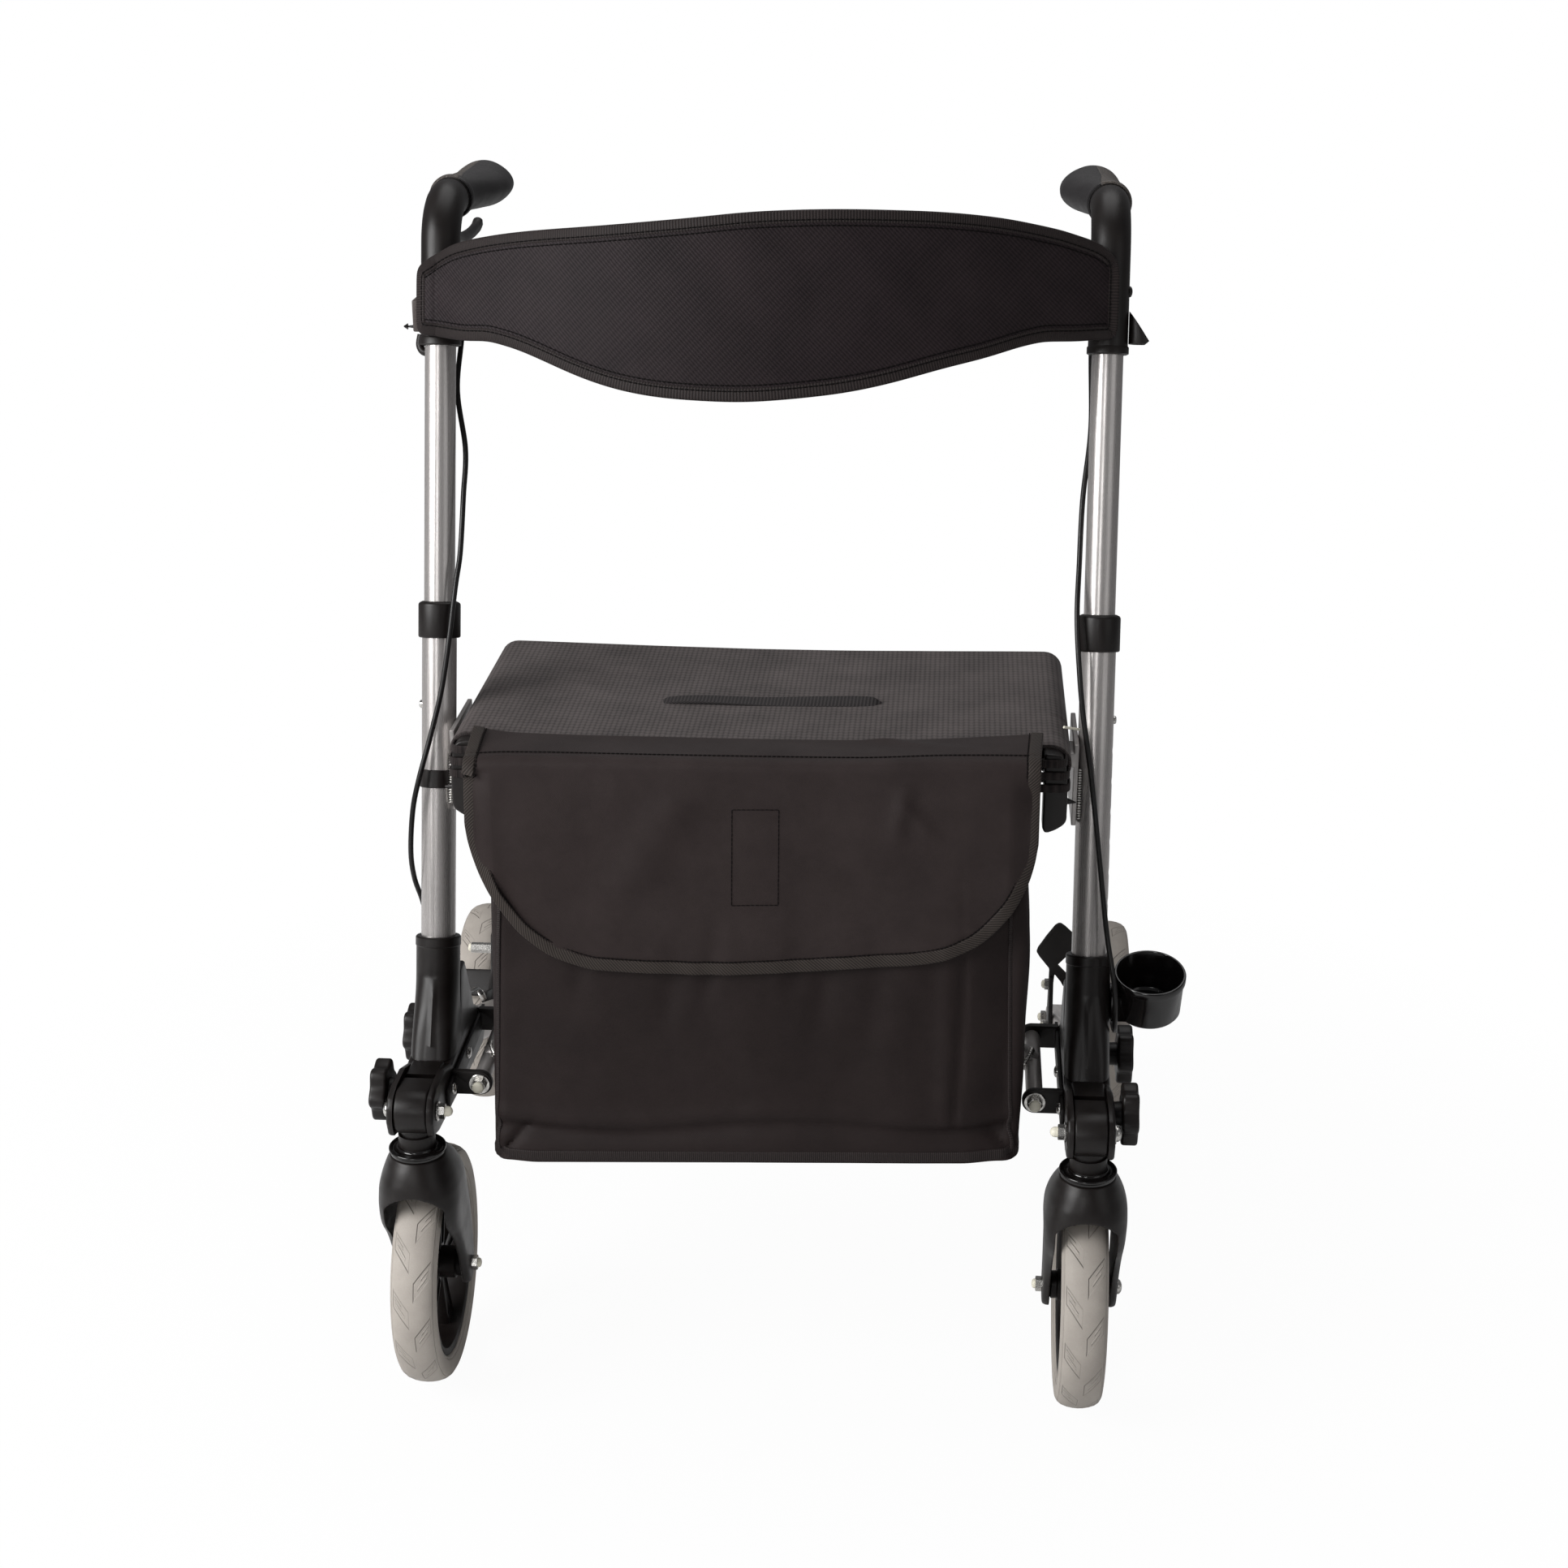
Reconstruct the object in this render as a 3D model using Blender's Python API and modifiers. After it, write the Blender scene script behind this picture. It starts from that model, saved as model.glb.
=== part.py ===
"""Four-wheel rollator with a folding cross frame, telescoping handles, hinged front casters and a bag.

Metres, +Z up. The front faces -Y, and left and right are as seen from the front: left is -X, right is +X.
Each side is modelled once, as the right-hand one, on a side frame whose x is the distance outward from the
plane of that side's tubes. The left-hand one is its mirror image.
"""

import math

import bmesh
import bpy
from mathutils import Matrix, Vector

# Fits
FIT = 0.0003            # gap between pieces that touch
RUNNING_FIT = 0.0003    # gap round pins, stems and axles

# Side frame and its tubes
TRACK_HALF = 0.2715     # tube plane to the middle plane
CUTTER_REACH = 0.2000   # how far a cutter runs past what it cuts
LEAN = math.radians(15.0)
TUBE_FOOT_Y = 0.0875    # the tubes' axis passes here
TUBE_FOOT_Z = 0.2500
HEIGHT_TUBE_RADIUS = 0.0127
HEIGHT_TUBE_WALL = 0.0012
HEIGHT_TUBE_BOTTOM_Z = 0.480
HEIGHT_TUBE_TOP_Z = 0.920
MAIN_TUBE_WALL = 0.0013
MAIN_TUBE_RADIUS = HEIGHT_TUBE_RADIUS + FIT + MAIN_TUBE_WALL
MAIN_TUBE_BOTTOM_Z = 0.300
MAIN_TUBE_TOP_Z = 0.630
COLLAR_WALL = 0.0028
COLLAR_BOTTOM_Z = 0.609
COLLAR_TOP_Z = 0.638

# Height holes and snap button
HOLE_COUNT = 7
HOLE_PITCH = 0.025
BUTTON_Z = 0.5553
BUTTON_RADIUS = 0.0034
BUTTON_PROUD = 0.0022
BUTTON_LEAF = 0.0009
BUTTON_LEAF_HALF = 0.0035
BUTTON_LEAF_LENGTH = 0.034

# Frame moulding
MOULDING_HALF = 0.0190
MOULDING_TOP_Z = 0.368
SOCKET_WALL = 0.0037
CHEEK_SLOT_HALF = 0.0138
MOULDING_OUTLINE = [
    (0.0925, 0.3400), (0.0600, 0.2780), (0.0300, 0.2885), (-0.0005, 0.2890), (-0.0160, 0.2860),
    (-0.0225, 0.2790), (-0.0255, 0.2670), (-0.0200, 0.2530), (0.0000, 0.2475), (0.0500, 0.2430),
    (0.1200, 0.2360), (0.1900, 0.2310), (0.2030, 0.2400), (0.2030, 0.2560), (0.1920, 0.2660),
    (0.1600, 0.2850), (0.1310, 0.3400),
]

# Caster block, swivel and fork
HINGE_Y = -0.0054
HINGE_Z = 0.2692
HINGE_BOLT_RADIUS = 0.0035
BLOCK_DRUM_RADIUS = 0.0185
BLOCK_REACH = 0.0635
BLOCK_REAR_TOP_Z = 0.2824
BLOCK_REAR_BOTTOM_Z = 0.2519
NECK_RADIUS = 0.0150
NECK_TOP_Z = 0.2466
NECK_CORE_RADIUS = 0.0130
FLANGE_RADIUS = 0.0230
FLANGE_THICKNESS = 0.0062
STEM_RADIUS = 0.0050
STEM_TOP_Z = 0.2555
CROWN_TOP_Z = 0.2285
FORK_GAP_HALF = 0.0247
FORK_TYRE_GAP = 0.0045
FORK_FRONT_OUTLINE = [
    (0.0222, 0.2285), (0.0262, 0.2200), (0.0310, 0.2110), (0.0334, 0.2000), (0.0328, 0.1820), (0.0312, 0.1450),
    (0.0300, 0.0800),
]
FORK_SIDE_OUTLINE = [
    (-0.0222, 0.2285), (-0.0290, 0.2150), (-0.0330, 0.2000), (-0.0325, 0.1850), (-0.0250, 0.1680),
    (-0.0040, 0.1480), (0.0238, 0.1000), (0.0290, 0.0880), (0.0410, 0.0830), (0.0530, 0.0880), (0.0582, 0.1000),
    (0.0565, 0.1400), (0.0520, 0.1850), (0.0420, 0.2080), (0.0222, 0.2285),
]

# Wheels
WHEEL_RADIUS = 0.100
TYRE_HALF = 0.0190
TYRE_DEPTH = 0.0220
TYRE_SEAT_RADIUS = WHEEL_RADIUS - TYRE_DEPTH
TYRE_SEAT_HALF = 0.0150
RIM_RING = 0.0062
HUB_RADIUS = 0.0135
SPOKE_COUNT = 5
SPOKE_ROOT_HALF = 0.0070
SPOKE_TIP_HALF = 0.0105
SPOKE_THICK_HALF = 0.0055
AXLE_RADIUS = 0.0040
FRONT_AXLE_Y = 0.0410
REAR_AXLE_Y = 0.5440
REAR_WHEEL_U = 0.0465     # middle of the rear wheel, outward from the tube plane
REAR_WHEEL_X = TRACK_HALF + REAR_WHEEL_U
REAR_HUB_HALF = 0.0160
AXLE_HEAD_RADIUS = 0.0063
AXLE_HEAD = 0.0045
NUT_RADIUS = 0.0063
NUT = 0.0052
CAP_RADIUS = 0.0040
CAP = 0.0032

# Rear leg
LEG_HALF = 0.0135
LEG_DEPTH_HALF = 0.0130
LEG_WALL = 0.0018
LEG_FRONT_Y = 0.0900
LEG_BEND_Y = 0.1900
LEG_TOP_LINE_Z = 0.2445
LEG_SOLID_END = 0.030

# Star knobs
FRONT_KNOB_Y = 0.0270
FRONT_KNOB_Z = 0.2700
REAR_KNOB_Y = 0.1765
REAR_KNOB_Z = 0.2475
KNOB_SHANK_RADIUS = 0.0030
KNOB_BOSS_RADIUS = 0.0095
KNOB_LOBES = 6
KNOB_RADIUS = 0.0228
KNOB_LOBE_DEPTH = 0.0024
FRONT_KNOB_FACE = 0.0393   # outer face from the tube plane
REAR_KNOB_FACE = 0.0447
KNOB_THICKNESS = 0.0135

# Brake arm and tip pedal
ARM_PIVOT_Y = 0.4050
ARM_PIVOT_Z = 0.1570
ARM_PIVOT_RADIUS = 0.0030
ARM_PLATE = 0.0040
SHOE_GAP = 0.0025
SHOE_THICKNESS = 0.0085
SHOE_ANGLES = (138.0, 152.0)
SHOE_OUTER = 0.0620
# Brake arm outline from the top of the shoe, round the horn and the pivot, to its foot
ARM_OUTLINE = [
    (0.4560, 0.1850), (0.4500, 0.2180), (0.4400, 0.2300), (0.4280, 0.2260), (0.4220, 0.1950), (0.4050, 0.1800),
    (0.3830, 0.1880), (0.3720, 0.1880), (0.3700, 0.1800), (0.3900, 0.1640), (0.3960, 0.1490), (0.4140, 0.1470),
]
HORN_BOLT = (0.4390, 0.2080)
HORN_BOLT_END = 0.0435
PEDAL_Y = 0.4160
PEDAL_THICKNESS = 0.0040
PEDAL_OUTLINE = [
    (-0.0362, 0.2345), (-0.0345, 0.2400), (-0.0290, 0.2520), (-0.0240, 0.2582), (-0.0200, 0.2595),
    (-0.0165, 0.2565), (-0.0085, 0.2430), (-0.0085, 0.2300), (-0.0138, 0.2100), (-0.0138, 0.1950),
    (-0.0178, 0.1950), (-0.0200, 0.2080), (-0.0345, 0.2290),
]
PEDAL_BRACKET_OUTLINE = [
    (0.4050, 0.1400), (0.4360, 0.1280), (0.4400, 0.1600), (0.4280, 0.2060), (0.4120, 0.2060), (0.4020, 0.1680),
]
PEDAL_BOLTS = [(0.4200, 0.1960), (0.4220, 0.1500)]

# Folding cross
BRACE_PIVOT_INSET = 0.0422
BRACE_PIVOT_X = TRACK_HALF - BRACE_PIVOT_INSET
BRACE_PIVOT_Z = 0.2630
LOWER_RAIL_RADIUS = 0.0070
LOWER_RAIL_FRONT_Y = 0.0613
LOWER_RAIL_BACK_Y = 0.1727
EAR_THICKNESS = 0.0060
EAR_RADIUS = 0.0105
STUD_RADIUS = 0.0040
DIAGONAL_RADIUS = 0.0095
DIAGONAL_Y = 0.1150       # middle of the two diagonals at the lower pivots' height
DIAGONAL_OFFSET = 0.0105  # each diagonal from that middle
SEAT_RAIL_INSET = 0.0380
SEAT_RAIL_X = TRACK_HALF - SEAT_RAIL_INSET
SEAT_RAIL_Z = 0.5415
SEAT_RAIL_RADIUS = 0.0110
SEAT_RAIL_FRONT_Y = 0.1050
SEAT_RAIL_BACK_Y = 0.3350
BRACKET_WEB = 0.0029
BRACKET_FRONT_Y = 0.0300
BRACKET_BACK_Y = 0.1900
BRACKET_BOTTOM_Z = 0.2525
BRACKET_TOP_Z = 0.2700
CRADLE_PLATE = 0.0040
CRADLE_FRONT_Y = 0.1350
CRADLE_BACK_Y = 0.2150
CRADLE_BOTTOM_Z = 0.4750
CRADLE_TOP_Z = 0.5450
CRADLE_LIP = 0.0035
CRADLE_LIP_BACK_Y = 0.1655

# Handle
HOUSING_RADIUS = 0.0160
HOUSING_BOTTOM_Z = 0.840
ELBOW_RADIUS = 0.040
ELBOW_START_Z = 0.9249
HOUSING_END_Y = 0.3170
CORE_RADIUS = 0.0110
CORE_END_Y = 0.3750
LUG_HALF = 0.0085
LUG_HALF_LENGTH = 0.0090
LUG_DROP = 0.0085         # lug's foot below the lever's pin
LUG_SLOT_HALF = 0.0048
LEVER_PIVOT_Y = 0.3000
LEVER_PIVOT_Z = 0.9265
LEVER_PIN_RADIUS = 0.0030
LEVER_RADIUS = 0.0048
LEVER_ROOT_RADIUS = 0.0072
LEVER_PATH = [
    (0.3020, 0.9250), (0.3250, 0.9165), (0.3550, 0.9105), (0.3900, 0.9085), (0.4180, 0.9095), (0.4300, 0.9125),
]
# Grip sections: y, centre outward, centre z, half width, half height
GRIP_SECTIONS = [
    (0.3173, 0.0000, 0.9545, 0.0183, 0.0183),
    (0.3230, 0.0000, 0.9545, 0.0183, 0.0183),
    (0.3245, 0.0000, 0.9545, 0.0160, 0.0160),
    (0.3450, -0.0010, 0.9540, 0.0165, 0.0160),
    (0.3680, -0.0065, 0.9535, 0.0225, 0.0172),
    (0.3880, -0.0115, 0.9532, 0.0245, 0.0188),
    (0.4050, -0.0125, 0.9537, 0.0238, 0.0200),
    (0.4200, -0.0105, 0.9545, 0.0205, 0.0190),
    (0.4290, -0.0075, 0.9550, 0.0150, 0.0140),
    (0.4325, -0.0060, 0.9550, 0.0085, 0.0080),
]

# Seat, backrest, bag
SLING_OVERHANG = 0.0010
SLING_HALF_X = SEAT_RAIL_X + SEAT_RAIL_RADIUS + SLING_OVERHANG
SLING_FRONT_HEM = 0.0050
SLING_FRONT_Y = SEAT_RAIL_FRONT_Y - SLING_FRONT_HEM
SLING_BACK_Y = SEAT_RAIL_BACK_Y + SLING_OVERHANG
SLING_THICKNESS = 0.0030
STRAP_LEFT_X = -0.0900
STRAP_RIGHT_X = 0.0950
STRAP_Y = 0.1965
STRAP_HALF = 0.0060
STRAP_THICKNESS = 0.0018
STRAP_RISE = 0.0030
BACKREST_THICKNESS = 0.0040
BACKREST_BOW = 0.0840     # how far the middle stands in front of the ends
# Backrest edges: share of the way from the middle to the tubes, bottom z, top z
BACKREST_EDGES = [
    (0.000, 0.8215, 0.9610), (0.221, 0.8240, 0.9590), (0.424, 0.8320, 0.9540), (0.578, 0.8420, 0.9480),
    (0.700, 0.8510, 0.9430), (0.829, 0.8560, 0.9370), (0.934, 0.8545, 0.9270), (1.000, 0.8520, 0.9170),
]
BACKREST_WRAP = [(65.0, 0.8510, 0.9120), (40.0, 0.8490, 0.9050)]   # angle round the housing, bottom z, top z
BACKREST_WRAP_GAP = 0.0010
BAG_RAIL_GAP = 0.0235     # side of the bag to the seat rail's axis
BAG_FLARE = 0.0050
BAG_HALF_TOP = SEAT_RAIL_X - BAG_RAIL_GAP
BAG_HALF_BOTTOM = BAG_HALF_TOP + BAG_FLARE
BAG_BOTTOM_Z = 0.2360
BAG_TOP_Z = 0.5560
BAG_FRONT_BOTTOM_Y = -0.0120
BAG_FRONT_TOP_Y = 0.0340
BAG_BACK_BOTTOM_Y = 0.0800
BAG_BACK_TOP_Y = 0.0940
BAG_WALL = 0.0030
BAG_TAB_Y = 0.0040        # hanging tab, in front of the rail's end
FLAP_RAIL_GAP = 0.0035
FLAP_HALF = SEAT_RAIL_X - FLAP_RAIL_GAP
FLAP_THICKNESS = 0.0030
FLAP_BOTTOM_Z = 0.3980
FLAP_FRONT_GAP = 0.0030
FLAP_CORNER = 0.0800

# Stick cup and clip, right side
CUP_U = 0.0503
CUP_X = TRACK_HALF + CUP_U
CUP_Y = 0.1100
CUP_RIM_Z = 0.3570
CUP_TILT = math.radians(14.0)
CUP_RADIUS = 0.0295
CUP_BOTTOM_RADIUS = 0.0270
CUP_WALL = 0.0025
CUP_DEPTH = 0.0400
CUP_ARM_Y = (0.1000, 0.1280)
CUP_ARM_Z = (0.3160, 0.3380)
CLIP_Z = 0.8640
CLIP_HEIGHT = 0.0320
CLIP_RADIUS = 0.0095
CLIP_WALL = 0.0020

# Brake cables: route points as (x outward from the tube plane, distance behind the tubes' axis, z)
CABLE_RADIUS = 0.0022
CABLE_SPACING = 0.0131
LEFT_CABLE_ROUTE = [
    (-0.0010, 0.0300, 0.9175), (-0.0013, 0.0302, 0.9120), (-0.0080, 0.0270, 0.8850), (-0.0135, 0.0230, 0.8500),
    (-0.0105, 0.0185, 0.8020), (-0.0195, 0.0080, 0.7570), (-0.0195, 0.0000, 0.7225), (-0.0190, -0.0100, 0.6800),
    (-0.0165, -0.0175, 0.6550), (-0.0120, -0.0222, 0.6120), (-0.0060, -0.0222, 0.5730), (0.0035, -0.0215, 0.5345),
    (0.0125, -0.0215, 0.5020), (0.0185, -0.0170, 0.4750), (0.0215, -0.0100, 0.4395), (0.0205, 0.0000, 0.4140),
    (0.0165, 0.0110, 0.3930), (0.0130, 0.0250, 0.3660), (0.0110, 0.0620, 0.3150), (0.0130, 0.1350, 0.2660),
    (0.0155, 0.2150, 0.2280), (0.0160, 0.2700, 0.2080), (0.0158, 0.3001, 0.1864),
]
RIGHT_CABLE_ROUTE = [
    (-0.0010, 0.0300, 0.9175), (-0.0013, 0.0302, 0.9120), (-0.0070, 0.0270, 0.8850), (-0.0120, 0.0220, 0.8450),
    (-0.0107, 0.0160, 0.7800), (-0.0160, 0.0060, 0.7270), (-0.0178, -0.0050, 0.6770), (-0.0188, -0.0170, 0.6400),
    (-0.0159, -0.0222, 0.6000), (-0.0118, -0.0225, 0.5655), (-0.0035, -0.0215, 0.5150), (0.0051, -0.0215, 0.4510),
    (0.0128, -0.0215, 0.3935), (0.0208, -0.0250, 0.3490), (0.0222, -0.0140, 0.3180), (0.0236, 0.0110, 0.3020),
    (0.0238, 0.0480, 0.2930), (0.0225, 0.0960, 0.2850), (0.0195, 0.1620, 0.2560), (0.0172, 0.2250, 0.2260),
    (0.0162, 0.2700, 0.2070), (0.0158, 0.3001, 0.1864),
]

# Facets
WHEEL_FACETS = 32
FINE = 24
ROUND = 18
SMALL = 12

ORIGIN_X = (CUP_X + CUP_RADIUS - REAR_WHEEL_X - TYRE_HALF) / 2.0
ORIGIN_Y = (FRONT_AXLE_Y + REAR_AXLE_Y) / 2.0

BLACK_PLASTIC = ((0.018, 0.016, 0.016), 0.42, 0.0)
SATIN_PLASTIC = ((0.030, 0.026, 0.025), 0.5, 0.0)
GLOSS_PLASTIC = ((0.010, 0.010, 0.010), 0.18, 0.0)
SILVER = ((0.46, 0.45, 0.45), 0.32, 1.0)
STEEL = ((0.60, 0.60, 0.62), 0.25, 1.0)
TYRE_GREY = ((0.42, 0.38, 0.34), 0.7, 0.0)
CLOTH = ((0.014, 0.013, 0.014), 0.85, 0.0)
MESH_CLOTH = ((0.075, 0.066, 0.062), 0.8, 0.0)
CABLE_BLACK = ((0.012, 0.012, 0.012), 0.4, 0.0)


# Bench: basic shapes

def clear_scene():
    """Remove every object that the scene holds."""
    for old in list(bpy.data.objects):
        bpy.data.objects.remove(old, do_unlink=True)


def on_tube(z, back=0.0, u=0.0):
    """Point on the tubes' axis at height z, moved back across the tube and outward."""
    y = TUBE_FOOT_Y + (z - TUBE_FOOT_Z) * math.tan(LEAN)
    return Vector((u, y + back * math.cos(LEAN), z - back * math.sin(LEAN)))


def tube_direction():
    """Unit vector up along the tubes."""
    return Vector((0.0, math.sin(LEAN), math.cos(LEAN)))


def stage_mesh(mesh, name="shape"):
    """Put a mesh on the bench as an object."""
    shape = bpy.data.objects.new(name, mesh)
    bpy.context.scene.collection.objects.link(shape)
    return shape


def from_bmesh(work):
    """Turn a bmesh into an object on the bench."""
    mesh = bpy.data.meshes.new("shape")
    work.to_mesh(mesh)
    work.free()
    return stage_mesh(mesh)


def settled(source):
    """Replace an object by the mesh that its modifiers or its curve give, welded and facing out."""
    graph = bpy.context.evaluated_depsgraph_get()
    mesh = bpy.data.meshes.new_from_object(source.evaluated_get(graph))
    place = source.matrix_world.copy()
    bpy.data.objects.remove(source, do_unlink=True)
    work = bmesh.new()
    work.from_mesh(mesh)
    bmesh.ops.remove_doubles(work, verts=work.verts, dist=0.000002)
    bmesh.ops.recalc_face_normals(work, faces=work.faces)
    work.to_mesh(mesh)
    work.free()
    mesh.transform(place)
    return stage_mesh(mesh)


def box(low, high):
    """Block between two corners."""
    low = Vector(low)
    high = Vector(high)
    work = bmesh.new()
    place = Matrix.Translation((low + high) / 2.0) @ Matrix.Diagonal((*(high - low), 1.0))
    bmesh.ops.create_cube(work, size=1.0, matrix=place)
    return from_bmesh(work)


def rod(start, end, radius, segments=ROUND, end_radius=None):
    """Cylinder, or cone where end_radius is given, between two points."""
    start = Vector(start)
    end = Vector(end)
    axis = end - start
    turn = axis.to_track_quat("Z", "Y").to_matrix().to_4x4()
    work = bmesh.new()
    bmesh.ops.create_cone(
        work, cap_ends=True, segments=segments, radius1=radius,
        radius2=radius if end_radius is None else end_radius, depth=axis.length,
        matrix=Matrix.Translation((start + end) / 2.0) @ turn,
    )
    return from_bmesh(work)


def across(y, z, u_from, u_to, radius, segments=SMALL, end_radius=None):
    """Cylinder along X at the place (y, z) of the side frame."""
    return rod((u_from, y, z), (u_to, y, z), radius, segments, end_radius)


def turned(profile, start, direction, segments, closed):
    """Turn a profile of (radius, height) points about an axis that leaves start along direction."""
    mesh = bpy.data.meshes.new("profile")
    points = [(radius, 0.0, height) for radius, height in profile]
    edges = [(i, i + 1) for i in range(len(points) - 1)]
    if closed:
        edges.append((len(points) - 1, 0))
    mesh.from_pydata(points, edges, [])
    shape = stage_mesh(mesh)
    screw = shape.modifiers.new("turn", "SCREW")
    screw.axis = "Z"
    screw.steps = segments
    screw.render_steps = segments
    screw.use_merge_vertices = True
    screw.merge_threshold = 0.00001
    turn = Vector(direction).to_track_quat("Z", "Y").to_matrix().to_4x4()
    shape = settled(shape)
    shape.data.transform(Matrix.Translation(Vector(start)) @ turn)
    return shape


def plate(outline, axis, low, high):
    """Flat plate: an outline in (y, z) run along X, or in (x, z) run along Y, from low to high."""
    curve = bpy.data.curves.new("outline", "CURVE")
    curve.dimensions = "2D"
    curve.fill_mode = "BOTH"
    curve.extrude = (high - low) / 2.0
    spline = curve.splines.new("POLY")
    spline.points.add(len(outline) - 1)
    for point, (a, b) in zip(spline.points, outline):
        point.co = (a, b, 0.0, 1.0)
    spline.use_cyclic_u = True
    shape = stage_mesh(curve)
    middle = (low + high) / 2.0
    if axis == "X":
        frame = Matrix(((0, 0, 1, middle), (1, 0, 0, 0), (0, 1, 0, 0), (0, 0, 0, 1)))
    else:
        frame = Matrix(((1, 0, 0, 0), (0, 0, -1, middle), (0, 1, 0, 0), (0, 0, 0, 1)))
    shape = settled(shape)
    shape.data.transform(frame)
    return shape


def pipe(points, radius, resolution):
    """Round bar along a run of points, with filled caps."""
    curve = bpy.data.curves.new("route", "CURVE")
    curve.dimensions = "3D"
    curve.bevel_depth = radius
    curve.bevel_resolution = resolution
    curve.use_fill_caps = True
    spline = curve.splines.new("POLY")
    spline.points.add(len(points) - 1)
    for point, place in zip(spline.points, points):
        point.co = (*place, 1.0)
    return settled(stage_mesh(curve))


def loft(rings):
    """Skin a row of rings, each with the same number of points, and close both ends."""
    work = bmesh.new()
    rows = [[work.verts.new(point) for point in ring] for ring in rings]
    count = len(rows[0])
    for near, far in zip(rows, rows[1:]):
        for i in range(count):
            j = (i + 1) % count
            work.faces.new((near[i], near[j], far[j], far[i]))
    work.faces.new(rows[0])
    work.faces.new(rows[-1])
    bmesh.ops.recalc_face_normals(work, faces=work.faces)
    return from_bmesh(work)


def combine(base, operation, others):
    """Apply one Boolean after another to base, and remove the other shapes."""
    for other in others:
        step = base.modifiers.new(operation, "BOOLEAN")
        step.operation = operation
        step.solver = "EXACT"
        step.object = other
        base = settled(base)
        bpy.data.objects.remove(other, do_unlink=True)
    return base


def join(base, *others):
    """Union."""
    return combine(base, "UNION", others)


def cut(base, *others):
    """Difference."""
    return combine(base, "DIFFERENCE", others)


def overlap_of(base, *others):
    """Intersection."""
    return combine(base, "INTERSECT", others)


def arc(centre, radius, start, end, count):
    """Points on an arc, angles in degrees from the first axis towards the second."""
    step = (end - start) / (count - 1)
    angles = [math.radians(start + step * i) for i in range(count)]
    return [(centre[0] + radius * math.cos(a), centre[1] + radius * math.sin(a)) for a in angles]


def lerp(a, b, t):
    """Value at the share t of the way from a to b."""
    return a + (b - a) * t


def moved(shape, offset):
    """Shift a shape's mesh."""
    shape.data.transform(Matrix.Translation(Vector(offset)))
    return shape


def smooth_route(points, spacing):
    """Evenly spaced points on a smooth curve through the given ones."""
    points = [Vector(p) for p in points]
    padded = [2.0 * points[0] - points[1], *points, 2.0 * points[-1] - points[-2]]
    fine = []
    for a, b, c, d in zip(padded, padded[1:], padded[2:], padded[3:]):
        for step in range(24):
            t = step / 24.0
            fine.append(0.5 * (
                2.0 * b + (c - a) * t + (2.0 * a - 5.0 * b + 4.0 * c - d) * t ** 2
                + (3.0 * b - a - 3.0 * c + d) * t ** 3
            ))
    fine.append(points[-1])
    lengths = [0.0]
    for near, far in zip(fine, fine[1:]):
        lengths.append(lengths[-1] + (far - near).length)
    count = max(2, round(lengths[-1] / spacing))
    route = []
    index = 0
    for i in range(count + 1):
        target = lengths[-1] * i / count
        while index < len(lengths) - 2 and lengths[index + 1] < target:
            index += 1
        span = lengths[index + 1] - lengths[index]
        share = 0.0 if span == 0.0 else (target - lengths[index]) / span
        route.append(fine[index].lerp(fine[index + 1], share))
    return route


# Pieces of one side, as right-hand shapes on the side frame

def ring_tube(outer, inner, bottom_z, top_z, segments):
    """Length of leaned tube between two heights."""
    length = (top_z - bottom_z) / math.cos(LEAN)
    profile = [(outer, length), (outer, 0.0), (inner, 0.0), (inner, length)]
    return turned(profile, on_tube(bottom_z), tube_direction(), segments, closed=True)


def button_hole(z, radius):
    """Cutter for a hole through the outer side of a tube."""
    centre = on_tube(z)
    return across(centre.y, centre.z, HEIGHT_TUBE_RADIUS * 0.5, MAIN_TUBE_RADIUS * 1.5, radius)


def main_tube():
    """Lower tube with its row of height holes."""
    shape = ring_tube(
        MAIN_TUBE_RADIUS, MAIN_TUBE_RADIUS - MAIN_TUBE_WALL, MAIN_TUBE_BOTTOM_Z, MAIN_TUBE_TOP_Z, FINE)
    drop = HOLE_PITCH * math.cos(LEAN)
    holes = [button_hole(BUTTON_Z - drop * i, BUTTON_RADIUS + RUNNING_FIT) for i in range(HOLE_COUNT)]
    return cut(shape, *holes)


def height_tube():
    """Upper tube, which slides in the main tube."""
    shape = ring_tube(
        HEIGHT_TUBE_RADIUS, HEIGHT_TUBE_RADIUS - HEIGHT_TUBE_WALL, HEIGHT_TUBE_BOTTOM_Z, HEIGHT_TUBE_TOP_Z, FINE)
    return cut(shape, button_hole(BUTTON_Z, BUTTON_RADIUS + RUNNING_FIT))


def tube_collar():
    """Sleeve on the main tube's top, with a lip round the height tube."""
    cosine = math.cos(LEAN)
    top = (COLLAR_TOP_Z - COLLAR_BOTTOM_Z) / cosine
    step = (MAIN_TUBE_TOP_Z + FIT - COLLAR_BOTTOM_Z) / cosine
    outer = MAIN_TUBE_RADIUS + FIT + COLLAR_WALL
    chamfer = COLLAR_WALL * 0.4
    profile = [
        (outer - chamfer, top), (outer, top - chamfer), (outer, chamfer), (outer - chamfer, 0.0),
        (MAIN_TUBE_RADIUS + FIT, 0.0), (MAIN_TUBE_RADIUS + FIT, step),
        (HEIGHT_TUBE_RADIUS + FIT, step), (HEIGHT_TUBE_RADIUS + FIT, top),
    ]
    return turned(profile, on_tube(COLLAR_BOTTOM_Z), tube_direction(), FINE, closed=True)


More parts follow.
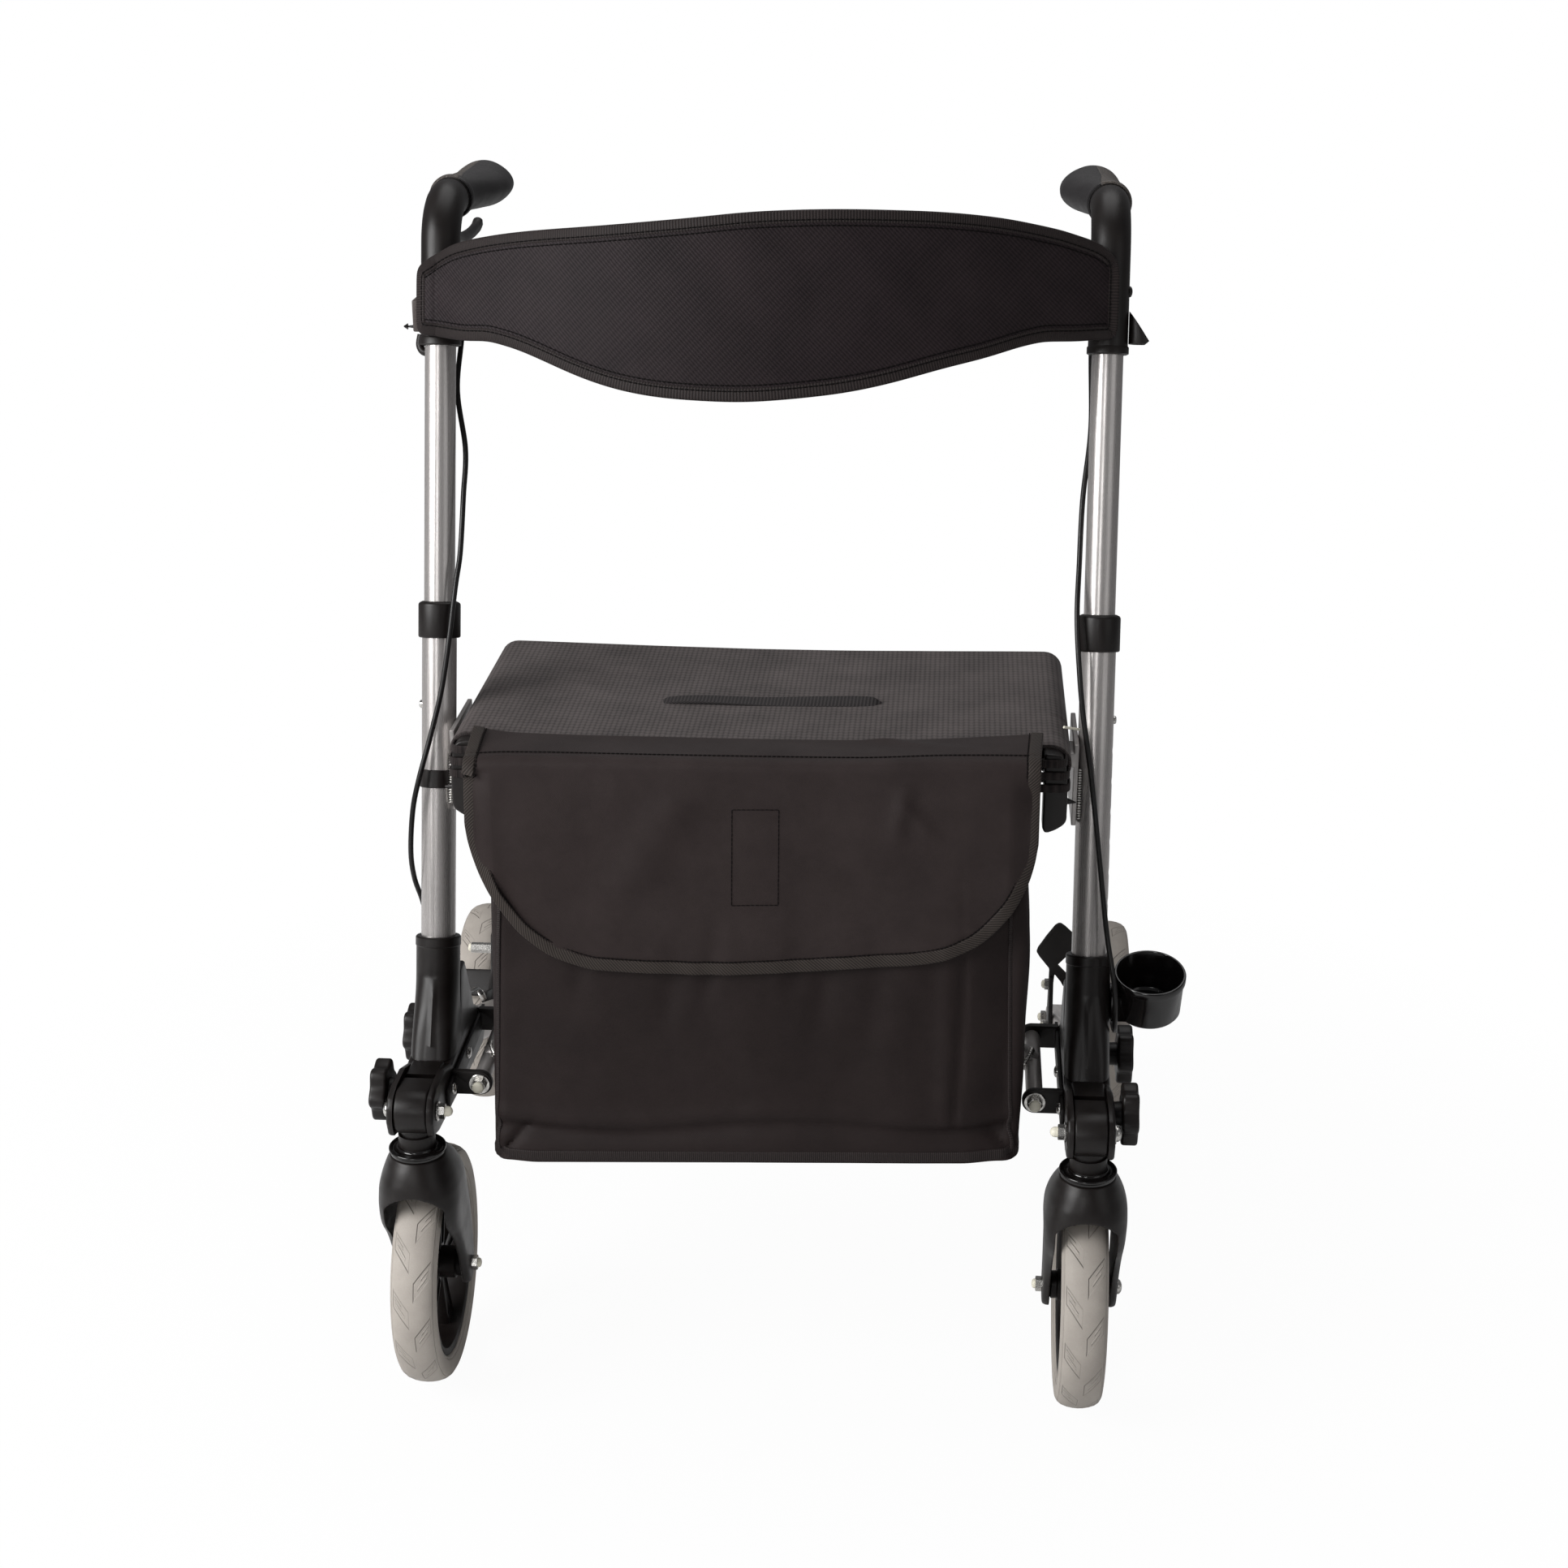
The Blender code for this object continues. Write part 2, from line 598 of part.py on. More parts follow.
def snap_button():
    """Button with its leaf inside the height tube."""
    place = on_tube(BUTTON_Z)
    inner = HEIGHT_TUBE_RADIUS - HEIGHT_TUBE_WALL
    leaf_face = inner - BUTTON_LEAF_HALF * 0.55
    pin = across(place.y, place.z, leaf_face - BUTTON_LEAF, MAIN_TUBE_RADIUS, BUTTON_RADIUS, SMALL)
    dome = across(
        place.y, place.z, MAIN_TUBE_RADIUS - BUTTON_LEAF, MAIN_TUBE_RADIUS + BUTTON_PROUD, BUTTON_RADIUS, SMALL,
        BUTTON_RADIUS * 0.6)
    leaf = box(
        (leaf_face - BUTTON_LEAF, -BUTTON_LEAF_HALF, -BUTTON_LEAF_LENGTH),
        (leaf_face, BUTTON_LEAF_HALF, BUTTON_RADIUS * 1.6))
    leaf.data.transform(Matrix.Translation(place) @ Matrix.Rotation(-LEAN, 4, "X"))
    return join(pin, dome, leaf)


def frame_moulding():
    """Foot of the side frame: tube socket, cheeks for the caster block and channel for the rear leg."""
    body = plate(MOULDING_OUTLINE, "X", -MOULDING_HALF, MOULDING_HALF)
    socket = rod(
        on_tube(MAIN_TUBE_BOTTOM_Z), on_tube(MOULDING_TOP_Z), MAIN_TUBE_RADIUS + FIT + SOCKET_WALL, FINE)
    bore = rod(on_tube(MAIN_TUBE_BOTTOM_Z - FIT), on_tube(MOULDING_TOP_Z + 0.02), MAIN_TUBE_RADIUS + FIT, FINE)
    slot = across(HINGE_Y, HINGE_Z, -CHEEK_SLOT_HALF, CHEEK_SLOT_HALF, BLOCK_REACH + RUNNING_FIT, 48)
    channel_top = LEG_TOP_LINE_Z + LEG_DEPTH_HALF + FIT
    channel = box(
        (-CHEEK_SLOT_HALF, LEG_FRONT_Y - FIT, channel_top - 0.06),
        (CHEEK_SLOT_HALF, LEG_BEND_Y + 0.03, channel_top))
    reach = MOULDING_HALF + 0.01
    bolt = across(HINGE_Y, HINGE_Z, -reach, reach, HINGE_BOLT_RADIUS + RUNNING_FIT)
    blind = MOULDING_HALF - 0.0015
    knobs = [
        across(y, z, -blind, reach, KNOB_SHANK_RADIUS + RUNNING_FIT)
        for y, z in ((FRONT_KNOB_Y, FRONT_KNOB_Z), (REAR_KNOB_Y, REAR_KNOB_Z))
    ]
    return cut(join(body, socket), bore, slot, channel, bolt, *knobs)


def caster_block():
    """Block that hinges between the cheeks and carries the swivel."""
    half = CHEEK_SLOT_HALF - FIT
    hinge = (HINGE_Y, HINGE_Z)
    rear_top = math.degrees(math.asin((BLOCK_REAR_TOP_Z - HINGE_Z) / BLOCK_REACH))
    rear_bottom = math.degrees(math.asin((BLOCK_REAR_BOTTOM_Z - HINGE_Z) / BLOCK_REACH))
    outline = arc(hinge, BLOCK_DRUM_RADIUS, 90.0, 250.0, 12) + arc(hinge, BLOCK_REACH, rear_bottom, rear_top, 5)
    body = plate(outline, "X", -half, half)
    neck_bottom = CROWN_TOP_Z + RUNNING_FIT
    neck = rod((0.0, 0.0, neck_bottom + 0.001), (0.0, 0.0, NECK_TOP_Z), NECK_RADIUS, FINE)
    core = rod((0.0, 0.0, neck_bottom + 0.001), (0.0, 0.0, BLOCK_REAR_BOTTOM_Z + 0.003), NECK_CORE_RADIUS, FINE)
    flange = turned(
        [
            (0.0, FLANGE_THICKNESS), (FLANGE_RADIUS * 0.86, FLANGE_THICKNESS),
            (FLANGE_RADIUS, FLANGE_THICKNESS * 0.65), (FLANGE_RADIUS, FLANGE_THICKNESS * 0.2),
            (FLANGE_RADIUS * 0.95, 0.0), (0.0, 0.0),
        ],
        (0.0, 0.0, neck_bottom), (0.0, 0.0, 1.0), FINE, closed=False)
    stem_bore = rod(
        (0.0, 0.0, neck_bottom - 0.01), (0.0, 0.0, STEM_TOP_Z + FIT), STEM_RADIUS + RUNNING_FIT, SMALL)
    bolt = across(HINGE_Y, HINGE_Z, -half * 2.0, half * 2.0, HINGE_BOLT_RADIUS + RUNNING_FIT)
    knob_reach = math.hypot(FRONT_KNOB_Y - HINGE_Y, FRONT_KNOB_Z - HINGE_Z)
    gap = KNOB_SHANK_RADIUS + RUNNING_FIT
    hook = arc(hinge, knob_reach - gap, -8.0, 70.0, 10) + arc(hinge, knob_reach + gap, 70.0, -8.0, 10)
    return cut(join(body, core, neck, flange), stem_bore, bolt, plate(hook, "X", -half * 2.0, half * 2.0))


def caster_fork():
    """Fork with its crown and its swivel stem."""
    front = FORK_FRONT_OUTLINE + [(-u, z) for u, z in reversed(FORK_FRONT_OUTLINE)]
    fork = overlap_of(
        plate(FORK_SIDE_OUTLINE, "X", -0.05, 0.05),
        plate(front, "Y", -0.05, 0.10))
    room = across(
        FRONT_AXLE_Y, WHEEL_RADIUS, -FORK_GAP_HALF, FORK_GAP_HALF, WHEEL_RADIUS + FORK_TYRE_GAP, 64)
    stem = rod((0.0, 0.0, CROWN_TOP_Z - 0.005), (0.0, 0.0, STEM_TOP_Z), STEM_RADIUS, SMALL)
    hole = across(FRONT_AXLE_Y, WHEEL_RADIUS, -0.05, 0.05, AXLE_RADIUS + FIT)
    return cut(join(fork, stem), room, hole)


def tyre(y):
    """Tyre about an axle at y, in the plane u = 0."""
    side = [
        (TYRE_SEAT_RADIUS, TYRE_SEAT_HALF), (WHEEL_RADIUS * 0.89, TYRE_HALF),
        (WHEEL_RADIUS * 0.965, TYRE_HALF * 0.74),
    ]
    profile = side + [(WHEEL_RADIUS, 0.0)] + [(radius, -half) for radius, half in reversed(side)]
    return turned(profile, (0.0, y, WHEEL_RADIUS), (1.0, 0.0, 0.0), WHEEL_FACETS, closed=True)


def rim(y, hub_half):
    """Rim with its hub and spokes, in the plane u = 0."""
    outer = TYRE_SEAT_RADIUS - FIT
    inner = outer - RIM_RING
    centre = Vector((0.0, y, WHEEL_RADIUS))
    profile = [
        (outer, TYRE_SEAT_HALF), (outer, -TYRE_SEAT_HALF), (inner, -TYRE_SEAT_HALF), (inner, TYRE_SEAT_HALF),
    ]
    shape = turned(profile, centre, (1.0, 0.0, 0.0), WHEEL_FACETS, closed=True)
    spokes = []
    for i in range(SPOKE_COUNT):
        turn = Matrix.Rotation(math.tau * i / SPOKE_COUNT, 4, "X")
        outline = [
            (-SPOKE_ROOT_HALF, HUB_RADIUS * 0.6), (SPOKE_ROOT_HALF, HUB_RADIUS * 0.6),
            (SPOKE_TIP_HALF, inner + RIM_RING * 0.5), (-SPOKE_TIP_HALF, inner + RIM_RING * 0.5),
        ]
        spoke = plate(outline, "X", -SPOKE_THICK_HALF, SPOKE_THICK_HALF)
        spoke.data.transform(Matrix.Translation(centre) @ turn)
        spokes.append(spoke)
    hub = across(y, WHEEL_RADIUS, -hub_half, hub_half, HUB_RADIUS, ROUND)
    bore = across(y, WHEEL_RADIUS, -hub_half * 2.0, hub_half * 2.0, AXLE_RADIUS + RUNNING_FIT)
    return cut(join(shape, hub, *spokes), bore)


def capped_bolt(y, z, head_u, nut_u, shank, head_radius, head, nut_radius, nut, cap_radius, cap):
    """Bolt across the side, its head outboard of head_u and its capped nut inboard of nut_u."""
    shank_piece = across(y, z, nut_u, head_u, shank)
    head_piece = across(y, z, head_u - FIT, head_u + head, head_radius, SMALL)
    nut_piece = across(y, z, nut_u - nut, nut_u + FIT, nut_radius, 6)
    cap_piece = across(y, z, nut_u - nut - cap, nut_u - nut + FIT, cap_radius * 0.7, SMALL, cap_radius)
    return join(shank_piece, head_piece, nut_piece, cap_piece)


def front_axle():
    """Caster axle bolt, through both fork legs."""
    low, high = FORK_FRONT_OUTLINE[-1], FORK_FRONT_OUTLINE[-2]
    top = WHEEL_RADIUS + AXLE_HEAD_RADIUS
    face = lerp(low[0], high[0], (top - low[1]) / (high[1] - low[1])) + 2.0 * FIT
    return capped_bolt(
        FRONT_AXLE_Y, WHEEL_RADIUS, face, -face, AXLE_RADIUS, AXLE_HEAD_RADIUS, AXLE_HEAD, NUT_RADIUS, NUT,
        CAP_RADIUS, CAP)


def leg_line():
    """Centre line of the rear leg in (y, z)."""
    return [(LEG_FRONT_Y, LEG_TOP_LINE_Z), (LEG_BEND_Y, LEG_TOP_LINE_Z), (REAR_AXLE_Y, WHEEL_RADIUS)]


def band(line, half, round_end=False):
    """Outline of a strip of even depth along a bent line of three points."""
    first, bend, last = [Vector(p) for p in line]
    normal_a = Vector((-(bend - first).y, (bend - first).x)).normalized()
    normal_b = Vector((-(last - bend).y, (last - bend).x)).normalized()
    mitre = (normal_a + normal_b).normalized()
    mitre *= half / mitre.dot(normal_a)
    points = [tuple(first + normal_a * half), tuple(bend + mitre)]
    if round_end:
        top = math.degrees(math.atan2(normal_b.y, normal_b.x))
        points += arc(last, half, top, top - 180.0, 13)
    else:
        points += [tuple(last + normal_b * half), tuple(last - normal_b * half)]
    return points + [tuple(bend - mitre), tuple(first - normal_a * half)]


def rear_leg():
    """Rectangular tube from the moulding to the rear axle, with the brake arm's stud."""
    line = leg_line()
    outer = plate(band(line, LEG_DEPTH_HALF, round_end=True), "X", -LEG_HALF, LEG_HALF)
    bend = Vector(line[1])
    end = Vector(line[2])
    along = (end - bend).normalized()
    inside_end = end - along * LEG_SOLID_END
    inside_line = [(LEG_FRONT_Y - 0.01, LEG_TOP_LINE_Z), line[1], tuple(inside_end)]
    inside = plate(band(inside_line, LEG_DEPTH_HALF - LEG_WALL), "X", LEG_WALL - LEG_HALF, LEG_HALF - LEG_WALL)
    stud_end = LEG_HALF + FIT + ARM_PLATE + FIT
    stud = across(ARM_PIVOT_Y, ARM_PIVOT_Z, LEG_HALF - LEG_WALL * 0.5, stud_end + LEG_WALL, ARM_PIVOT_RADIUS)
    stud_head = across(ARM_PIVOT_Y, ARM_PIVOT_Z, stud_end, stud_end + LEG_WALL, ARM_PIVOT_RADIUS * 2.0)
    axle = across(REAR_AXLE_Y, WHEEL_RADIUS, -0.03, 0.03, AXLE_RADIUS + FIT)
    knob = across(REAR_KNOB_Y, REAR_KNOB_Z, -0.03, 0.03, KNOB_SHANK_RADIUS + RUNNING_FIT)
    return join(cut(outer, inside, axle, knob), stud, stud_head)


def rear_axle():
    """Rear axle bolt with its spacer, fixed in the leg."""
    hub_in = REAR_WHEEL_U - REAR_HUB_HALF
    hub_out = REAR_WHEEL_U + REAR_HUB_HALF
    shape = capped_bolt(
        REAR_AXLE_Y, WHEEL_RADIUS, hub_out + RUNNING_FIT, -LEG_HALF - FIT, AXLE_RADIUS, AXLE_HEAD_RADIUS * 1.25,
        AXLE_HEAD * 0.55, NUT_RADIUS, NUT, CAP_RADIUS, CAP)
    spacer = across(REAR_AXLE_Y, WHEEL_RADIUS, LEG_HALF + FIT, hub_in - RUNNING_FIT, AXLE_RADIUS * 2.0, SMALL)
    return join(shape, spacer)


def hinge_bolt():
    """Bolt that the caster block folds about."""
    face = MOULDING_HALF + FIT
    washer = 0.0012
    bolt = capped_bolt(
        HINGE_Y, HINGE_Z, face + washer, -face - washer, HINGE_BOLT_RADIUS, NUT_RADIUS, AXLE_HEAD,
        NUT_RADIUS, NUT, CAP_RADIUS, CAP + 0.0030)
    washers = [
        across(HINGE_Y, HINGE_Z, side * face, side * (face + washer + FIT), NUT_RADIUS * 1.3)
        for side in (1.0, -1.0)
    ]
    return join(bolt, *washers)


def lock_knob(y, z, face):
    """Star knob with its clamping shank, its outer face at u = face."""
    outline = []
    steps = KNOB_LOBES * 6
    for i in range(steps):
        a = math.tau * i / steps
        radius = KNOB_RADIUS + KNOB_LOBE_DEPTH * math.cos(KNOB_LOBES * a)
        outline.append((y + radius * math.cos(a), z + radius * math.sin(a)))
    star = plate(outline, "X", face - KNOB_THICKNESS, face)
    boss = across(y, z, MOULDING_HALF + FIT, face - KNOB_THICKNESS * 0.5, KNOB_BOSS_RADIUS, ROUND)
    shank = across(y, z, -MOULDING_HALF + 0.0025, face - KNOB_THICKNESS * 0.5, KNOB_SHANK_RADIUS)
    return join(star, boss, shank)


def brake_arm():
    """Arm on the leg's outer side with the shoe that presses the tyre."""
    inner = LEG_HALF + FIT
    outer = inner + ARM_PLATE
    centre = (REAR_AXLE_Y, WHEEL_RADIUS)
    near = WHEEL_RADIUS + SHOE_GAP
    start, end = SHOE_ANGLES
    behind_shoe = arc(centre, near + SHOE_THICKNESS * 0.4, end, start, 2)
    arm = plate(ARM_OUTLINE + behind_shoe, "X", inner, outer)
    sector = arc(centre, near, start, end, 5) + arc(centre, near + SHOE_THICKNESS, end, start, 5)
    shoe = plate(sector, "X", inner, SHOE_OUTER)
    horn_y, horn_z = HORN_BOLT
    bolt = across(horn_y, horn_z, outer - FIT, HORN_BOLT_END - CAP, NUT_RADIUS * 0.8, 6)
    cap = across(horn_y, horn_z, HORN_BOLT_END - CAP - FIT, HORN_BOLT_END, CAP_RADIUS, SMALL, CAP_RADIUS * 0.7)
    hole = across(ARM_PIVOT_Y, ARM_PIVOT_Z, 0.0, 0.03, ARM_PIVOT_RADIUS + RUNNING_FIT)
    return cut(join(arm, shoe, bolt, cap), hole)


def tip_pedal():
    """Pedal inboard of the rear leg, which tips the front over a kerb."""
    inner = -LEG_HALF - FIT
    bracket = plate(PEDAL_BRACKET_OUTLINE, "X", inner - PEDAL_THICKNESS, inner)
    foot = plate(PEDAL_OUTLINE, "Y", PEDAL_Y, PEDAL_Y + PEDAL_THICKNESS)
    bolts = []
    for y, z in PEDAL_BOLTS:
        face = inner - PEDAL_THICKNESS
        bolts.append(across(y, z, face - NUT * 0.8, face + FIT, NUT_RADIUS * 0.85, 6))
        tip = face - NUT * 0.8
        bolts.append(across(y, z, tip - CAP, tip + FIT, CAP_RADIUS * 0.7, SMALL, CAP_RADIUS))
    return join(bracket, foot, *bolts)


def brace_bracket():
    """U bracket on the moulding's inner cheek, its ears round the cross's lower rail."""
    outer = -MOULDING_HALF - FIT
    web = box(
        (outer - BRACKET_WEB, BRACKET_FRONT_Y, BRACKET_BOTTOM_Z), (outer, BRACKET_BACK_Y, BRACKET_TOP_Z))
    pivot = (BRACE_PIVOT_X - TRACK_HALF, BRACE_PIVOT_Z)
    outline = [(outer, BRACE_PIVOT_Z - EAR_RADIUS)] + arc(pivot, EAR_RADIUS, 270.0, 90.0, 9)
    outline.append((outer, BRACE_PIVOT_Z + EAR_RADIUS))
    front_ear = plate(outline, "Y", LOWER_RAIL_FRONT_Y - FIT - EAR_THICKNESS, LOWER_RAIL_FRONT_Y - FIT)
    back_ear = plate(outline, "Y", LOWER_RAIL_BACK_Y + FIT, LOWER_RAIL_BACK_Y + FIT + EAR_THICKNESS)
    hole = rod(
        (pivot[0], LOWER_RAIL_FRONT_Y - 0.03, pivot[1]), (pivot[0], LOWER_RAIL_BACK_Y + 0.03, pivot[1]),
        STUD_RADIUS + RUNNING_FIT, SMALL)
    screw_u = outer - BRACKET_WEB
    screws = [across(y, BRACE_PIVOT_Z, screw_u - 0.0030, screw_u + FIT, 0.0050) for y in (0.0450, 0.1100)]
    return join(cut(join(web, front_ear, back_ear), hole), *screws)


def seat_cradle():
    """Plate on the tube's inner side, with a lip that the seat rail drops into."""
    face = -MAIN_TUBE_RADIUS - FIT
    body = box(
        (face - CRADLE_PLATE, CRADLE_FRONT_Y, CRADLE_BOTTOM_Z), (face, CRADLE_BACK_Y, CRADLE_TOP_Z))
    rail = (SEAT_RAIL_X - TRACK_HALF, SEAT_RAIL_Z)
    near = SEAT_RAIL_RADIUS + FIT
    far = near + CRADLE_LIP
    outline = arc(rail, near, 180.0, 340.0, 9)
    outline += [
        (face - CRADLE_PLATE * 0.5, rail[1] - near * 0.34), (face - CRADLE_PLATE * 0.5, rail[1] - far * 1.1),
    ]
    outline += arc(rail, far, 292.0, 180.0, 7)
    lip = plate(outline, "Y", CRADLE_FRONT_Y, CRADLE_LIP_BACK_Y)
    return join(body, lip)


def handle_housing():
    """Elbow from the height tube to the grip, with the core that carries the grip and the lever's lug."""
    start = on_tube(ELBOW_START_Z)
    centre = start + ELBOW_RADIUS * Vector((0.0, math.cos(LEAN), -math.sin(LEAN)))
    bend = []
    steps = 6
    sweep = math.pi / 2.0 - LEAN
    for i in range(steps + 1):
        turn = LEAN + sweep * i / steps
        bend.append(centre + ELBOW_RADIUS * Vector((0.0, -math.cos(turn), math.sin(turn))))
    grip_z = bend[-1].z
    path = [on_tube(HOUSING_BOTTOM_Z)] + bend + [Vector((0.0, HOUSING_END_Y, grip_z))]
    body = pipe(path, HOUSING_RADIUS, 6)
    core = rod((0.0, HOUSING_END_Y - 0.01, grip_z), (0.0, CORE_END_Y, grip_z), CORE_RADIUS, ROUND)
    lug = box(
        (-LUG_HALF, LEVER_PIVOT_Y - LUG_HALF_LENGTH, LEVER_PIVOT_Z - LUG_DROP),
        (LUG_HALF, LEVER_PIVOT_Y + LUG_HALF_LENGTH, grip_z - HOUSING_RADIUS * 0.5))
    slot = box(
        (-LUG_SLOT_HALF, LEVER_PIVOT_Y - LUG_HALF_LENGTH * 2.0, LEVER_PIVOT_Z - LUG_DROP * 2.0),
        (LUG_SLOT_HALF, LEVER_PIVOT_Y + LUG_HALF_LENGTH * 2.0, grip_z - HOUSING_RADIUS - 4.0 * FIT))
    pin = across(LEVER_PIVOT_Y, LEVER_PIVOT_Z, -LUG_HALF * 2.0, LUG_HALF * 2.0, LEVER_PIN_RADIUS + RUNNING_FIT)
    bore = rod(
        on_tube(HOUSING_BOTTOM_Z - 0.02), on_tube(HEIGHT_TUBE_TOP_Z + FIT), HEIGHT_TUBE_RADIUS + FIT, FINE)
    return cut(join(body, core, lug), slot, pin, bore)


def grip_height():
    """Height of the grip's axis."""
    return ELBOW_START_Z - ELBOW_RADIUS * math.sin(LEAN) + ELBOW_RADIUS


def grip():
    """Hand grip with its palm wing inboard, on the housing's core."""
    rings = []
    for y, u, z, half_width, half_height in GRIP_SECTIONS:
        turns = [math.tau * i / ROUND for i in range(ROUND)]
        rings.append([(u + half_width * math.cos(a), y, z + half_height * math.sin(a)) for a in turns])
    bore = rod(
        (0.0, HOUSING_END_Y - 0.02, grip_height()), (0.0, CORE_END_Y + FIT, grip_height()),
        CORE_RADIUS + FIT, ROUND)
    return cut(loft(rings), bore)


def brake_lever():
    """Lever under the grip, with its root between the lug's cheeks and its pin."""
    bar = pipe([(0.0, y, z) for y, z in LEVER_PATH], LEVER_RADIUS, 4)
    root_half = LUG_SLOT_HALF - RUNNING_FIT
    root = across(LEVER_PIVOT_Y, LEVER_PIVOT_Z, -root_half, root_half, LEVER_ROOT_RADIUS, ROUND)
    flat = root_half - RUNNING_FIT
    cheeks = box(
        (-flat, LEVER_PIVOT_Y - CUTTER_REACH, LEVER_PIVOT_Z - CUTTER_REACH),
        (flat, LEVER_PIVOT_Y + CUTTER_REACH, LEVER_PIVOT_Z + CUTTER_REACH))
    bar = overlap_of(bar, cheeks)
    pin = across(LEVER_PIVOT_Y, LEVER_PIVOT_Z, -LUG_HALF, LUG_HALF, LEVER_PIN_RADIUS)
    return join(bar, root, pin)


def brake_cable(route):
    """Cable from the lever's lug to the brake arm."""
    points = [on_tube(z, u=u) + Vector((0.0, back, 0.0)) for u, back, z in route]
    return pipe(smooth_route(points, CABLE_SPACING), CABLE_RADIUS, 2)


# Shared pieces

def x_brace(side, offset):
    """One weldment of the cross: lower rail on the given side, diagonal, seat rail on the other side."""
    low_x = side * BRACE_PIVOT_X
    high_x = -side * SEAT_RAIL_X
    low_y = DIAGONAL_Y + offset
    high_y = low_y + (SEAT_RAIL_Z - BRACE_PIVOT_Z) * math.tan(LEAN)
    lower = rod(
        (low_x, LOWER_RAIL_FRONT_Y, BRACE_PIVOT_Z), (low_x, LOWER_RAIL_BACK_Y, BRACE_PIVOT_Z), LOWER_RAIL_RADIUS)
    diagonal = rod((low_x, low_y, BRACE_PIVOT_Z), (high_x, high_y, SEAT_RAIL_Z), DIAGONAL_RADIUS)
    rail = rod(
        (high_x, SEAT_RAIL_FRONT_Y, SEAT_RAIL_Z), (high_x, SEAT_RAIL_BACK_Y, SEAT_RAIL_Z), SEAT_RAIL_RADIUS)
    ends = []
    for face, way in ((LOWER_RAIL_FRONT_Y, -1.0), (LOWER_RAIL_BACK_Y, 1.0)):
        washer = face + way * (2.0 * FIT + EAR_THICKNESS)
        nut = washer + way * 0.0014
        tip = nut + way * NUT
        steps = [
            (face - way * 0.002, nut, STUD_RADIUS, SMALL, STUD_RADIUS),
            (washer, nut + way * FIT, EAR_RADIUS * 0.85, SMALL, EAR_RADIUS * 0.85),
            (nut, tip, NUT_RADIUS, 6, NUT_RADIUS),
            (tip - way * FIT, tip + way * CAP, CAP_RADIUS * 1.3, SMALL, CAP_RADIUS),
        ]
        for start, end, radius, segments, end_radius in steps:
            ends.append(rod(
                (low_x, start, BRACE_PIVOT_Z), (low_x, end, BRACE_PIVOT_Z), radius, segments, end_radius))
    cross = crossing()
    hole = rod(
        (cross.x, cross.y - 0.06, cross.z), (cross.x, cross.y + 0.06, cross.z), STUD_RADIUS + RUNNING_FIT, SMALL)
    return cut(join(lower, diagonal, rail, *ends), hole)


def crossing():
    """Point midway between the diagonals where they cross."""
    share = BRACE_PIVOT_X / (BRACE_PIVOT_X + SEAT_RAIL_X)
    rise = (SEAT_RAIL_Z - BRACE_PIVOT_Z) * share
    return Vector((0.0, DIAGONAL_Y + rise * math.tan(LEAN), BRACE_PIVOT_Z + rise))


def brace_pivot_bolt():
    """Bolt through both diagonals at their crossing."""
    cross = crossing()
    reach = DIAGONAL_OFFSET + DIAGONAL_RADIUS / math.cos(LEAN) + 0.0006
    front = cross.y - reach
    back = cross.y + reach
    shank = rod((0.0, front, cross.z), (0.0, back, cross.z), STUD_RADIUS, SMALL)
    head = rod((0.0, front - AXLE_HEAD, cross.z), (0.0, front, cross.z), NUT_RADIUS, SMALL)
    nut = rod((0.0, back, cross.z), (0.0, back + NUT, cross.z), NUT_RADIUS, 6)
    return join(shank, head, nut)


def sling_top():
    """Height of the seat sling's upper face."""
    return SEAT_RAIL_Z + SEAT_RAIL_RADIUS + FIT + SLING_THICKNESS


def seat_sling():
    """Seat fabric, stretched over both rails."""
    top = sling_top()
    return box((-SLING_HALF_X, SLING_FRONT_Y, top - SLING_THICKNESS), (SLING_HALF_X, SLING_BACK_Y, top))


def seat_pull_strap():
    """Webbing on the seat that folds the frame when it is pulled."""
    base = sling_top() + FIT
    middle = (STRAP_LEFT_X + STRAP_RIGHT_X) / 2.0
    half = (STRAP_RIGHT_X - STRAP_LEFT_X) / 2.0
    steps = 12
    lower = []
    for i in range(steps + 1):
        share = 2.0 * i / steps - 1.0
        lower.append((middle + half * share, base + STRAP_RISE * (1.0 - share ** 2)))
    outline = lower + [(x, z + STRAP_THICKNESS) for x, z in reversed(lower)]
    return plate(outline, "Y", STRAP_Y - STRAP_HALF, STRAP_Y + STRAP_HALF)


def backrest_columns():
    """Columns of the backrest from the middle to the right: x, distance behind the tubes' axis, bottom, top."""
    gap = HOUSING_RADIUS + BACKREST_WRAP_GAP + BACKREST_THICKNESS
    end = -gap / math.cos(LEAN)
    columns = []
    for share, bottom, top in BACKREST_EDGES:
        columns.append((TRACK_HALF * share, end - BACKREST_BOW * (1.0 - share ** 2), bottom, top))
    for angle, bottom, top in BACKREST_WRAP:
        a = math.radians(angle)
        columns.append((TRACK_HALF + gap * math.cos(a), -gap * math.sin(a) / math.cos(LEAN), bottom, top))
    return columns


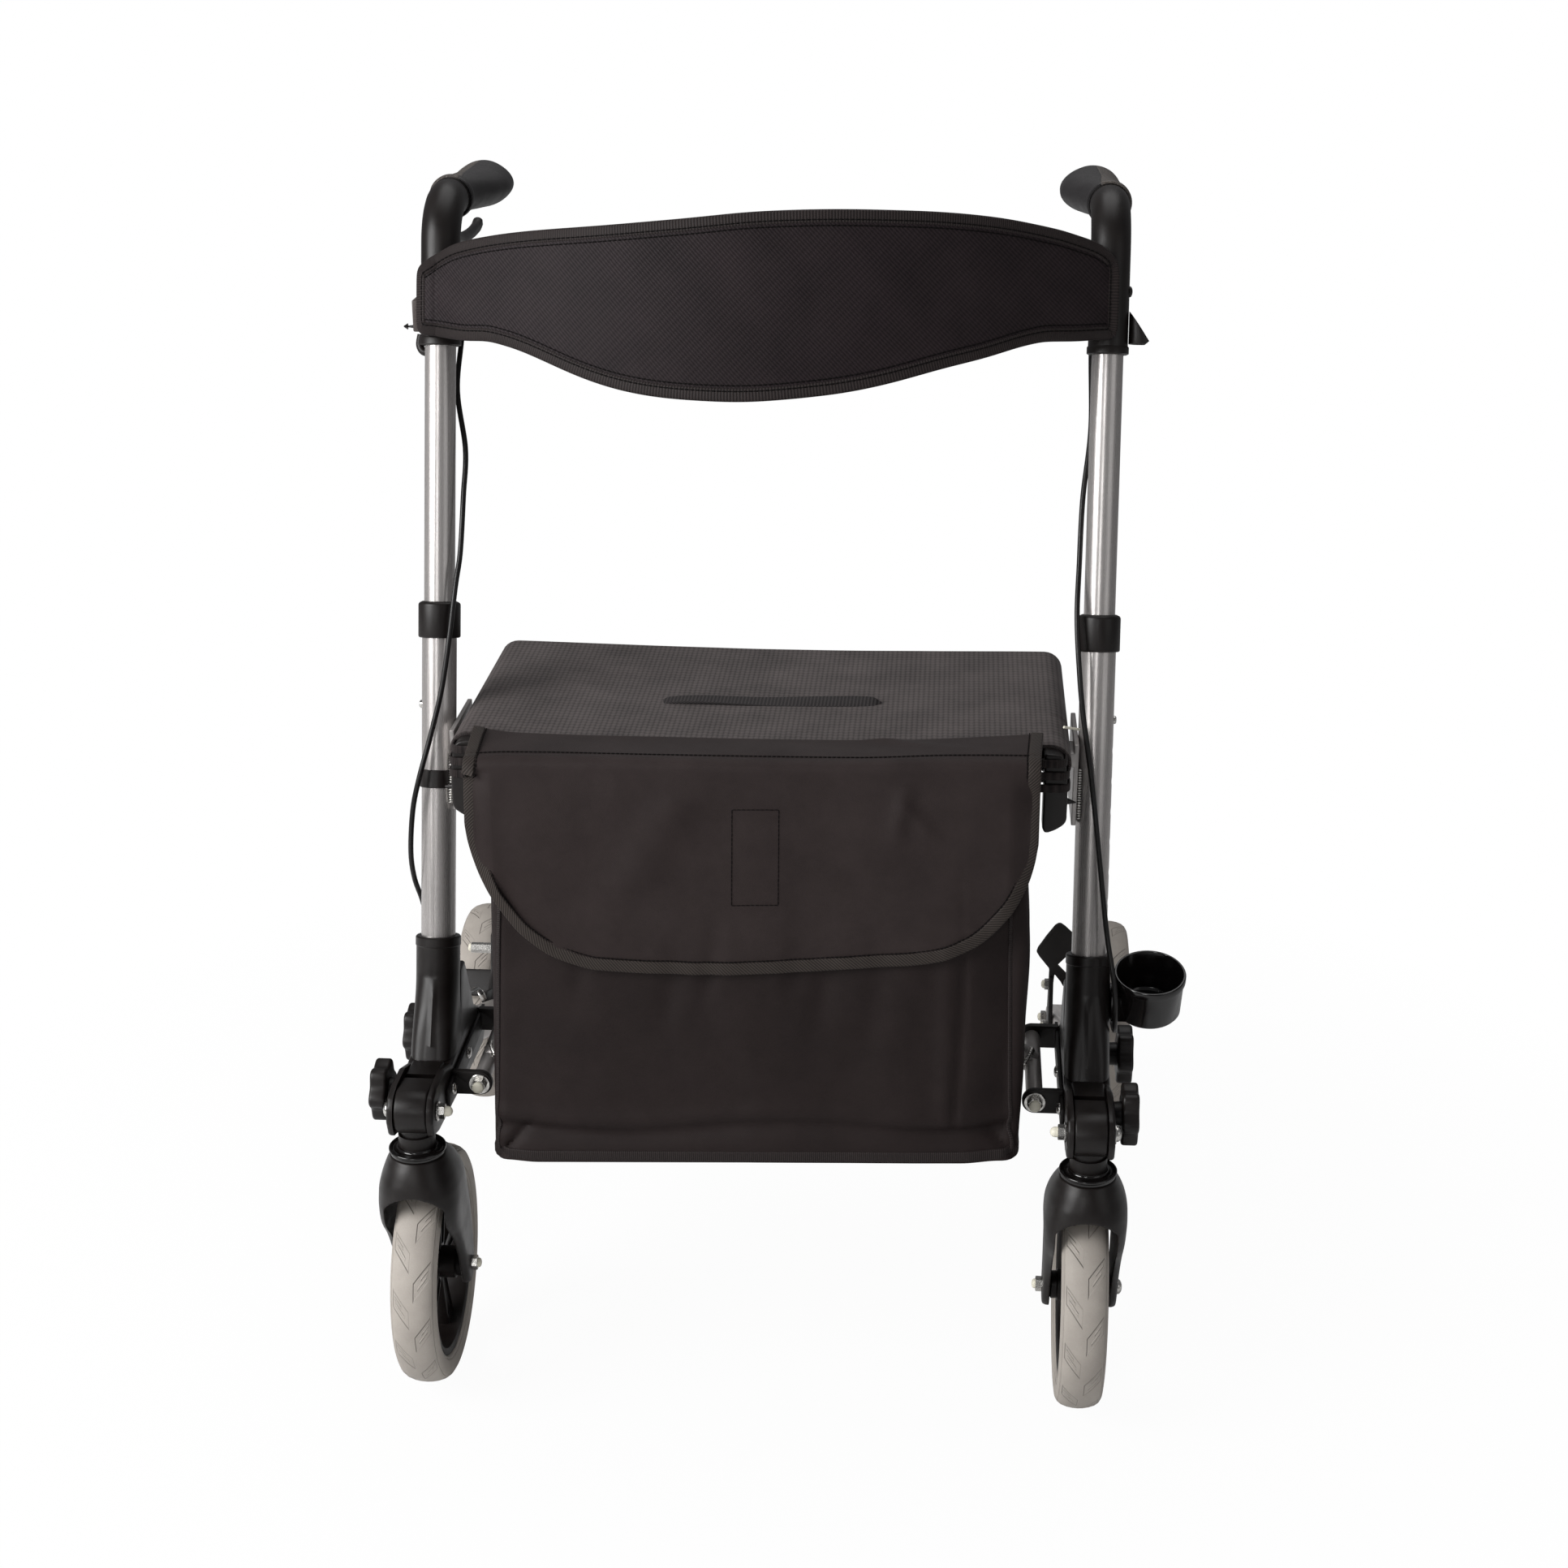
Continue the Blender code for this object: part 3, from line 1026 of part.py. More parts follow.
def backrest():
    """Fabric band between the handles, bowed forward and wrapped round the housings."""
    half = backrest_columns()
    columns = [(-x, back, low, high) for x, back, low, high in reversed(half[1:])] + half
    rows = 3
    work = bmesh.new()
    grid = []
    for x, back, low, high in columns:
        line = []
        for i in range(rows + 1):
            z = lerp(low, high, i / rows)
            line.append(work.verts.new((x, on_tube(z).y + back, z)))
        grid.append(line)
    for near, far in zip(grid, grid[1:]):
        for i in range(rows):
            work.faces.new((near[i], far[i], far[i + 1], near[i + 1]))
    bmesh.ops.recalc_face_normals(work, faces=work.faces)
    shape = from_bmesh(work)
    if shape.data.polygons[0].normal.y > 0.0:
        shape.data.flip_normals()
    solid = shape.modifiers.new("thickness", "SOLIDIFY")
    solid.thickness = BACKREST_THICKNESS
    solid.offset = -1.0
    return settled(shape)


def bag_ring(z, inset):
    """Outline of the bag at a height, drawn in by inset."""
    share = (z - BAG_BOTTOM_Z) / (BAG_TOP_Z - BAG_BOTTOM_Z)
    half = lerp(BAG_HALF_BOTTOM, BAG_HALF_TOP, share) - inset
    front = lerp(BAG_FRONT_BOTTOM_Y, BAG_FRONT_TOP_Y, share) + inset
    back = lerp(BAG_BACK_BOTTOM_Y, BAG_BACK_TOP_Y, share) - inset
    return [(-half, front, z), (half, front, z), (half, back, z), (-half, back, z)]


def bag():
    """Open-topped bag that hangs from the seat rails' front ends."""
    outer = loft([bag_ring(BAG_BOTTOM_Z, 0.0), bag_ring(BAG_TOP_Z, 0.0)])
    inner = loft([bag_ring(BAG_BOTTOM_Z + BAG_WALL, BAG_WALL), bag_ring(BAG_TOP_Z + 0.02, BAG_WALL)])
    shape = cut(outer, inner)
    tabs = []
    for side in (-1.0, 1.0):
        xs = sorted((side * (BAG_HALF_TOP - BAG_WALL * 0.5), side * (SEAT_RAIL_X + SEAT_RAIL_RADIUS * 0.7)))
        tabs.append(box(
            (xs[0], BAG_BACK_TOP_Y - BAG_TAB_Y, SEAT_RAIL_Z - SEAT_RAIL_RADIUS),
            (xs[1], SEAT_RAIL_FRONT_Y - FIT, SEAT_RAIL_Z + SEAT_RAIL_RADIUS * 0.8)))
    return join(shape, *tabs)


def bag_flap():
    """Flap over the bag's mouth, hanging down its front, with round lower corners."""
    under = BAG_TOP_Z + FIT
    slope = (BAG_FRONT_TOP_Y - BAG_FRONT_BOTTOM_Y) / (BAG_TOP_Z - BAG_BOTTOM_Z)
    fold_y = BAG_FRONT_TOP_Y - FLAP_FRONT_GAP
    foot_y = fold_y - slope * (BAG_TOP_Z - FLAP_BOTTOM_Z)
    profile = [
        (BAG_BACK_TOP_Y, under), (fold_y, under), (foot_y, FLAP_BOTTOM_Z),
        (foot_y - FLAP_THICKNESS, FLAP_BOTTOM_Z), (fold_y - FLAP_THICKNESS, under + FLAP_THICKNESS * 0.4),
        (fold_y, under + FLAP_THICKNESS), (BAG_BACK_TOP_Y, under + FLAP_THICKNESS),
    ]
    shape = plate(profile, "X", -FLAP_HALF, FLAP_HALF)
    corner_z = FLAP_BOTTOM_Z + FLAP_CORNER
    front = [(-FLAP_HALF, BAG_TOP_Z + 0.05), (-FLAP_HALF, corner_z)]
    front += arc((FLAP_CORNER - FLAP_HALF, corner_z), FLAP_CORNER, 195.0, 265.0, 6)
    front += arc((FLAP_HALF - FLAP_CORNER, corner_z), FLAP_CORNER, 275.0, 345.0, 6)
    front += [(FLAP_HALF, corner_z), (FLAP_HALF, BAG_TOP_Z + 0.05)]
    return overlap_of(shape, plate(front, "Y", -CUTTER_REACH, CUTTER_REACH))


def stick_cup():
    """Cup for a walking stick's foot, on an arm from the right moulding."""
    axis = Vector((0.0, -math.sin(CUP_TILT), math.cos(CUP_TILT)))
    base = Vector((CUP_X, CUP_Y, CUP_RIM_Z)) - axis * CUP_DEPTH
    profile = [
        (0.0, CUP_WALL), (CUP_BOTTOM_RADIUS - CUP_WALL, CUP_WALL), (CUP_RADIUS - CUP_WALL, CUP_DEPTH),
        (CUP_RADIUS, CUP_DEPTH), (CUP_RADIUS, CUP_DEPTH - 0.005), (CUP_RADIUS - 0.0008, CUP_DEPTH - 0.006),
        (CUP_BOTTOM_RADIUS, 0.002), (CUP_BOTTOM_RADIUS - 0.002, 0.0), (0.0, 0.0),
    ]
    cup = turned(profile, base, axis, FINE, closed=False)
    inner = TRACK_HALF + MOULDING_HALF + FIT
    arm = box((inner, CUP_ARM_Y[0], CUP_ARM_Z[0]), (CUP_X - CUP_RADIUS * 0.5, CUP_ARM_Y[1], CUP_ARM_Z[1]))
    inside = [
        (0.0, CUP_WALL), (CUP_BOTTOM_RADIUS - CUP_WALL, CUP_WALL), (CUP_RADIUS - CUP_WALL, CUP_DEPTH),
        (0.0, CUP_DEPTH),
    ]
    room = turned(inside, base, axis, FINE, closed=False)
    return join(cup, cut(arm, room))


def stick_clip():
    """Spring clip for the walking stick, on the right housing's outer side."""
    foot = on_tube(CLIP_Z - CLIP_HEIGHT / 2.0)
    top = on_tube(CLIP_Z + CLIP_HEIGHT / 2.0)
    out = Vector((TRACK_HALF + HOUSING_RADIUS + FIT + CLIP_RADIUS, 0.0, 0.0))
    along = top - foot
    inner = CLIP_RADIUS - CLIP_WALL
    profile = [(CLIP_RADIUS, along.length), (CLIP_RADIUS, 0.0), (inner, 0.0), (inner, along.length)]
    ring = turned(profile, foot + out, along, ROUND, closed=True)
    mouth_x = out.x + CLIP_RADIUS * 0.45
    mouth = box((mouth_x, 0.0, 0.80), (mouth_x + 0.05, 0.5, 0.95))
    slant = [
        (out.x - CLIP_RADIUS * 0.7, 0.90), (out.x + 0.05, 0.90), (out.x + 0.05, CLIP_Z - 0.01),
        (out.x + CLIP_RADIUS * 1.1, CLIP_Z - CLIP_HEIGHT * 0.25),
    ]
    return cut(ring, mouth, plate(slant, "Y", 0.0, 0.5))


# Assembly

class Rollator:
    """Collects the finished nodes under the empties that their joints turn about."""

    def __init__(self):
        self.parts = bpy.data.collections.new("four_wheel_rollator")
        bpy.context.scene.collection.children.link(self.parts)
        self.places = {}
        self.empties = {}

    def pivot(self, name, parent, place):
        """Add an empty at a joint."""
        empty = bpy.data.objects.new(name, None)
        empty.empty_display_size = 0.02
        self.parts.objects.link(empty)
        place = Vector(place)
        if parent is None:
            empty.location = (-ORIGIN_X, -ORIGIN_Y, 0.0)
        else:
            empty.parent = self.empties[parent]
            empty.location = place - self.places[parent]
        self.places[name] = place
        self.empties[name] = empty

    def add(self, name, shape, body, finish):
        """Name a shape as a node, put it under its body's empty and give it its material."""
        colour, roughness, metallic = finish
        mesh = shape.data
        mesh.transform(Matrix.Translation(-self.places[body]))
        mesh.name = name
        shape.name = name
        for home in list(shape.users_collection):
            home.objects.unlink(shape)
        self.parts.objects.link(shape)
        shape.parent = self.empties[body]
        mesh.shade_smooth()
        mesh.set_sharp_from_angle(angle=math.radians(35.0))
        material = bpy.data.materials.new(name)
        material.use_nodes = True
        shader = material.node_tree.nodes["Principled BSDF"]
        shader.inputs["Base Color"].default_value = (*colour, 1.0)
        shader.inputs["Roughness"].default_value = roughness
        shader.inputs["Metallic"].default_value = metallic
        mesh.materials.clear()
        mesh.materials.append(material)

    def add_pair(self, stem, build, body, finish):
        """Add a piece to both sides, built once for each on the side frame."""
        for side, sign in (("left", -1.0), ("right", 1.0)):
            shape = moved(build(), (TRACK_HALF, 0.0, 0.0))
            if sign < 0.0:
                shape.data.transform(Matrix.Diagonal((-1.0, 1.0, 1.0, 1.0)))
                shape.data.flip_normals()
            self.add(f"{side}_{stem}", shape, f"{side}_{body}", finish)


def add_pivots(model):
    """Place every joint's empty, each under the body that carries it."""
    top = on_tube(BUTTON_Z)
    cross = crossing()
    model.pivot("left_side", None, (0.0, 0.0, 0.0))
    model.pivot("brace_a", "left_side", (-BRACE_PIVOT_X, DIAGONAL_Y, BRACE_PIVOT_Z))
    model.pivot("brace_b", "brace_a", cross)
    model.pivot("right_side", "brace_b", (BRACE_PIVOT_X, DIAGONAL_Y, BRACE_PIVOT_Z))
    model.pivot("flap", "left_side", (0.0, BAG_BACK_TOP_Y, BAG_TOP_Z + FIT + FLAP_THICKNESS))
    for side, sign in (("left", -1.0), ("right", 1.0)):
        x = sign * TRACK_HALF
        frame = f"{side}_side"
        model.pivot(f"{side}_handle", frame, (x, top.y, top.z))
        model.pivot(f"{side}_button", f"{side}_handle", (x, top.y, top.z))
        model.pivot(f"{side}_lever", f"{side}_handle", (x, LEVER_PIVOT_Y, LEVER_PIVOT_Z))
        model.pivot(f"{side}_caster", frame, (x, HINGE_Y, HINGE_Z))
        model.pivot(f"{side}_fork", f"{side}_caster", (x, 0.0, CROWN_TOP_Z))
        model.pivot(f"{side}_front_wheel", f"{side}_fork", (x, FRONT_AXLE_Y, WHEEL_RADIUS))
        model.pivot(f"{side}_rear_wheel", frame, (sign * REAR_WHEEL_X, REAR_AXLE_Y, WHEEL_RADIUS))
        model.pivot(f"{side}_front_knob", frame, (x, FRONT_KNOB_Y, FRONT_KNOB_Z))
        model.pivot(f"{side}_rear_knob", frame, (x, REAR_KNOB_Y, REAR_KNOB_Z))
        model.pivot(f"{side}_brake", frame, (x, ARM_PIVOT_Y, ARM_PIVOT_Z))


def add_sides(model):
    """Build both side frames with their wheels, handles and brakes."""
    model.add_pair("main_tube", main_tube, "side", SILVER)
    model.add_pair("height_tube", height_tube, "handle", SILVER)
    model.add_pair("tube_collar", tube_collar, "side", BLACK_PLASTIC)
    model.add_pair("snap_button", snap_button, "button", STEEL)
    model.add_pair("frame_moulding", frame_moulding, "side", BLACK_PLASTIC)
    model.add_pair("caster_block", caster_block, "caster", BLACK_PLASTIC)
    model.add_pair("caster_fork", caster_fork, "fork", SATIN_PLASTIC)
    model.add_pair("front_axle", front_axle, "fork", STEEL)
    model.add_pair("front_tyre", lambda: tyre(FRONT_AXLE_Y), "front_wheel", TYRE_GREY)
    model.add_pair(
        "front_rim", lambda: rim(FRONT_AXLE_Y, FORK_GAP_HALF - RUNNING_FIT), "front_wheel", SATIN_PLASTIC)
    model.add_pair("rear_leg", rear_leg, "side", SILVER)
    model.add_pair("rear_axle", rear_axle, "side", STEEL)
    model.add_pair(
        "rear_tyre", lambda: moved(tyre(REAR_AXLE_Y), (REAR_WHEEL_U, 0.0, 0.0)), "rear_wheel", TYRE_GREY)
    model.add_pair(
        "rear_rim", lambda: moved(rim(REAR_AXLE_Y, REAR_HUB_HALF), (REAR_WHEEL_U, 0.0, 0.0)), "rear_wheel",
        SATIN_PLASTIC)
    model.add_pair("hinge_bolt", hinge_bolt, "side", STEEL)
    model.add_pair(
        "front_lock_knob", lambda: lock_knob(FRONT_KNOB_Y, FRONT_KNOB_Z, FRONT_KNOB_FACE), "front_knob",
        BLACK_PLASTIC)
    model.add_pair(
        "rear_lock_knob", lambda: lock_knob(REAR_KNOB_Y, REAR_KNOB_Z, REAR_KNOB_FACE), "rear_knob",
        BLACK_PLASTIC)
    model.add_pair("brake_arm", brake_arm, "brake", BLACK_PLASTIC)
    model.add_pair("tip_pedal", tip_pedal, "side", BLACK_PLASTIC)
    model.add_pair("brace_bracket", brace_bracket, "side", BLACK_PLASTIC)
    model.add_pair("seat_cradle", seat_cradle, "side", SILVER)
    model.add_pair("handle_housing", handle_housing, "handle", BLACK_PLASTIC)
    model.add_pair("grip", grip, "handle", SATIN_PLASTIC)
    model.add_pair("brake_lever", brake_lever, "lever", BLACK_PLASTIC)
    right = moved(brake_cable(RIGHT_CABLE_ROUTE), (TRACK_HALF, 0.0, 0.0))
    model.add("right_brake_cable", right, "right_side", CABLE_BLACK)
    left = moved(brake_cable(LEFT_CABLE_ROUTE), (TRACK_HALF, 0.0, 0.0))
    left.data.transform(Matrix.Diagonal((-1.0, 1.0, 1.0, 1.0)))
    left.data.flip_normals()
    model.add("left_brake_cable", left, "left_side", CABLE_BLACK)


def add_middle(model):
    """Build the folding cross, the soft goods and the stick holder."""
    model.add("x_brace_a", x_brace(-1.0, -DIAGONAL_OFFSET), "brace_a", SILVER)
    model.add("x_brace_b", x_brace(1.0, DIAGONAL_OFFSET), "brace_b", SILVER)
    model.add("brace_pivot_bolt", brace_pivot_bolt(), "brace_a", STEEL)
    model.add("seat_sling", seat_sling(), "left_side", MESH_CLOTH)
    model.add("seat_pull_strap", seat_pull_strap(), "left_side", CLOTH)
    model.add("backrest", backrest(), "left_handle", CLOTH)
    model.add("bag", bag(), "left_side", CLOTH)
    model.add("bag_flap", bag_flap(), "flap", CLOTH)
    model.add("stick_cup", stick_cup(), "right_side", GLOSS_PLASTIC)
    model.add("stick_clip", stick_clip(), "right_handle", BLACK_PLASTIC)


def main():
    """Build the rollator."""
    clear_scene()
    model = Rollator()
    add_pivots(model)
    add_sides(model)
    add_middle(model)


main()
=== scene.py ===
"""Looks of the four-wheel rollator: finer pieces, finishes, cloth, camera and studio round the frame."""

import logging
import math
from contextlib import contextmanager
from dataclasses import dataclass, field
from enum import Enum
from typing import Callable, Iterator, Sequence

import bpy
import numpy as np
from mathutils import Matrix, Vector, noise


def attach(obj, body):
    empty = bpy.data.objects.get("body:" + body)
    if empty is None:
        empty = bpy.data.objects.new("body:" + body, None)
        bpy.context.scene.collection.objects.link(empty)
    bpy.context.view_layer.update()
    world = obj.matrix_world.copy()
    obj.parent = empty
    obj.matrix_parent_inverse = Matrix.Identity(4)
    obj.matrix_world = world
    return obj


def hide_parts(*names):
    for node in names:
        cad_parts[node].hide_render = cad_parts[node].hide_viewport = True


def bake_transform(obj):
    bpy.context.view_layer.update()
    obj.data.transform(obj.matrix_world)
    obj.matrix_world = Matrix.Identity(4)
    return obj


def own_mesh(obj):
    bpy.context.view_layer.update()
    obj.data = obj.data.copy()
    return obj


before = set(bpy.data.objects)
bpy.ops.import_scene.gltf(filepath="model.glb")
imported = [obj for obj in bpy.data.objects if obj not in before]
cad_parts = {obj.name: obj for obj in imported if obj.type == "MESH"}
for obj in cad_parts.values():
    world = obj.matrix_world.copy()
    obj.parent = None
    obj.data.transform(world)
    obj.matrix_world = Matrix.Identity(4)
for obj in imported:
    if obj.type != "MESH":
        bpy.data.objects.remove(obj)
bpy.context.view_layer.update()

logging.basicConfig(level=logging.INFO, format="%(message)s")
log = logging.getLogger("rollator")

Point = Sequence[float]

# Sizes shared by several pieces, in metres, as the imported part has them
ORIGIN = Vector((0.00715, 0.2925, 0.0))
CENTRE = (0.0, 0.0, 0.0)
OUT = (1.0, 0.0, 0.0)
IN = (-1.0, 0.0, 0.0)
BACK = (0.0, 1.0, 0.0)
FRONT = (0.0, -1.0, 0.0)
UP = (0.0, 0.0, 1.0)
TRACK = 0.2715
LEAN = math.radians(15.0)
TUBE_FOOT = (0.0875, 0.25)
FIT = 0.0003
MAIN_RADIUS = 0.0143
HEIGHT_RADIUS = 0.0127
WHEEL_RADIUS = 0.1
FRONT_AXLE_Y = 0.041
REAR_AXLE_Y = 0.544
REAR_WHEEL_U = 0.0465
HINGE = (-0.0054, 0.2692)
SEAT_RAIL = (0.2335, 0.5415)
BRACE_PIVOT = (0.2293, 0.263)
CROWN_TOP_Z = 0.2285


def on_tube(z: float, back: float = 0.0, u: float = 0.0) -> Vector:
    """Point on the tubes' axis at a height, moved back across the tube and outward."""
    y = TUBE_FOOT[0] + (z - TUBE_FOOT[1]) * math.tan(LEAN)
    return Vector((u, y + back * math.cos(LEAN), z - back * math.sin(LEAN)))


def tube_way() -> Vector:
    """Unit vector up along the tubes."""
    return Vector((0.0, math.sin(LEAN), math.cos(LEAN)))


def lerp(a: float, b: float, share: float) -> float:
    """Value at a share of the way from a to b."""
    return a + (b - a) * share


def ease(share: float) -> float:
    """Smooth step from 0 to 1."""
    share = min(max(share, 0.0), 1.0)
    return share * share * (3.0 - 2.0 * share)


def slope_at(table: Sequence[Sequence[float]], index: int, column: int) -> float:
    """Slope of a table's column at a row, flat where the column turns back."""
    rises = [
        (far[column] - near[column]) / (far[0] - near[0])
        for near, far in zip(table[max(index - 1, 0):index + 1], table[max(index - 1, 0) + 1:index + 2])
    ]
    if len(rises) == 1:
        return rises[0]
    before, after = rises
    return 2.0 * before * after / (before + after) if before * after > 0.0 else 0.0


def along(table: Sequence[Sequence[float]], x: float) -> tuple[float, ...]:
    """Row of a table at x, on a smooth curve through its rows; the first column is x."""
    if x <= table[0][0]:
        return tuple(table[0][1:])
    if x >= table[-1][0]:
        return tuple(table[-1][1:])
    index = next(i for i, row in enumerate(table) if x <= row[0]) - 1
    near, far = table[index], table[index + 1]
    step = far[0] - near[0]
    share = (x - near[0]) / step
    rest = 1.0 - share
    return tuple(
        near[k] * (1.0 + 2.0 * share) * rest ** 2 + far[k] * share ** 2 * (3.0 - 2.0 * share)
        + step * (
            slope_at(table, index, k) * share * rest ** 2
            - slope_at(table, index + 1, k) * share ** 2 * rest)
        for k in range(1, len(near)))


def ease_linear(share: float) -> float:
    """Step from 0 to 1 that is half straight and half smooth."""
    return 0.5 * share + 0.5 * ease(share)


def arc(centre: Point, radius: float, start: float, end: float, count: int) -> list[tuple[float, float]]:
    """Points on an arc, angles in degrees from the first axis towards the second."""
    angles = [math.radians(lerp(start, end, i / (count - 1))) for i in range(count)]
    return [(centre[0] + radius * math.cos(a), centre[1] + radius * math.sin(a)) for a in angles]


def squircle(turn: float, half_a: float, half_b: float, power: float) -> tuple[float, float]:
    """Point at an angle on an oval, squarer with a higher power."""
    a, b = math.cos(turn), math.sin(turn)
    first = half_a * math.copysign(abs(a) ** (2.0 / power), a)
    second = half_b * math.copysign(abs(b) ** (2.0 / power), b)
    return first, second


def stand(place: Point, way: Point) -> Matrix:
    """Matrix that stands a piece on a place, with its own up turned along a way."""
    return Matrix.Translation(Vector(place)) @ Vector(way).to_track_quat("Z", "Y").to_matrix().to_4x4()


def smooth_route(points: Sequence[Point], count: int) -> list[Vector]:
    """Evenly spaced points on a smooth curve through the given ones."""
    given = [Vector(p) for p in points]
    padded = [2.0 * given[0] - given[1], *given, 2.0 * given[-1] - given[-2]]
    fine: list[Vector] = []
    for a, b, c, d in zip(padded, padded[1:], padded[2:], padded[3:]):
        for step in range(24):
            t = step / 24.0
            fine.append(0.5 * (
                2.0 * b + (c - a) * t + (2.0 * a - 5.0 * b + 4.0 * c - d) * t ** 2
                + (3.0 * b - a - 3.0 * c + d) * t ** 3))
    fine.append(given[-1])
    steps = np.array([(b - a).length for a, b in zip(fine, fine[1:])])
    run = np.concatenate([[0.0], np.cumsum(steps)])
    targets = np.linspace(0.0, run[-1], count)
    axes = [np.interp(targets, run, [p[k] for p in fine]) for k in range(3)]
    return [Vector(row) for row in zip(*axes)]


def rounded(half_a: float, half_b: float, radius: float, count: int = 6) -> list[tuple[float, float]]:
    """Outline of a rectangle with round corners about the origin."""
    outline: list[tuple[float, float]] = []
    for quarter, (sa, sb) in enumerate(((1, 1), (-1, 1), (-1, -1), (1, -1))):
        centre = (sa * (half_a - radius), sb * (half_b - radius))
        outline += arc(centre, radius, 90.0 * quarter, 90.0 * quarter + 90.0, count)
    return outline


# Modelling

class Bench:
    """Modelling steps as they are done by hand: add a primitive, shape it in edit mode, apply modifiers."""

    def hold(self, piece: bpy.types.Object, *others: bpy.types.Object) -> bpy.types.Object:
        """Select these objects alone, with the first one active."""
        bpy.ops.object.select_all(action="DESELECT")
        for each in (piece, *others):
            each.select_set(True)
        bpy.context.view_layer.objects.active = piece
        return piece

    @contextmanager
    def editing(self, piece: bpy.types.Object) -> Iterator[None]:
        """Edit mode on a piece, with everything in it selected."""
        self.hold(piece)
        bpy.ops.object.mode_set(mode="EDIT")
        bpy.ops.mesh.select_all(action="SELECT")
        yield
        bpy.ops.object.mode_set(mode="OBJECT")

    def tidy(self, piece: bpy.types.Object) -> bpy.types.Object:
        """Merge doubles and turn the faces outward."""
        with self.editing(piece):
            bpy.ops.mesh.remove_doubles(threshold=0.000002)
            bpy.ops.mesh.normals_make_consistent(inside=False)
        return piece

    def ring(self, points: Sequence[Point], closed: bool = True) -> bpy.types.Object:
        """Run of edges through points, from a circle primitive."""
        bpy.ops.object.select_all(action="DESELECT")
        bpy.ops.mesh.primitive_circle_add(vertices=len(points), radius=1.0, fill_type="NOTHING")
        piece = bpy.context.object
        piece.data.vertices.foreach_set("co", np.array(points, float).ravel())
        if not closed:
            ends = {0, len(points) - 1}
            with self.editing(piece):
                bpy.ops.mesh.select_all(action="DESELECT")
                bpy.ops.mesh.select_mode(type="EDGE")
                bpy.ops.object.mode_set(mode="OBJECT")
                for edge in piece.data.edges:
                    edge.select = set(edge.vertices) == ends
                bpy.ops.object.mode_set(mode="EDIT")
                bpy.ops.mesh.delete(type="EDGE_FACE")
                bpy.ops.mesh.select_mode(type="VERT")
        return piece

    def turned(
            self, profile: Sequence[Point], place: Point, way: Point, steps: int = 48,
            closed: bool = True) -> bpy.types.Object:
        """Spin a profile about an axis.

        Args:
            profile: (radius, height) points.
            place: Foot of the axis.
            way: Direction of the axis.
            steps: Segments in a full turn.
            closed: Whether the profile is a loop; otherwise it starts and ends on the axis.

        Returns:
            The turned piece.
        """
        piece = self.ring([(radius, 0.0, height) for radius, height in profile], closed)
        with self.editing(piece):
            bpy.ops.mesh.spin(steps=steps, angle=math.tau, center=CENTRE, axis=UP)
        self.tidy(piece)
        piece.data.transform(stand(place, way))
        return piece

    def slab(self, outline: Sequence[Point], axis: str, low: float, high: float) -> bpy.types.Object:
        """Extrude a flat outline along an axis: (y, z) along X, (x, z) along Y or (x, y) along Z."""
        order = {
            "X": lambda a, b: (low, a, b),
            "Y": lambda a, b: (a, low, b),
            "Z": lambda a, b: (a, b, low),
        }[axis]
        piece = self.ring([order(a, b) for a, b in outline])
        shift = Vector((axis == "X", axis == "Y", axis == "Z")) * (high - low)
        with self.editing(piece):
            bpy.ops.mesh.edge_face_add()
            bpy.ops.mesh.extrude_region_move(TRANSFORM_OT_translate={"value": shift})
        return self.tidy(piece)

    def block(self, low: Point, high: Point) -> bpy.types.Object:
        """Block between two corners."""
        low, high = Vector(low), Vector(high)
        bpy.ops.object.select_all(action="DESELECT")
        bpy.ops.mesh.primitive_cube_add(size=1.0, location=(low + high) / 2.0, scale=high - low)
        bpy.ops.object.transform_apply(location=True, rotation=True, scale=True)
        return bpy.context.object

    def rod(
            self, start: Point, end: Point, radius: float, sides: int = 32,
            end_radius: float | None = None) -> bpy.types.Object:
        """Round bar or cone between two points."""
        start, end = Vector(start), Vector(end)
        turn = (end - start).to_track_quat("Z", "Y").to_euler()
        bpy.ops.object.select_all(action="DESELECT")
        bpy.ops.mesh.primitive_cone_add(
            vertices=sides, radius1=radius, radius2=radius if end_radius is None else end_radius,
            depth=(end - start).length, location=(start + end) / 2.0, rotation=turn)
        bpy.ops.object.transform_apply(location=True, rotation=True, scale=True)
        return bpy.context.object

    def bar(self, points: Sequence[Point], radius: float, roundness: int = 5) -> bpy.types.Object:
        """Round bar along a run of points."""
        bpy.ops.object.select_all(action="DESELECT")
        bpy.ops.curve.primitive_bezier_curve_add()
        piece = bpy.context.object
        curve = piece.data
        curve.splines.clear()
        spline = curve.splines.new("POLY")
        spline.points.add(len(points) - 1)
        for point, place in zip(spline.points, points):
            point.co = (*place, 1.0)
        curve.bevel_depth = radius
        curve.bevel_resolution = roundness
        curve.use_fill_caps = True
        self.hold(piece)
        bpy.ops.object.convert(target="MESH")
        return self.tidy(bpy.context.object)

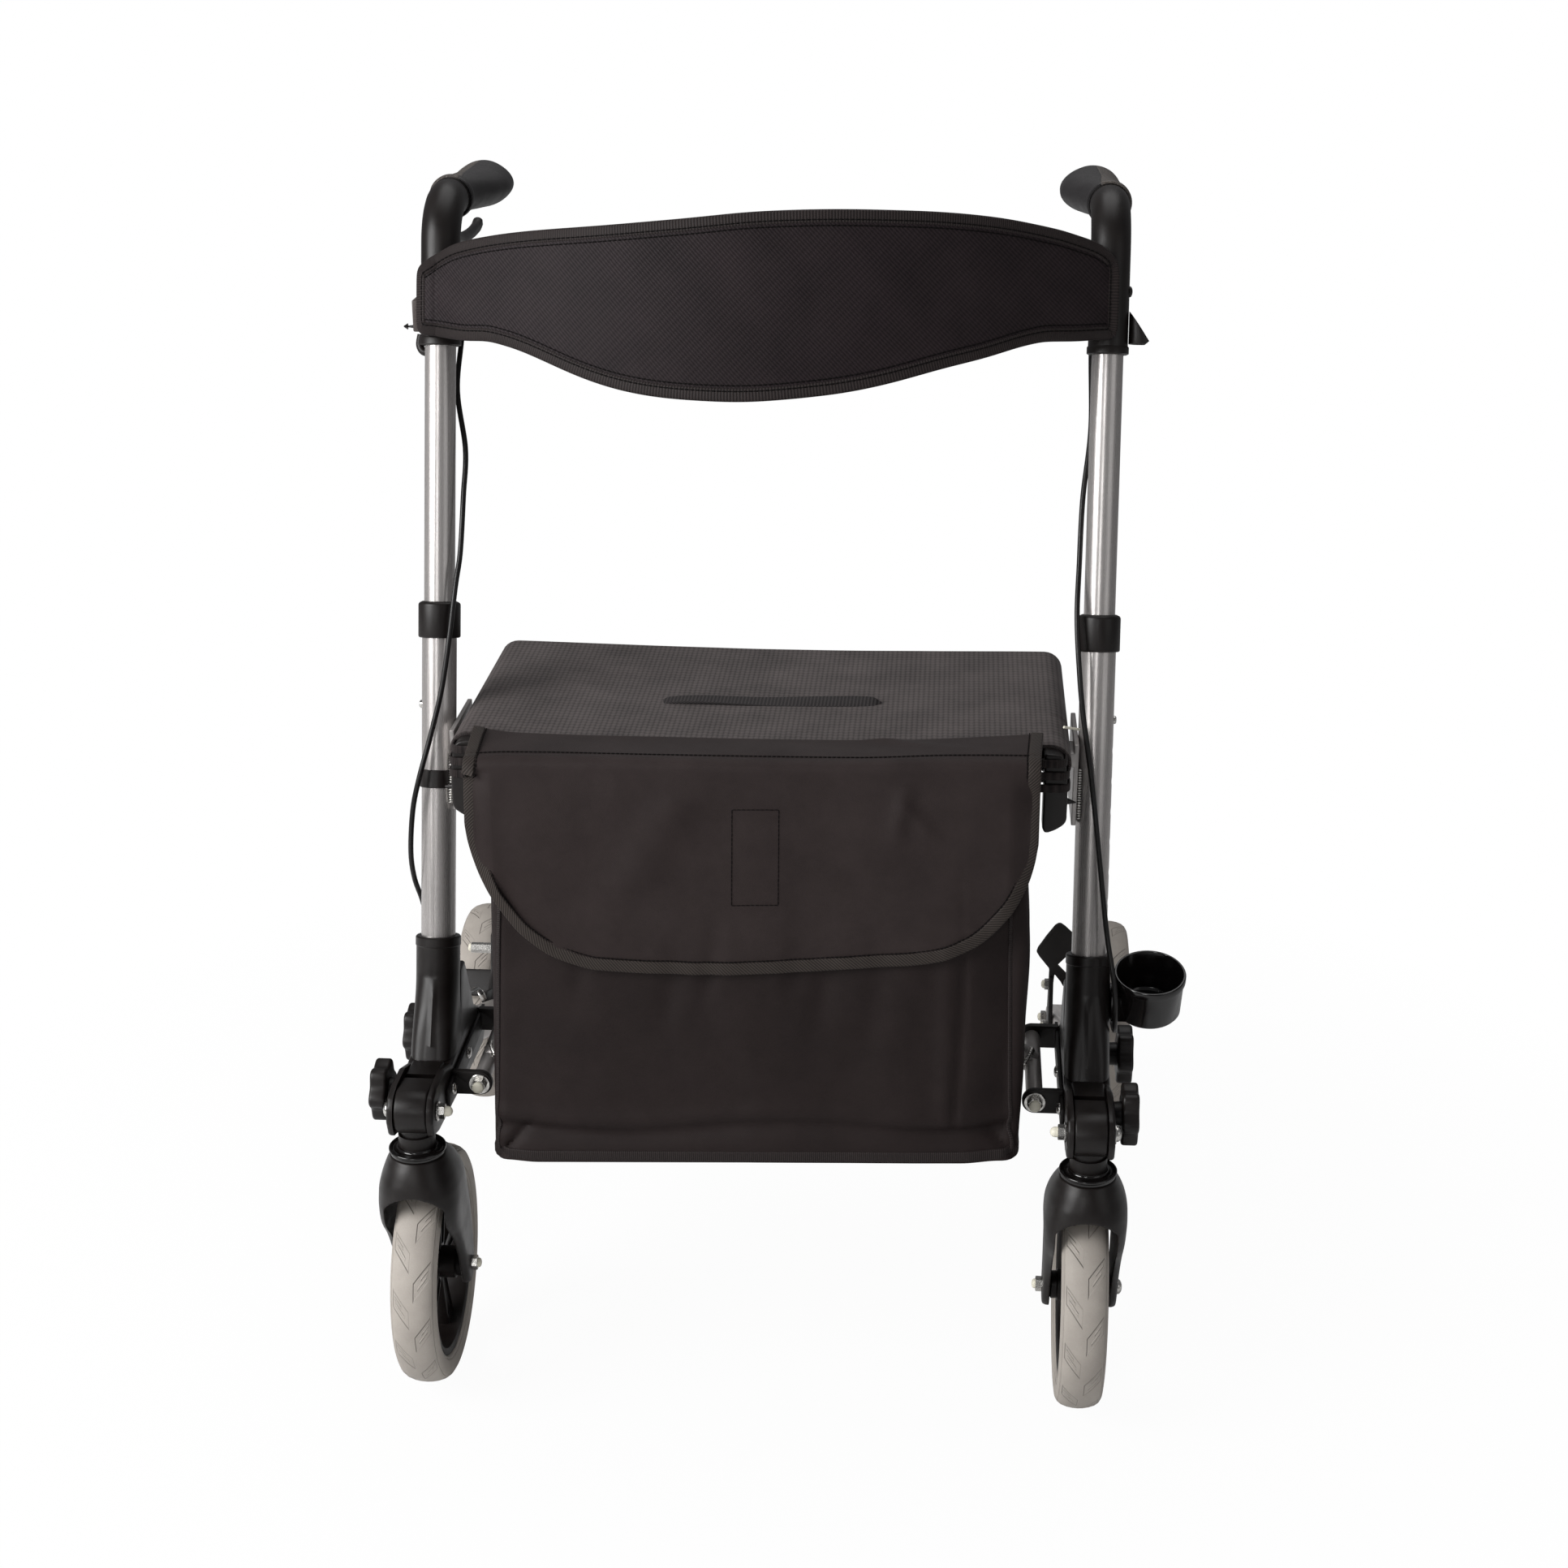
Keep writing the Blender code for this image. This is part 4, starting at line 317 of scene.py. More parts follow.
    def sheet(
            self, across: int, up: int, place: Callable[[float, float], Point],
            size: tuple[float, float] = (1.0, 1.0),
            lay: Callable[[float, float], tuple[float, float]] | None = None) -> bpy.types.Object:
        """Grid primitive laid out by a function.

        Args:
            across: Faces along the first parameter.
            up: Faces along the second parameter.
            place: Gives the point for both parameters, each from 0 to 1.
            size: Cloth size in metres, for the weave's coordinates.
            lay: Gives the weave's coordinates where the cloth isn't cut square.

        Returns:
            The laid out sheet, with its weave coordinates in metres.
        """
        bpy.ops.object.select_all(action="DESELECT")
        bpy.ops.mesh.primitive_grid_add(x_subdivisions=across, y_subdivisions=up, size=2.0)
        piece = bpy.context.object
        shares = [((v.co.x + 1.0) / 2.0, (v.co.y + 1.0) / 2.0) for v in piece.data.vertices]
        layer = piece.data.uv_layers.active or piece.data.uv_layers.new()
        for loop in piece.data.loops:
            a, b = shares[loop.vertex_index]
            layer.data[loop.index].uv = lay(a, b) if lay else (a * size[0], b * size[1])
        for vertex, share in zip(piece.data.vertices, shares):
            vertex.co = place(*share)
        return piece

    def wrapped(
            self, around: int, length: int, place: Callable[[float, float], Point],
            size: tuple[float, float] = (1.0, 1.0), capped: bool = True,
            lay: Callable[[float, float], tuple[float, float]] | None = None) -> bpy.types.Object:
        """Grid primitive wrapped into a tube, its first parameter going round and its ends filled."""
        piece = self.sheet(around, length, lambda a, b: place(a % 1.0 if a < 1.0 else 0.0, b), size, lay)
        with self.editing(piece):
            bpy.ops.mesh.remove_doubles(threshold=0.000002)
            if capped:
                bpy.ops.mesh.select_all(action="DESELECT")
                bpy.ops.mesh.select_non_manifold(extend=False)
                bpy.ops.mesh.fill_holes(sides=0)
                bpy.ops.mesh.select_all(action="SELECT")
            bpy.ops.mesh.normals_make_consistent(inside=False)
        return piece

    def modify(self, piece: bpy.types.Object, kind: str, **settings: object) -> bpy.types.Object:
        """Add a modifier with these settings and apply it."""
        self.hold(piece)
        step = piece.modifiers.new(kind.title(), kind)
        for key, value in settings.items():
            setattr(step, key, value)
        bpy.ops.object.modifier_apply(modifier=step.name)
        return piece

    def thicken(self, cloth: bpy.types.Object, thick: float, way: Point) -> bpy.types.Object:
        """Turn an open sheet's faces toward a way and give it a thickness behind them."""
        if cloth.data.polygons[len(cloth.data.polygons) // 2].normal.dot(Vector(way)) < 0.0:
            with self.editing(cloth):
                bpy.ops.mesh.flip_normals()
        return self.modify(cloth, "SOLIDIFY", thickness=thick, offset=-1.0)

    def bevel(
            self, piece: bpy.types.Object, width: float, segments: int = 2,
            angle: float = 35.0) -> bpy.types.Object:
        """Round the edges that are sharper than an angle."""
        return self.modify(
            piece, "BEVEL", width=width, segments=segments, limit_method="ANGLE",
            angle_limit=math.radians(angle), use_clamp_overlap=True)

    def carve(self, piece: bpy.types.Object, *cutters: bpy.types.Object) -> bpy.types.Object:
        """Cut shapes out of a piece."""
        for cutter in cutters:
            self.modify(piece, "BOOLEAN", operation="DIFFERENCE", solver="EXACT", object=cutter)
            bpy.data.objects.remove(cutter, do_unlink=True)
        return piece

    def fuse(self, piece: bpy.types.Object, *others: bpy.types.Object) -> bpy.types.Object:
        """Grow shapes into one skin."""
        for other in others:
            self.modify(piece, "BOOLEAN", operation="UNION", solver="EXACT", object=other)
            bpy.data.objects.remove(other, do_unlink=True)
        return piece

    def common(self, piece: bpy.types.Object, other: bpy.types.Object) -> bpy.types.Object:
        """Keep what two shapes share."""
        self.modify(piece, "BOOLEAN", operation="INTERSECT", solver="EXACT", object=other)
        bpy.data.objects.remove(other, do_unlink=True)
        return piece

    def melt(self, piece: bpy.types.Object, voxel: float, passes: int) -> bpy.types.Object:
        """Remesh evenly and smooth the edges away, as on a moulded shape."""
        self.modify(piece, "REMESH", mode="VOXEL", voxel_size=voxel)
        return self.modify(piece, "SMOOTH", factor=0.5, iterations=passes)

    def join(self, piece: bpy.types.Object, *others: bpy.types.Object) -> bpy.types.Object:
        """Make one object of several, each skin kept."""
        if others:
            self.hold(piece, *others)
            bpy.ops.object.join()
        return piece

    def copy(self, piece: bpy.types.Object, matrix: Matrix | None = None) -> bpy.types.Object:
        """Duplicate a piece with its own mesh, and move it."""
        self.hold(piece)
        bpy.ops.object.duplicate(linked=False)
        twin = bpy.context.object
        if matrix is not None:
            twin.data.transform(matrix)
        return twin

    def mirrored(self, piece: bpy.types.Object) -> bpy.types.Object:
        """Turn a piece into its mirror image across the middle plane."""
        piece.data.transform(Matrix.Diagonal((-1.0, 1.0, 1.0, 1.0)))
        with self.editing(piece):
            bpy.ops.mesh.flip_normals()
        return piece

    def drop(self, *pieces: bpy.types.Object) -> None:
        """Throw pieces away."""
        for piece in pieces:
            bpy.data.objects.remove(piece, do_unlink=True)


# Shaders

def tint(red: float, green: float, blue: float) -> tuple[float, float, float]:
    """Linear colour of an 8-bit screen colour."""
    def line(value: float) -> float:
        value /= 255.0
        return value / 12.92 if value <= 0.04045 else ((value + 0.055) / 1.055) ** 2.4
    return (line(red), line(green), line(blue))


class Value:
    """A socket in a shader that takes part in sums."""

    def __init__(self, shader: "Shader", socket: bpy.types.NodeSocket) -> None:
        self.shader = shader
        self.socket = socket

    def _sum(self, operation: str, first: object, second: object) -> "Value":
        """Math node on two values."""
        return self.shader.node("ShaderNodeMath", {"operation": operation}, {0: first, 1: second})

    def __add__(self, other: object) -> "Value":
        return self._sum("ADD", self, other)

    def __sub__(self, other: object) -> "Value":
        return self._sum("SUBTRACT", self, other)

    def __rsub__(self, other: object) -> "Value":
        return self._sum("SUBTRACT", other, self)

    def __mul__(self, other: object) -> "Value":
        return self._sum("MULTIPLY", self, other)

    def __truediv__(self, other: object) -> "Value":
        return self._sum("DIVIDE", self, other)

    def __abs__(self) -> "Value":
        return self.shader.node("ShaderNodeMath", {"operation": "ABSOLUTE"}, {0: self})

    def sine(self) -> "Value":
        """Sine of the value in radians."""
        return self.shader.node("ShaderNodeMath", {"operation": "SINE"}, {0: self})

    def fraction(self) -> "Value":
        """Part after the point."""
        return self.shader.node("ShaderNodeMath", {"operation": "FRACT"}, {0: self})

    def least(self, other: object) -> "Value":
        """Smaller of two values."""
        return self._sum("MINIMUM", self, other)

    def most(self, other: object) -> "Value":
        """Larger of two values."""
        return self._sum("MAXIMUM", self, other)

    def span(self, low: float, high: float, to_low: float = 0.0, to_high: float = 1.0) -> "Value":
        """Map a range to another, held at its ends."""
        return self.shader.node(
            "ShaderNodeMapRange", {"clamp": True},
            {"Value": self, "From Min": low, "From Max": high, "To Min": to_low, "To Max": to_high})


class Shader:
    """A material under construction."""

    def __init__(self, name: str) -> None:
        self.material = bpy.data.materials.new(name)
        self.material.use_nodes = True
        self.tree = self.material.node_tree
        self.principled = self.tree.nodes["Principled BSDF"]

    def node(
            self, kind: str, settings: dict[str, object] | None = None,
            inputs: dict[int | str, object] | None = None, output: int | str = 0) -> Value:
        """Add a node.

        Args:
            kind: Node type.
            settings: Properties, set before the sockets.
            inputs: Numbers, tuples or values by socket.
            output: Socket that the result stands for.

        Returns:
            The output as a value.
        """
        node = self.tree.nodes.new(kind)
        for key, value in (settings or {}).items():
            setattr(node, key, value)
        for key, value in (inputs or {}).items():
            self.feed(node.inputs[key], value)
        return Value(self, node.outputs[output])

    def feed(self, socket: bpy.types.NodeSocket, value: object) -> None:
        """Link a value to a socket, or set the socket."""
        if isinstance(value, Value):
            self.tree.links.new(value.socket, socket)
        elif isinstance(value, tuple) and len(value) == 3 and socket.type == "RGBA":
            socket.default_value = (*value, 1.0)
        else:
            socket.default_value = value

    def set(self, **values: object) -> None:
        """Feed the surface's sockets, named with _ for a space."""
        for key, value in values.items():
            self.feed(self.principled.inputs[key.replace("_", " ")], value)

    def place(self) -> Value:
        """The piece's own coordinates in metres."""
        return self.node("ShaderNodeTexCoord", {}, {}, "Object")

    def cloth(self) -> tuple[Value, Value]:
        """Coordinates along the cloth in metres."""
        both = self.node("ShaderNodeTexCoord", {}, {}, "UV")
        split = self.node("ShaderNodeSeparateXYZ", {}, {0: both})
        return split, Value(self, split.socket.node.outputs[1])

    def axes(self, vector: Value) -> tuple[Value, Value, Value]:
        """The three parts of a vector."""
        split = self.node("ShaderNodeSeparateXYZ", {}, {0: vector})
        outputs = split.socket.node.outputs
        return Value(self, outputs[0]), Value(self, outputs[1]), Value(self, outputs[2])

    def scaled(self, vector: Value, scale: Point) -> Value:
        """Vector times a scale on each axis."""
        return self.node("ShaderNodeVectorMath", {"operation": "MULTIPLY"}, {0: vector, 1: tuple(scale)})

    def noise(self, vector: Value, scale: float, detail: float = 3.0, rough: float = 0.5) -> Value:
        """Cloudy noise from 0 to 1."""
        return self.node(
            "ShaderNodeTexNoise", {"noise_dimensions": "3D"},
            {"Vector": vector, "Scale": scale, "Detail": detail, "Roughness": rough}, 0)

    def cells(self, vector: Value, scale: float) -> Value:
        """Distance to the nearest of scattered points."""
        return self.node(
            "ShaderNodeTexVoronoi", {"feature": "F1"}, {"Vector": vector, "Scale": scale}, "Distance")

    def blend(self, share: object, first: object, second: object) -> Value:
        """Colour between two colours."""
        return self.node(
            "ShaderNodeMix", {"data_type": "RGBA", "clamp_factor": True}, {0: share, 6: first, 7: second}, 2)

    def bump(self, height: Value, distance: float, strength: float = 1.0) -> Value:
        """Normal bent by a height in units of distance."""
        return self.node(
            "ShaderNodeBump", {}, {"Strength": strength, "Distance": distance, "Height": height}, "Normal")


class Finish:
    """What every finish shares: one material, made the first time that it is asked for."""

    made: dict["Finish", bpy.types.Material] = {}

    def material(self) -> bpy.types.Material:
        """The finish's material."""
        if self not in Finish.made:
            shader = Shader(self.name)
            self.dress(shader)
            Finish.made[self] = shader.material
        return Finish.made[self]

    def dress(self, shader: Shader) -> None:
        """Build the nodes."""
        raise NotImplementedError


@dataclass(frozen=True)
class Moulded(Finish):
    """Injection-moulded plastic: fine spark-eroded grain, slightly uneven gloss and light rubs."""

    name: str
    colour: tuple[float, float, float]
    rub: tuple[float, float, float]
    rough: float
    grain: float = 0.00006
    slot: str = "black_plastic"
    shine: float = 0.3

    def dress(self, shader: Shader) -> None:
        """Build the nodes."""
        place = shader.place()
        cloud = shader.noise(place, 38.0, 4.0, 0.6)
        scuff = shader.noise(shader.scaled(place, (1.0, 1.0, 6.0)), 160.0, 5.0, 0.65).span(0.6, 0.78)
        share = cloud.span(0.3, 0.75) * 0.35 + scuff * 0.3
        shader.set(
            Base_Color=shader.blend(share, self.colour, self.rub),
            Roughness=cloud.span(0.25, 0.75, self.rough - 0.06, self.rough + 0.08) + scuff * 0.06,
            Specular_IOR_Level=self.shine,
            Normal=shader.bump(shader.noise(place, 2600.0, 2.0, 0.5), self.grain, 0.6))


class Run(Enum):
    """Direction that a drawn tube's grain follows."""

    TUBE = "tube"
    LEG = "leg"
    ACROSS = "across"


@dataclass(frozen=True)
class Anodised(Finish):
    """Drawn aluminium, anodised: a soft metal sheen with fine lines along the tube."""

    name: str
    colour: tuple[float, float, float]
    rough: float
    run: Run
    metal: float = 0.6
    slot: str = "silver_tube"

    def dress(self, shader: Shader) -> None:
        """Build the nodes."""
        turn = {Run.TUBE: -LEAN, Run.LEG: -math.radians(112.2), Run.ACROSS: 0.0}[self.run]
        stretch = (1.0, 1.0, 0.02) if self.run is not Run.ACROSS else (0.02, 1.0, 1.0)
        turned = shader.node(
            "ShaderNodeVectorRotate", {"rotation_type": "X_AXIS"}, {"Vector": shader.place(), "Angle": -turn})
        lines = shader.noise(shader.scaled(turned, stretch), 900.0, 3.0, 0.6)
        cloud = shader.noise(turned, 30.0, 4.0, 0.55)
        darker = tuple(c * 0.8 for c in self.colour)
        shader.set(
            Base_Color=shader.blend(lines * 0.5 + cloud * 0.3, self.colour, darker),
            Metallic=self.metal,
            Roughness=lines.span(0.3, 0.7, self.rough - 0.05, self.rough + 0.07) + cloud * 0.05,
            Normal=shader.bump(lines, 0.00003, 0.35))


@dataclass(frozen=True)
class Plated(Finish):
    """Zinc plated hardware: bright metal with a mottled crystal bloom."""

    name: str
    colour: tuple[float, float, float]
    rough: float
    slot: str = "zinc_steel"

    def dress(self, shader: Shader) -> None:
        """Build the nodes."""
        place = shader.place()
        bloom = shader.cells(place, 900.0)
        cloud = shader.noise(place, 250.0, 4.0, 0.6)
        darker = tuple(c * 0.6 for c in self.colour)
        shader.set(
            Base_Color=shader.blend(cloud.span(0.35, 0.7), self.colour, darker), Metallic=1.0,
            Roughness=cloud.span(0.3, 0.7, self.rough - 0.06, self.rough + 0.1),
            Normal=shader.bump(bloom, 0.00004, 0.5))


class Pattern(Enum):
    """How the threads of a cloth cross."""

    PLAIN = "plain"
    TWILL = "twill"
    OPEN = "open"


@dataclass(frozen=True)
class Weave(Finish):
    """Woven cloth, its threads laid out in metres along the piece's own coordinates."""

    name: str
    colour: tuple[float, float, float]
    high: tuple[float, float, float]
    rough: float
    pitch: float
    pattern: Pattern
    relief: float = 0.00016
    sheen: float = 0.15
    slot: str = "webbing"

    def dress(self, shader: Shader) -> None:
        """Build the nodes."""
        u, v = shader.cloth()
        turn = math.tau / self.pitch
        if self.pattern is Pattern.TWILL:
            rib = ((u + v) * turn).sine() * 0.5 + 0.5
            thread = ((u - v) * (turn * 0.5)).sine() * 0.5 + 0.5
            height = rib * 0.75 + thread * 0.25
        elif self.pattern is Pattern.OPEN:
            warp = abs((u * (turn * 0.5)).sine())
            weft = abs((v * (turn * 0.32) + (u * (turn * 0.5)).sine() * 0.35).sine())
            height = warp * 0.55 + weft * 0.45
        else:
            height = (u * turn).sine() * (v * turn).sine() * 0.5 + 0.5
        place = shader.place()
        cloud = shader.noise(place, 22.0, 5.0, 0.6)
        fuzz = shader.noise(place, 1400.0, 2.0, 0.6)
        share = height * 0.55 + cloud.span(0.3, 0.7) * 0.3 + fuzz * 0.15
        shader.set(
            Base_Color=shader.blend(share, self.colour, self.high),
            Roughness=height.span(0.0, 1.0, self.rough + 0.05, self.rough - 0.08),
            Sheen_Weight=self.sheen, Sheen_Roughness=0.4, Specular_IOR_Level=0.12,
            Normal=shader.bump(height + fuzz * 0.3, self.relief, 0.7))


@dataclass(frozen=True)
class Ribbon(Finish):
    """Binding tape or webbing with ribs across or aslant, the rib crests painted paler as highlight."""

    name: str
    colour: tuple[float, float, float]
    high: tuple[float, float, float]
    rough: float
    rib: float
    slant: float
    slot: str = "webbing"

    def dress(self, shader: Shader) -> None:
        """Build the nodes."""
        u, v = shader.cloth()
        ribs = ((v + u * self.slant) * (math.tau / self.rib)).sine() * 0.5 + 0.5
        place = shader.place()
        fuzz = shader.noise(place, 1500.0, 2.0, 0.6)
        cloud = shader.noise(place, 30.0, 4.0, 0.6)
        height = ribs * 0.8 + fuzz * 0.2
        # Painted highlight and shade: the colour follows the ribs, paler on their crests and darker between
        # them, over random tone.
        share = ribs * 0.55 + cloud * 0.25 + fuzz * 0.2
        shader.set(
            Base_Color=shader.blend(share, self.colour, self.high),
            Roughness=fuzz.span(0.2, 0.8, self.rough - 0.06, self.rough + 0.08),
            Sheen_Weight=0.02, Sheen_Roughness=0.4, Specular_IOR_Level=0.15,
            Normal=shader.bump(height, 0.0003, 0.9))


BLACK = Moulded("black_moulding", tint(16, 12, 11), tint(34, 29, 27), 0.4)
SATIN = Moulded("satin_moulding", tint(17, 13, 12), tint(36, 31, 29), 0.36)
GLOSS = Moulded("gloss_moulding", tint(11, 9, 9), tint(25, 21, 20), 0.14, 0.00002, "gloss_plastic", 0.5)
COATED = Moulded("black_powder_coat", tint(17, 14, 13), tint(37, 32, 31), 0.46, 0.0001, "painted_steel")
SHEATH = Moulded("cable_sheath", tint(14, 13, 13), tint(34, 32, 32), 0.32, 0.00005, "cable")
CREAM = Moulded("cream_cap", tint(226, 222, 206), tint(196, 190, 170), 0.4, 0.00003, "zinc_steel", 0.5)
TUBE = Anodised("anodised_tube", tint(178, 174, 172), 0.24, Run.TUBE)
LEG = Anodised("anodised_leg", tint(180, 174, 170), 0.34, Run.LEG)
RAIL = Anodised("anodised_rail", tint(160, 156, 154), 0.32, Run.ACROSS)
ZINC = Plated("zinc_plate", tint(206, 204, 200), 0.24)
WELD = Plated("weld_bead", tint(222, 220, 216), 0.3, "silver_tube")
NYLON = Weave("bag_nylon", tint(20, 14, 14), tint(42, 34, 33), 0.55, 0.0011, Pattern.PLAIN, 0.00016, 0.02)
FLAP = Weave("flap_nylon", tint(26, 19, 19), tint(54, 46, 45), 0.55, 0.0011, Pattern.PLAIN, 0.00016, 0.02)
TWILL = Weave("backrest_twill", tint(11, 7, 9), tint(44, 36, 38), 0.6, 0.0032, Pattern.TWILL, 0.00028, 0.01)
PLATE = Moulded("grey_plate", tint(66, 59, 57), tint(92, 85, 83), 0.42, 0.00006, "satin_plastic")
MESH = Weave(
    "seat_mesh", tint(28, 26, 26), tint(92, 85, 84), 0.62, 0.0042, Pattern.OPEN, 0.0004, 0.04, "seat_mesh")
# The tapes' high colours are painted highlight on the rib crests, over each tape's own dark colour.
TAPE = Ribbon("binding_tape", tint(8, 6, 6), tint(66, 59, 55), 0.6, 0.0027, 1.0)
EDGE = Ribbon("edge_binding", tint(12, 9, 10), tint(52, 45, 44), 0.58, 0.0016, 0.0)
STRAP = Ribbon("pull_strap", tint(18, 17, 18), tint(58, 54, 54), 0.56, 0.003, 0.6)
THREAD_BLACK = Moulded("black_thread", tint(7, 5, 5), tint(20, 16, 16), 0.7, 0.00004, "webbing", 0.1)
THREAD_GREY = Moulded("grey_thread", tint(92, 85, 81), tint(140, 132, 126), 0.6, 0.00004, "webbing")


class Works:
    """Hands finished pieces to the frame, on one side or on both."""

    def __init__(self, bench: Bench) -> None:
        self.bench = bench

    def place(
            self, piece: bpy.types.Object, name: str, look: Finish, body: str | None,
            stands_for: Sequence[str] = (), angle: float = 35.0) -> bpy.types.Object:
        """Name, smooth and dress a piece, move it to the row frame and let it ride.

        Args:
            piece: The finished mesh, in drawing coordinates.
            name: Its name.
            look: Its finish.
            body: The frame's body that it rides on, or none where it blends.
            stands_for: Frame nodes that it stands for.
            angle: Edges sharper than this stay sharp.

        Returns:
            The piece.
        """
        self.bench.hold(piece)
        bpy.ops.object.shade_smooth_by_angle(angle=math.radians(angle))
        piece.name = name
        piece.data.name = name
        piece.data.transform(Matrix.Translation(-ORIGIN))
        piece.data.materials.clear()
        piece.data.materials.append(look.material())
        if body is not None:
            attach(piece, body)
        if stands_for:
            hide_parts(*stands_for)
        return piece

    def pair(
            self, piece: bpy.types.Object, stem: str, look: Finish, body: str,
            stands_for: Sequence[str] = (), angle: float = 35.0) -> None:
        """Place a right-hand piece of the side frame on both sides."""
        piece.data.transform(Matrix.Translation((TRACK, 0.0, 0.0)))
        twin = self.bench.mirrored(self.bench.copy(piece))
        for side, each in (("right", piece), ("left", twin)):
            nodes = [f"{side}_{node}" for node in stands_for]
            self.place(each, f"{side}_{stem}", look, f"{side}_{body}", nodes, angle)

    def on_side(
            self, piece: bpy.types.Object, side: str, stem: str, look: Finish, body: str | None,
            stands_for: Sequence[str] = (), angle: float = 35.0) -> bpy.types.Object:
        """Place a right-hand piece of the side frame on one side."""
        piece.data.transform(Matrix.Translation((TRACK, 0.0, 0.0)))
        if side == "left":
            self.bench.mirrored(piece)
        nodes = [f"{side}_{node}" for node in stands_for]
        rides = None if body is None else f"{side}_{body}"
        return self.place(piece, f"{side}_{stem}", look, rides, nodes, angle)


# Studio

@dataclass
class Studio:
    """Camera, lights, floor and surroundings."""

    camera_at: tuple[float, float, float] = (0.14415, -2.0612, 1.2377)
    camera_turn: tuple[float, float, float] = (69.0, 0.0, 4.0)
    lens: float = 57.36
    sensor: float = 36.0
    floor_half: float = 6.0

    def camera(self) -> None:
        """Place the camera where the photograph was taken."""
        turn = [math.radians(a) for a in self.camera_turn]
        bpy.ops.object.camera_add(location=self.camera_at, rotation=turn)
        camera = bpy.context.object
        camera.name = "photo_camera"
        camera.data.lens = self.lens
        camera.data.sensor_width = self.sensor
        camera.data.clip_end = 50.0
        bpy.context.scene.camera = camera

    def lamp(self, name: str, place: Point, aim: Point, size: float, watts: float) -> None:
        """Add a square soft light that looks at a point."""
        turn = (Vector(aim) - Vector(place)).to_track_quat("-Z", "Y").to_euler()
        bpy.ops.object.light_add(type="AREA", location=place, rotation=turn)
        lamp = bpy.context.object
        lamp.name = name
        lamp.data.shape = "SQUARE"
        lamp.data.size = size
        lamp.data.energy = watts

    def surroundings(self) -> None:
        """White to the camera and grey to everything else."""
        world = bpy.data.worlds.new("studio")
        bpy.context.scene.world = world
        world.use_nodes = True
        tree = world.node_tree
        tree.nodes.clear()
        output = tree.nodes.new("ShaderNodeOutputWorld")
        mix = tree.nodes.new("ShaderNodeMixShader")
        path = tree.nodes.new("ShaderNodeLightPath")
        room = tree.nodes.new("ShaderNodeBackground")
        seen = tree.nodes.new("ShaderNodeBackground")
        room.inputs["Color"].default_value = (0.5, 0.5, 0.51, 1.0)
        room.inputs["Strength"].default_value = 0.34
        seen.inputs["Color"].default_value = (1.0, 1.0, 1.0, 1.0)
        tree.links.new(path.outputs["Is Camera Ray"], mix.inputs[0])
        tree.links.new(room.outputs[0], mix.inputs[1])
        tree.links.new(seen.outputs[0], mix.inputs[2])
        tree.links.new(mix.outputs[0], output.inputs[0])

    def floor(self) -> None:
        """Pale floor that reads as white paper and keeps the rollator's shadow."""
        bpy.ops.mesh.primitive_plane_add(size=2.0 * self.floor_half, location=CENTRE)
        floor = bpy.context.object
        floor.name = "studio_floor"
        shader = Shader("studio_paper")
        tree = shader.tree
        cloud = shader.noise(shader.place(), 3.0, 2.0, 0.5)
        shader.set(
            Base_Color=shader.blend(cloud, (0.78, 0.78, 0.78), (0.8, 0.8, 0.8)), Roughness=0.9)
        glow = shader.node("ShaderNodeEmission", {}, {"Color": (1.0, 1.0, 1.0), "Strength": 1.0})
        path = shader.node("ShaderNodeLightPath", {}, {}, "Is Camera Ray")
        x, y, _ = shader.axes(shader.place())
        away = (x * x + y * y).span(0.1, 0.9, 0.96, 1.0)
        lit = Value(shader, shader.principled.outputs[0])
        paper = shader.node("ShaderNodeMixShader", {}, {0: path * away, 1: lit, 2: glow})
        output = next(node for node in tree.nodes if node.type == "OUTPUT_MATERIAL")
        tree.links.new(paper.socket, output.inputs["Surface"])
        floor.data.materials.append(shader.material)

    def build(self) -> None:
        """Set up the whole studio."""
        self.camera()
        self.surroundings()
        self.floor()
        aim = (0.0, 0.0, 0.5)
        self.lamp("key_light", (-2.0, -1.45, 1.65), aim, 1.5, 82.0)
        self.lamp("front_light", (-1.2, -5.8, 2.4), aim, 1.3, 36.0)
        self.lamp("fill_light", (2.3, -1.9, 1.4), aim, 1.6, 6.0)
        self.lamp("top_light", (0.1, 0.7, 2.9), aim, 2.0, 24.0)
        bpy.context.scene.view_settings.view_transform = "Standard"
        log.info("studio: camera, four lamps, floor")


# Small parts

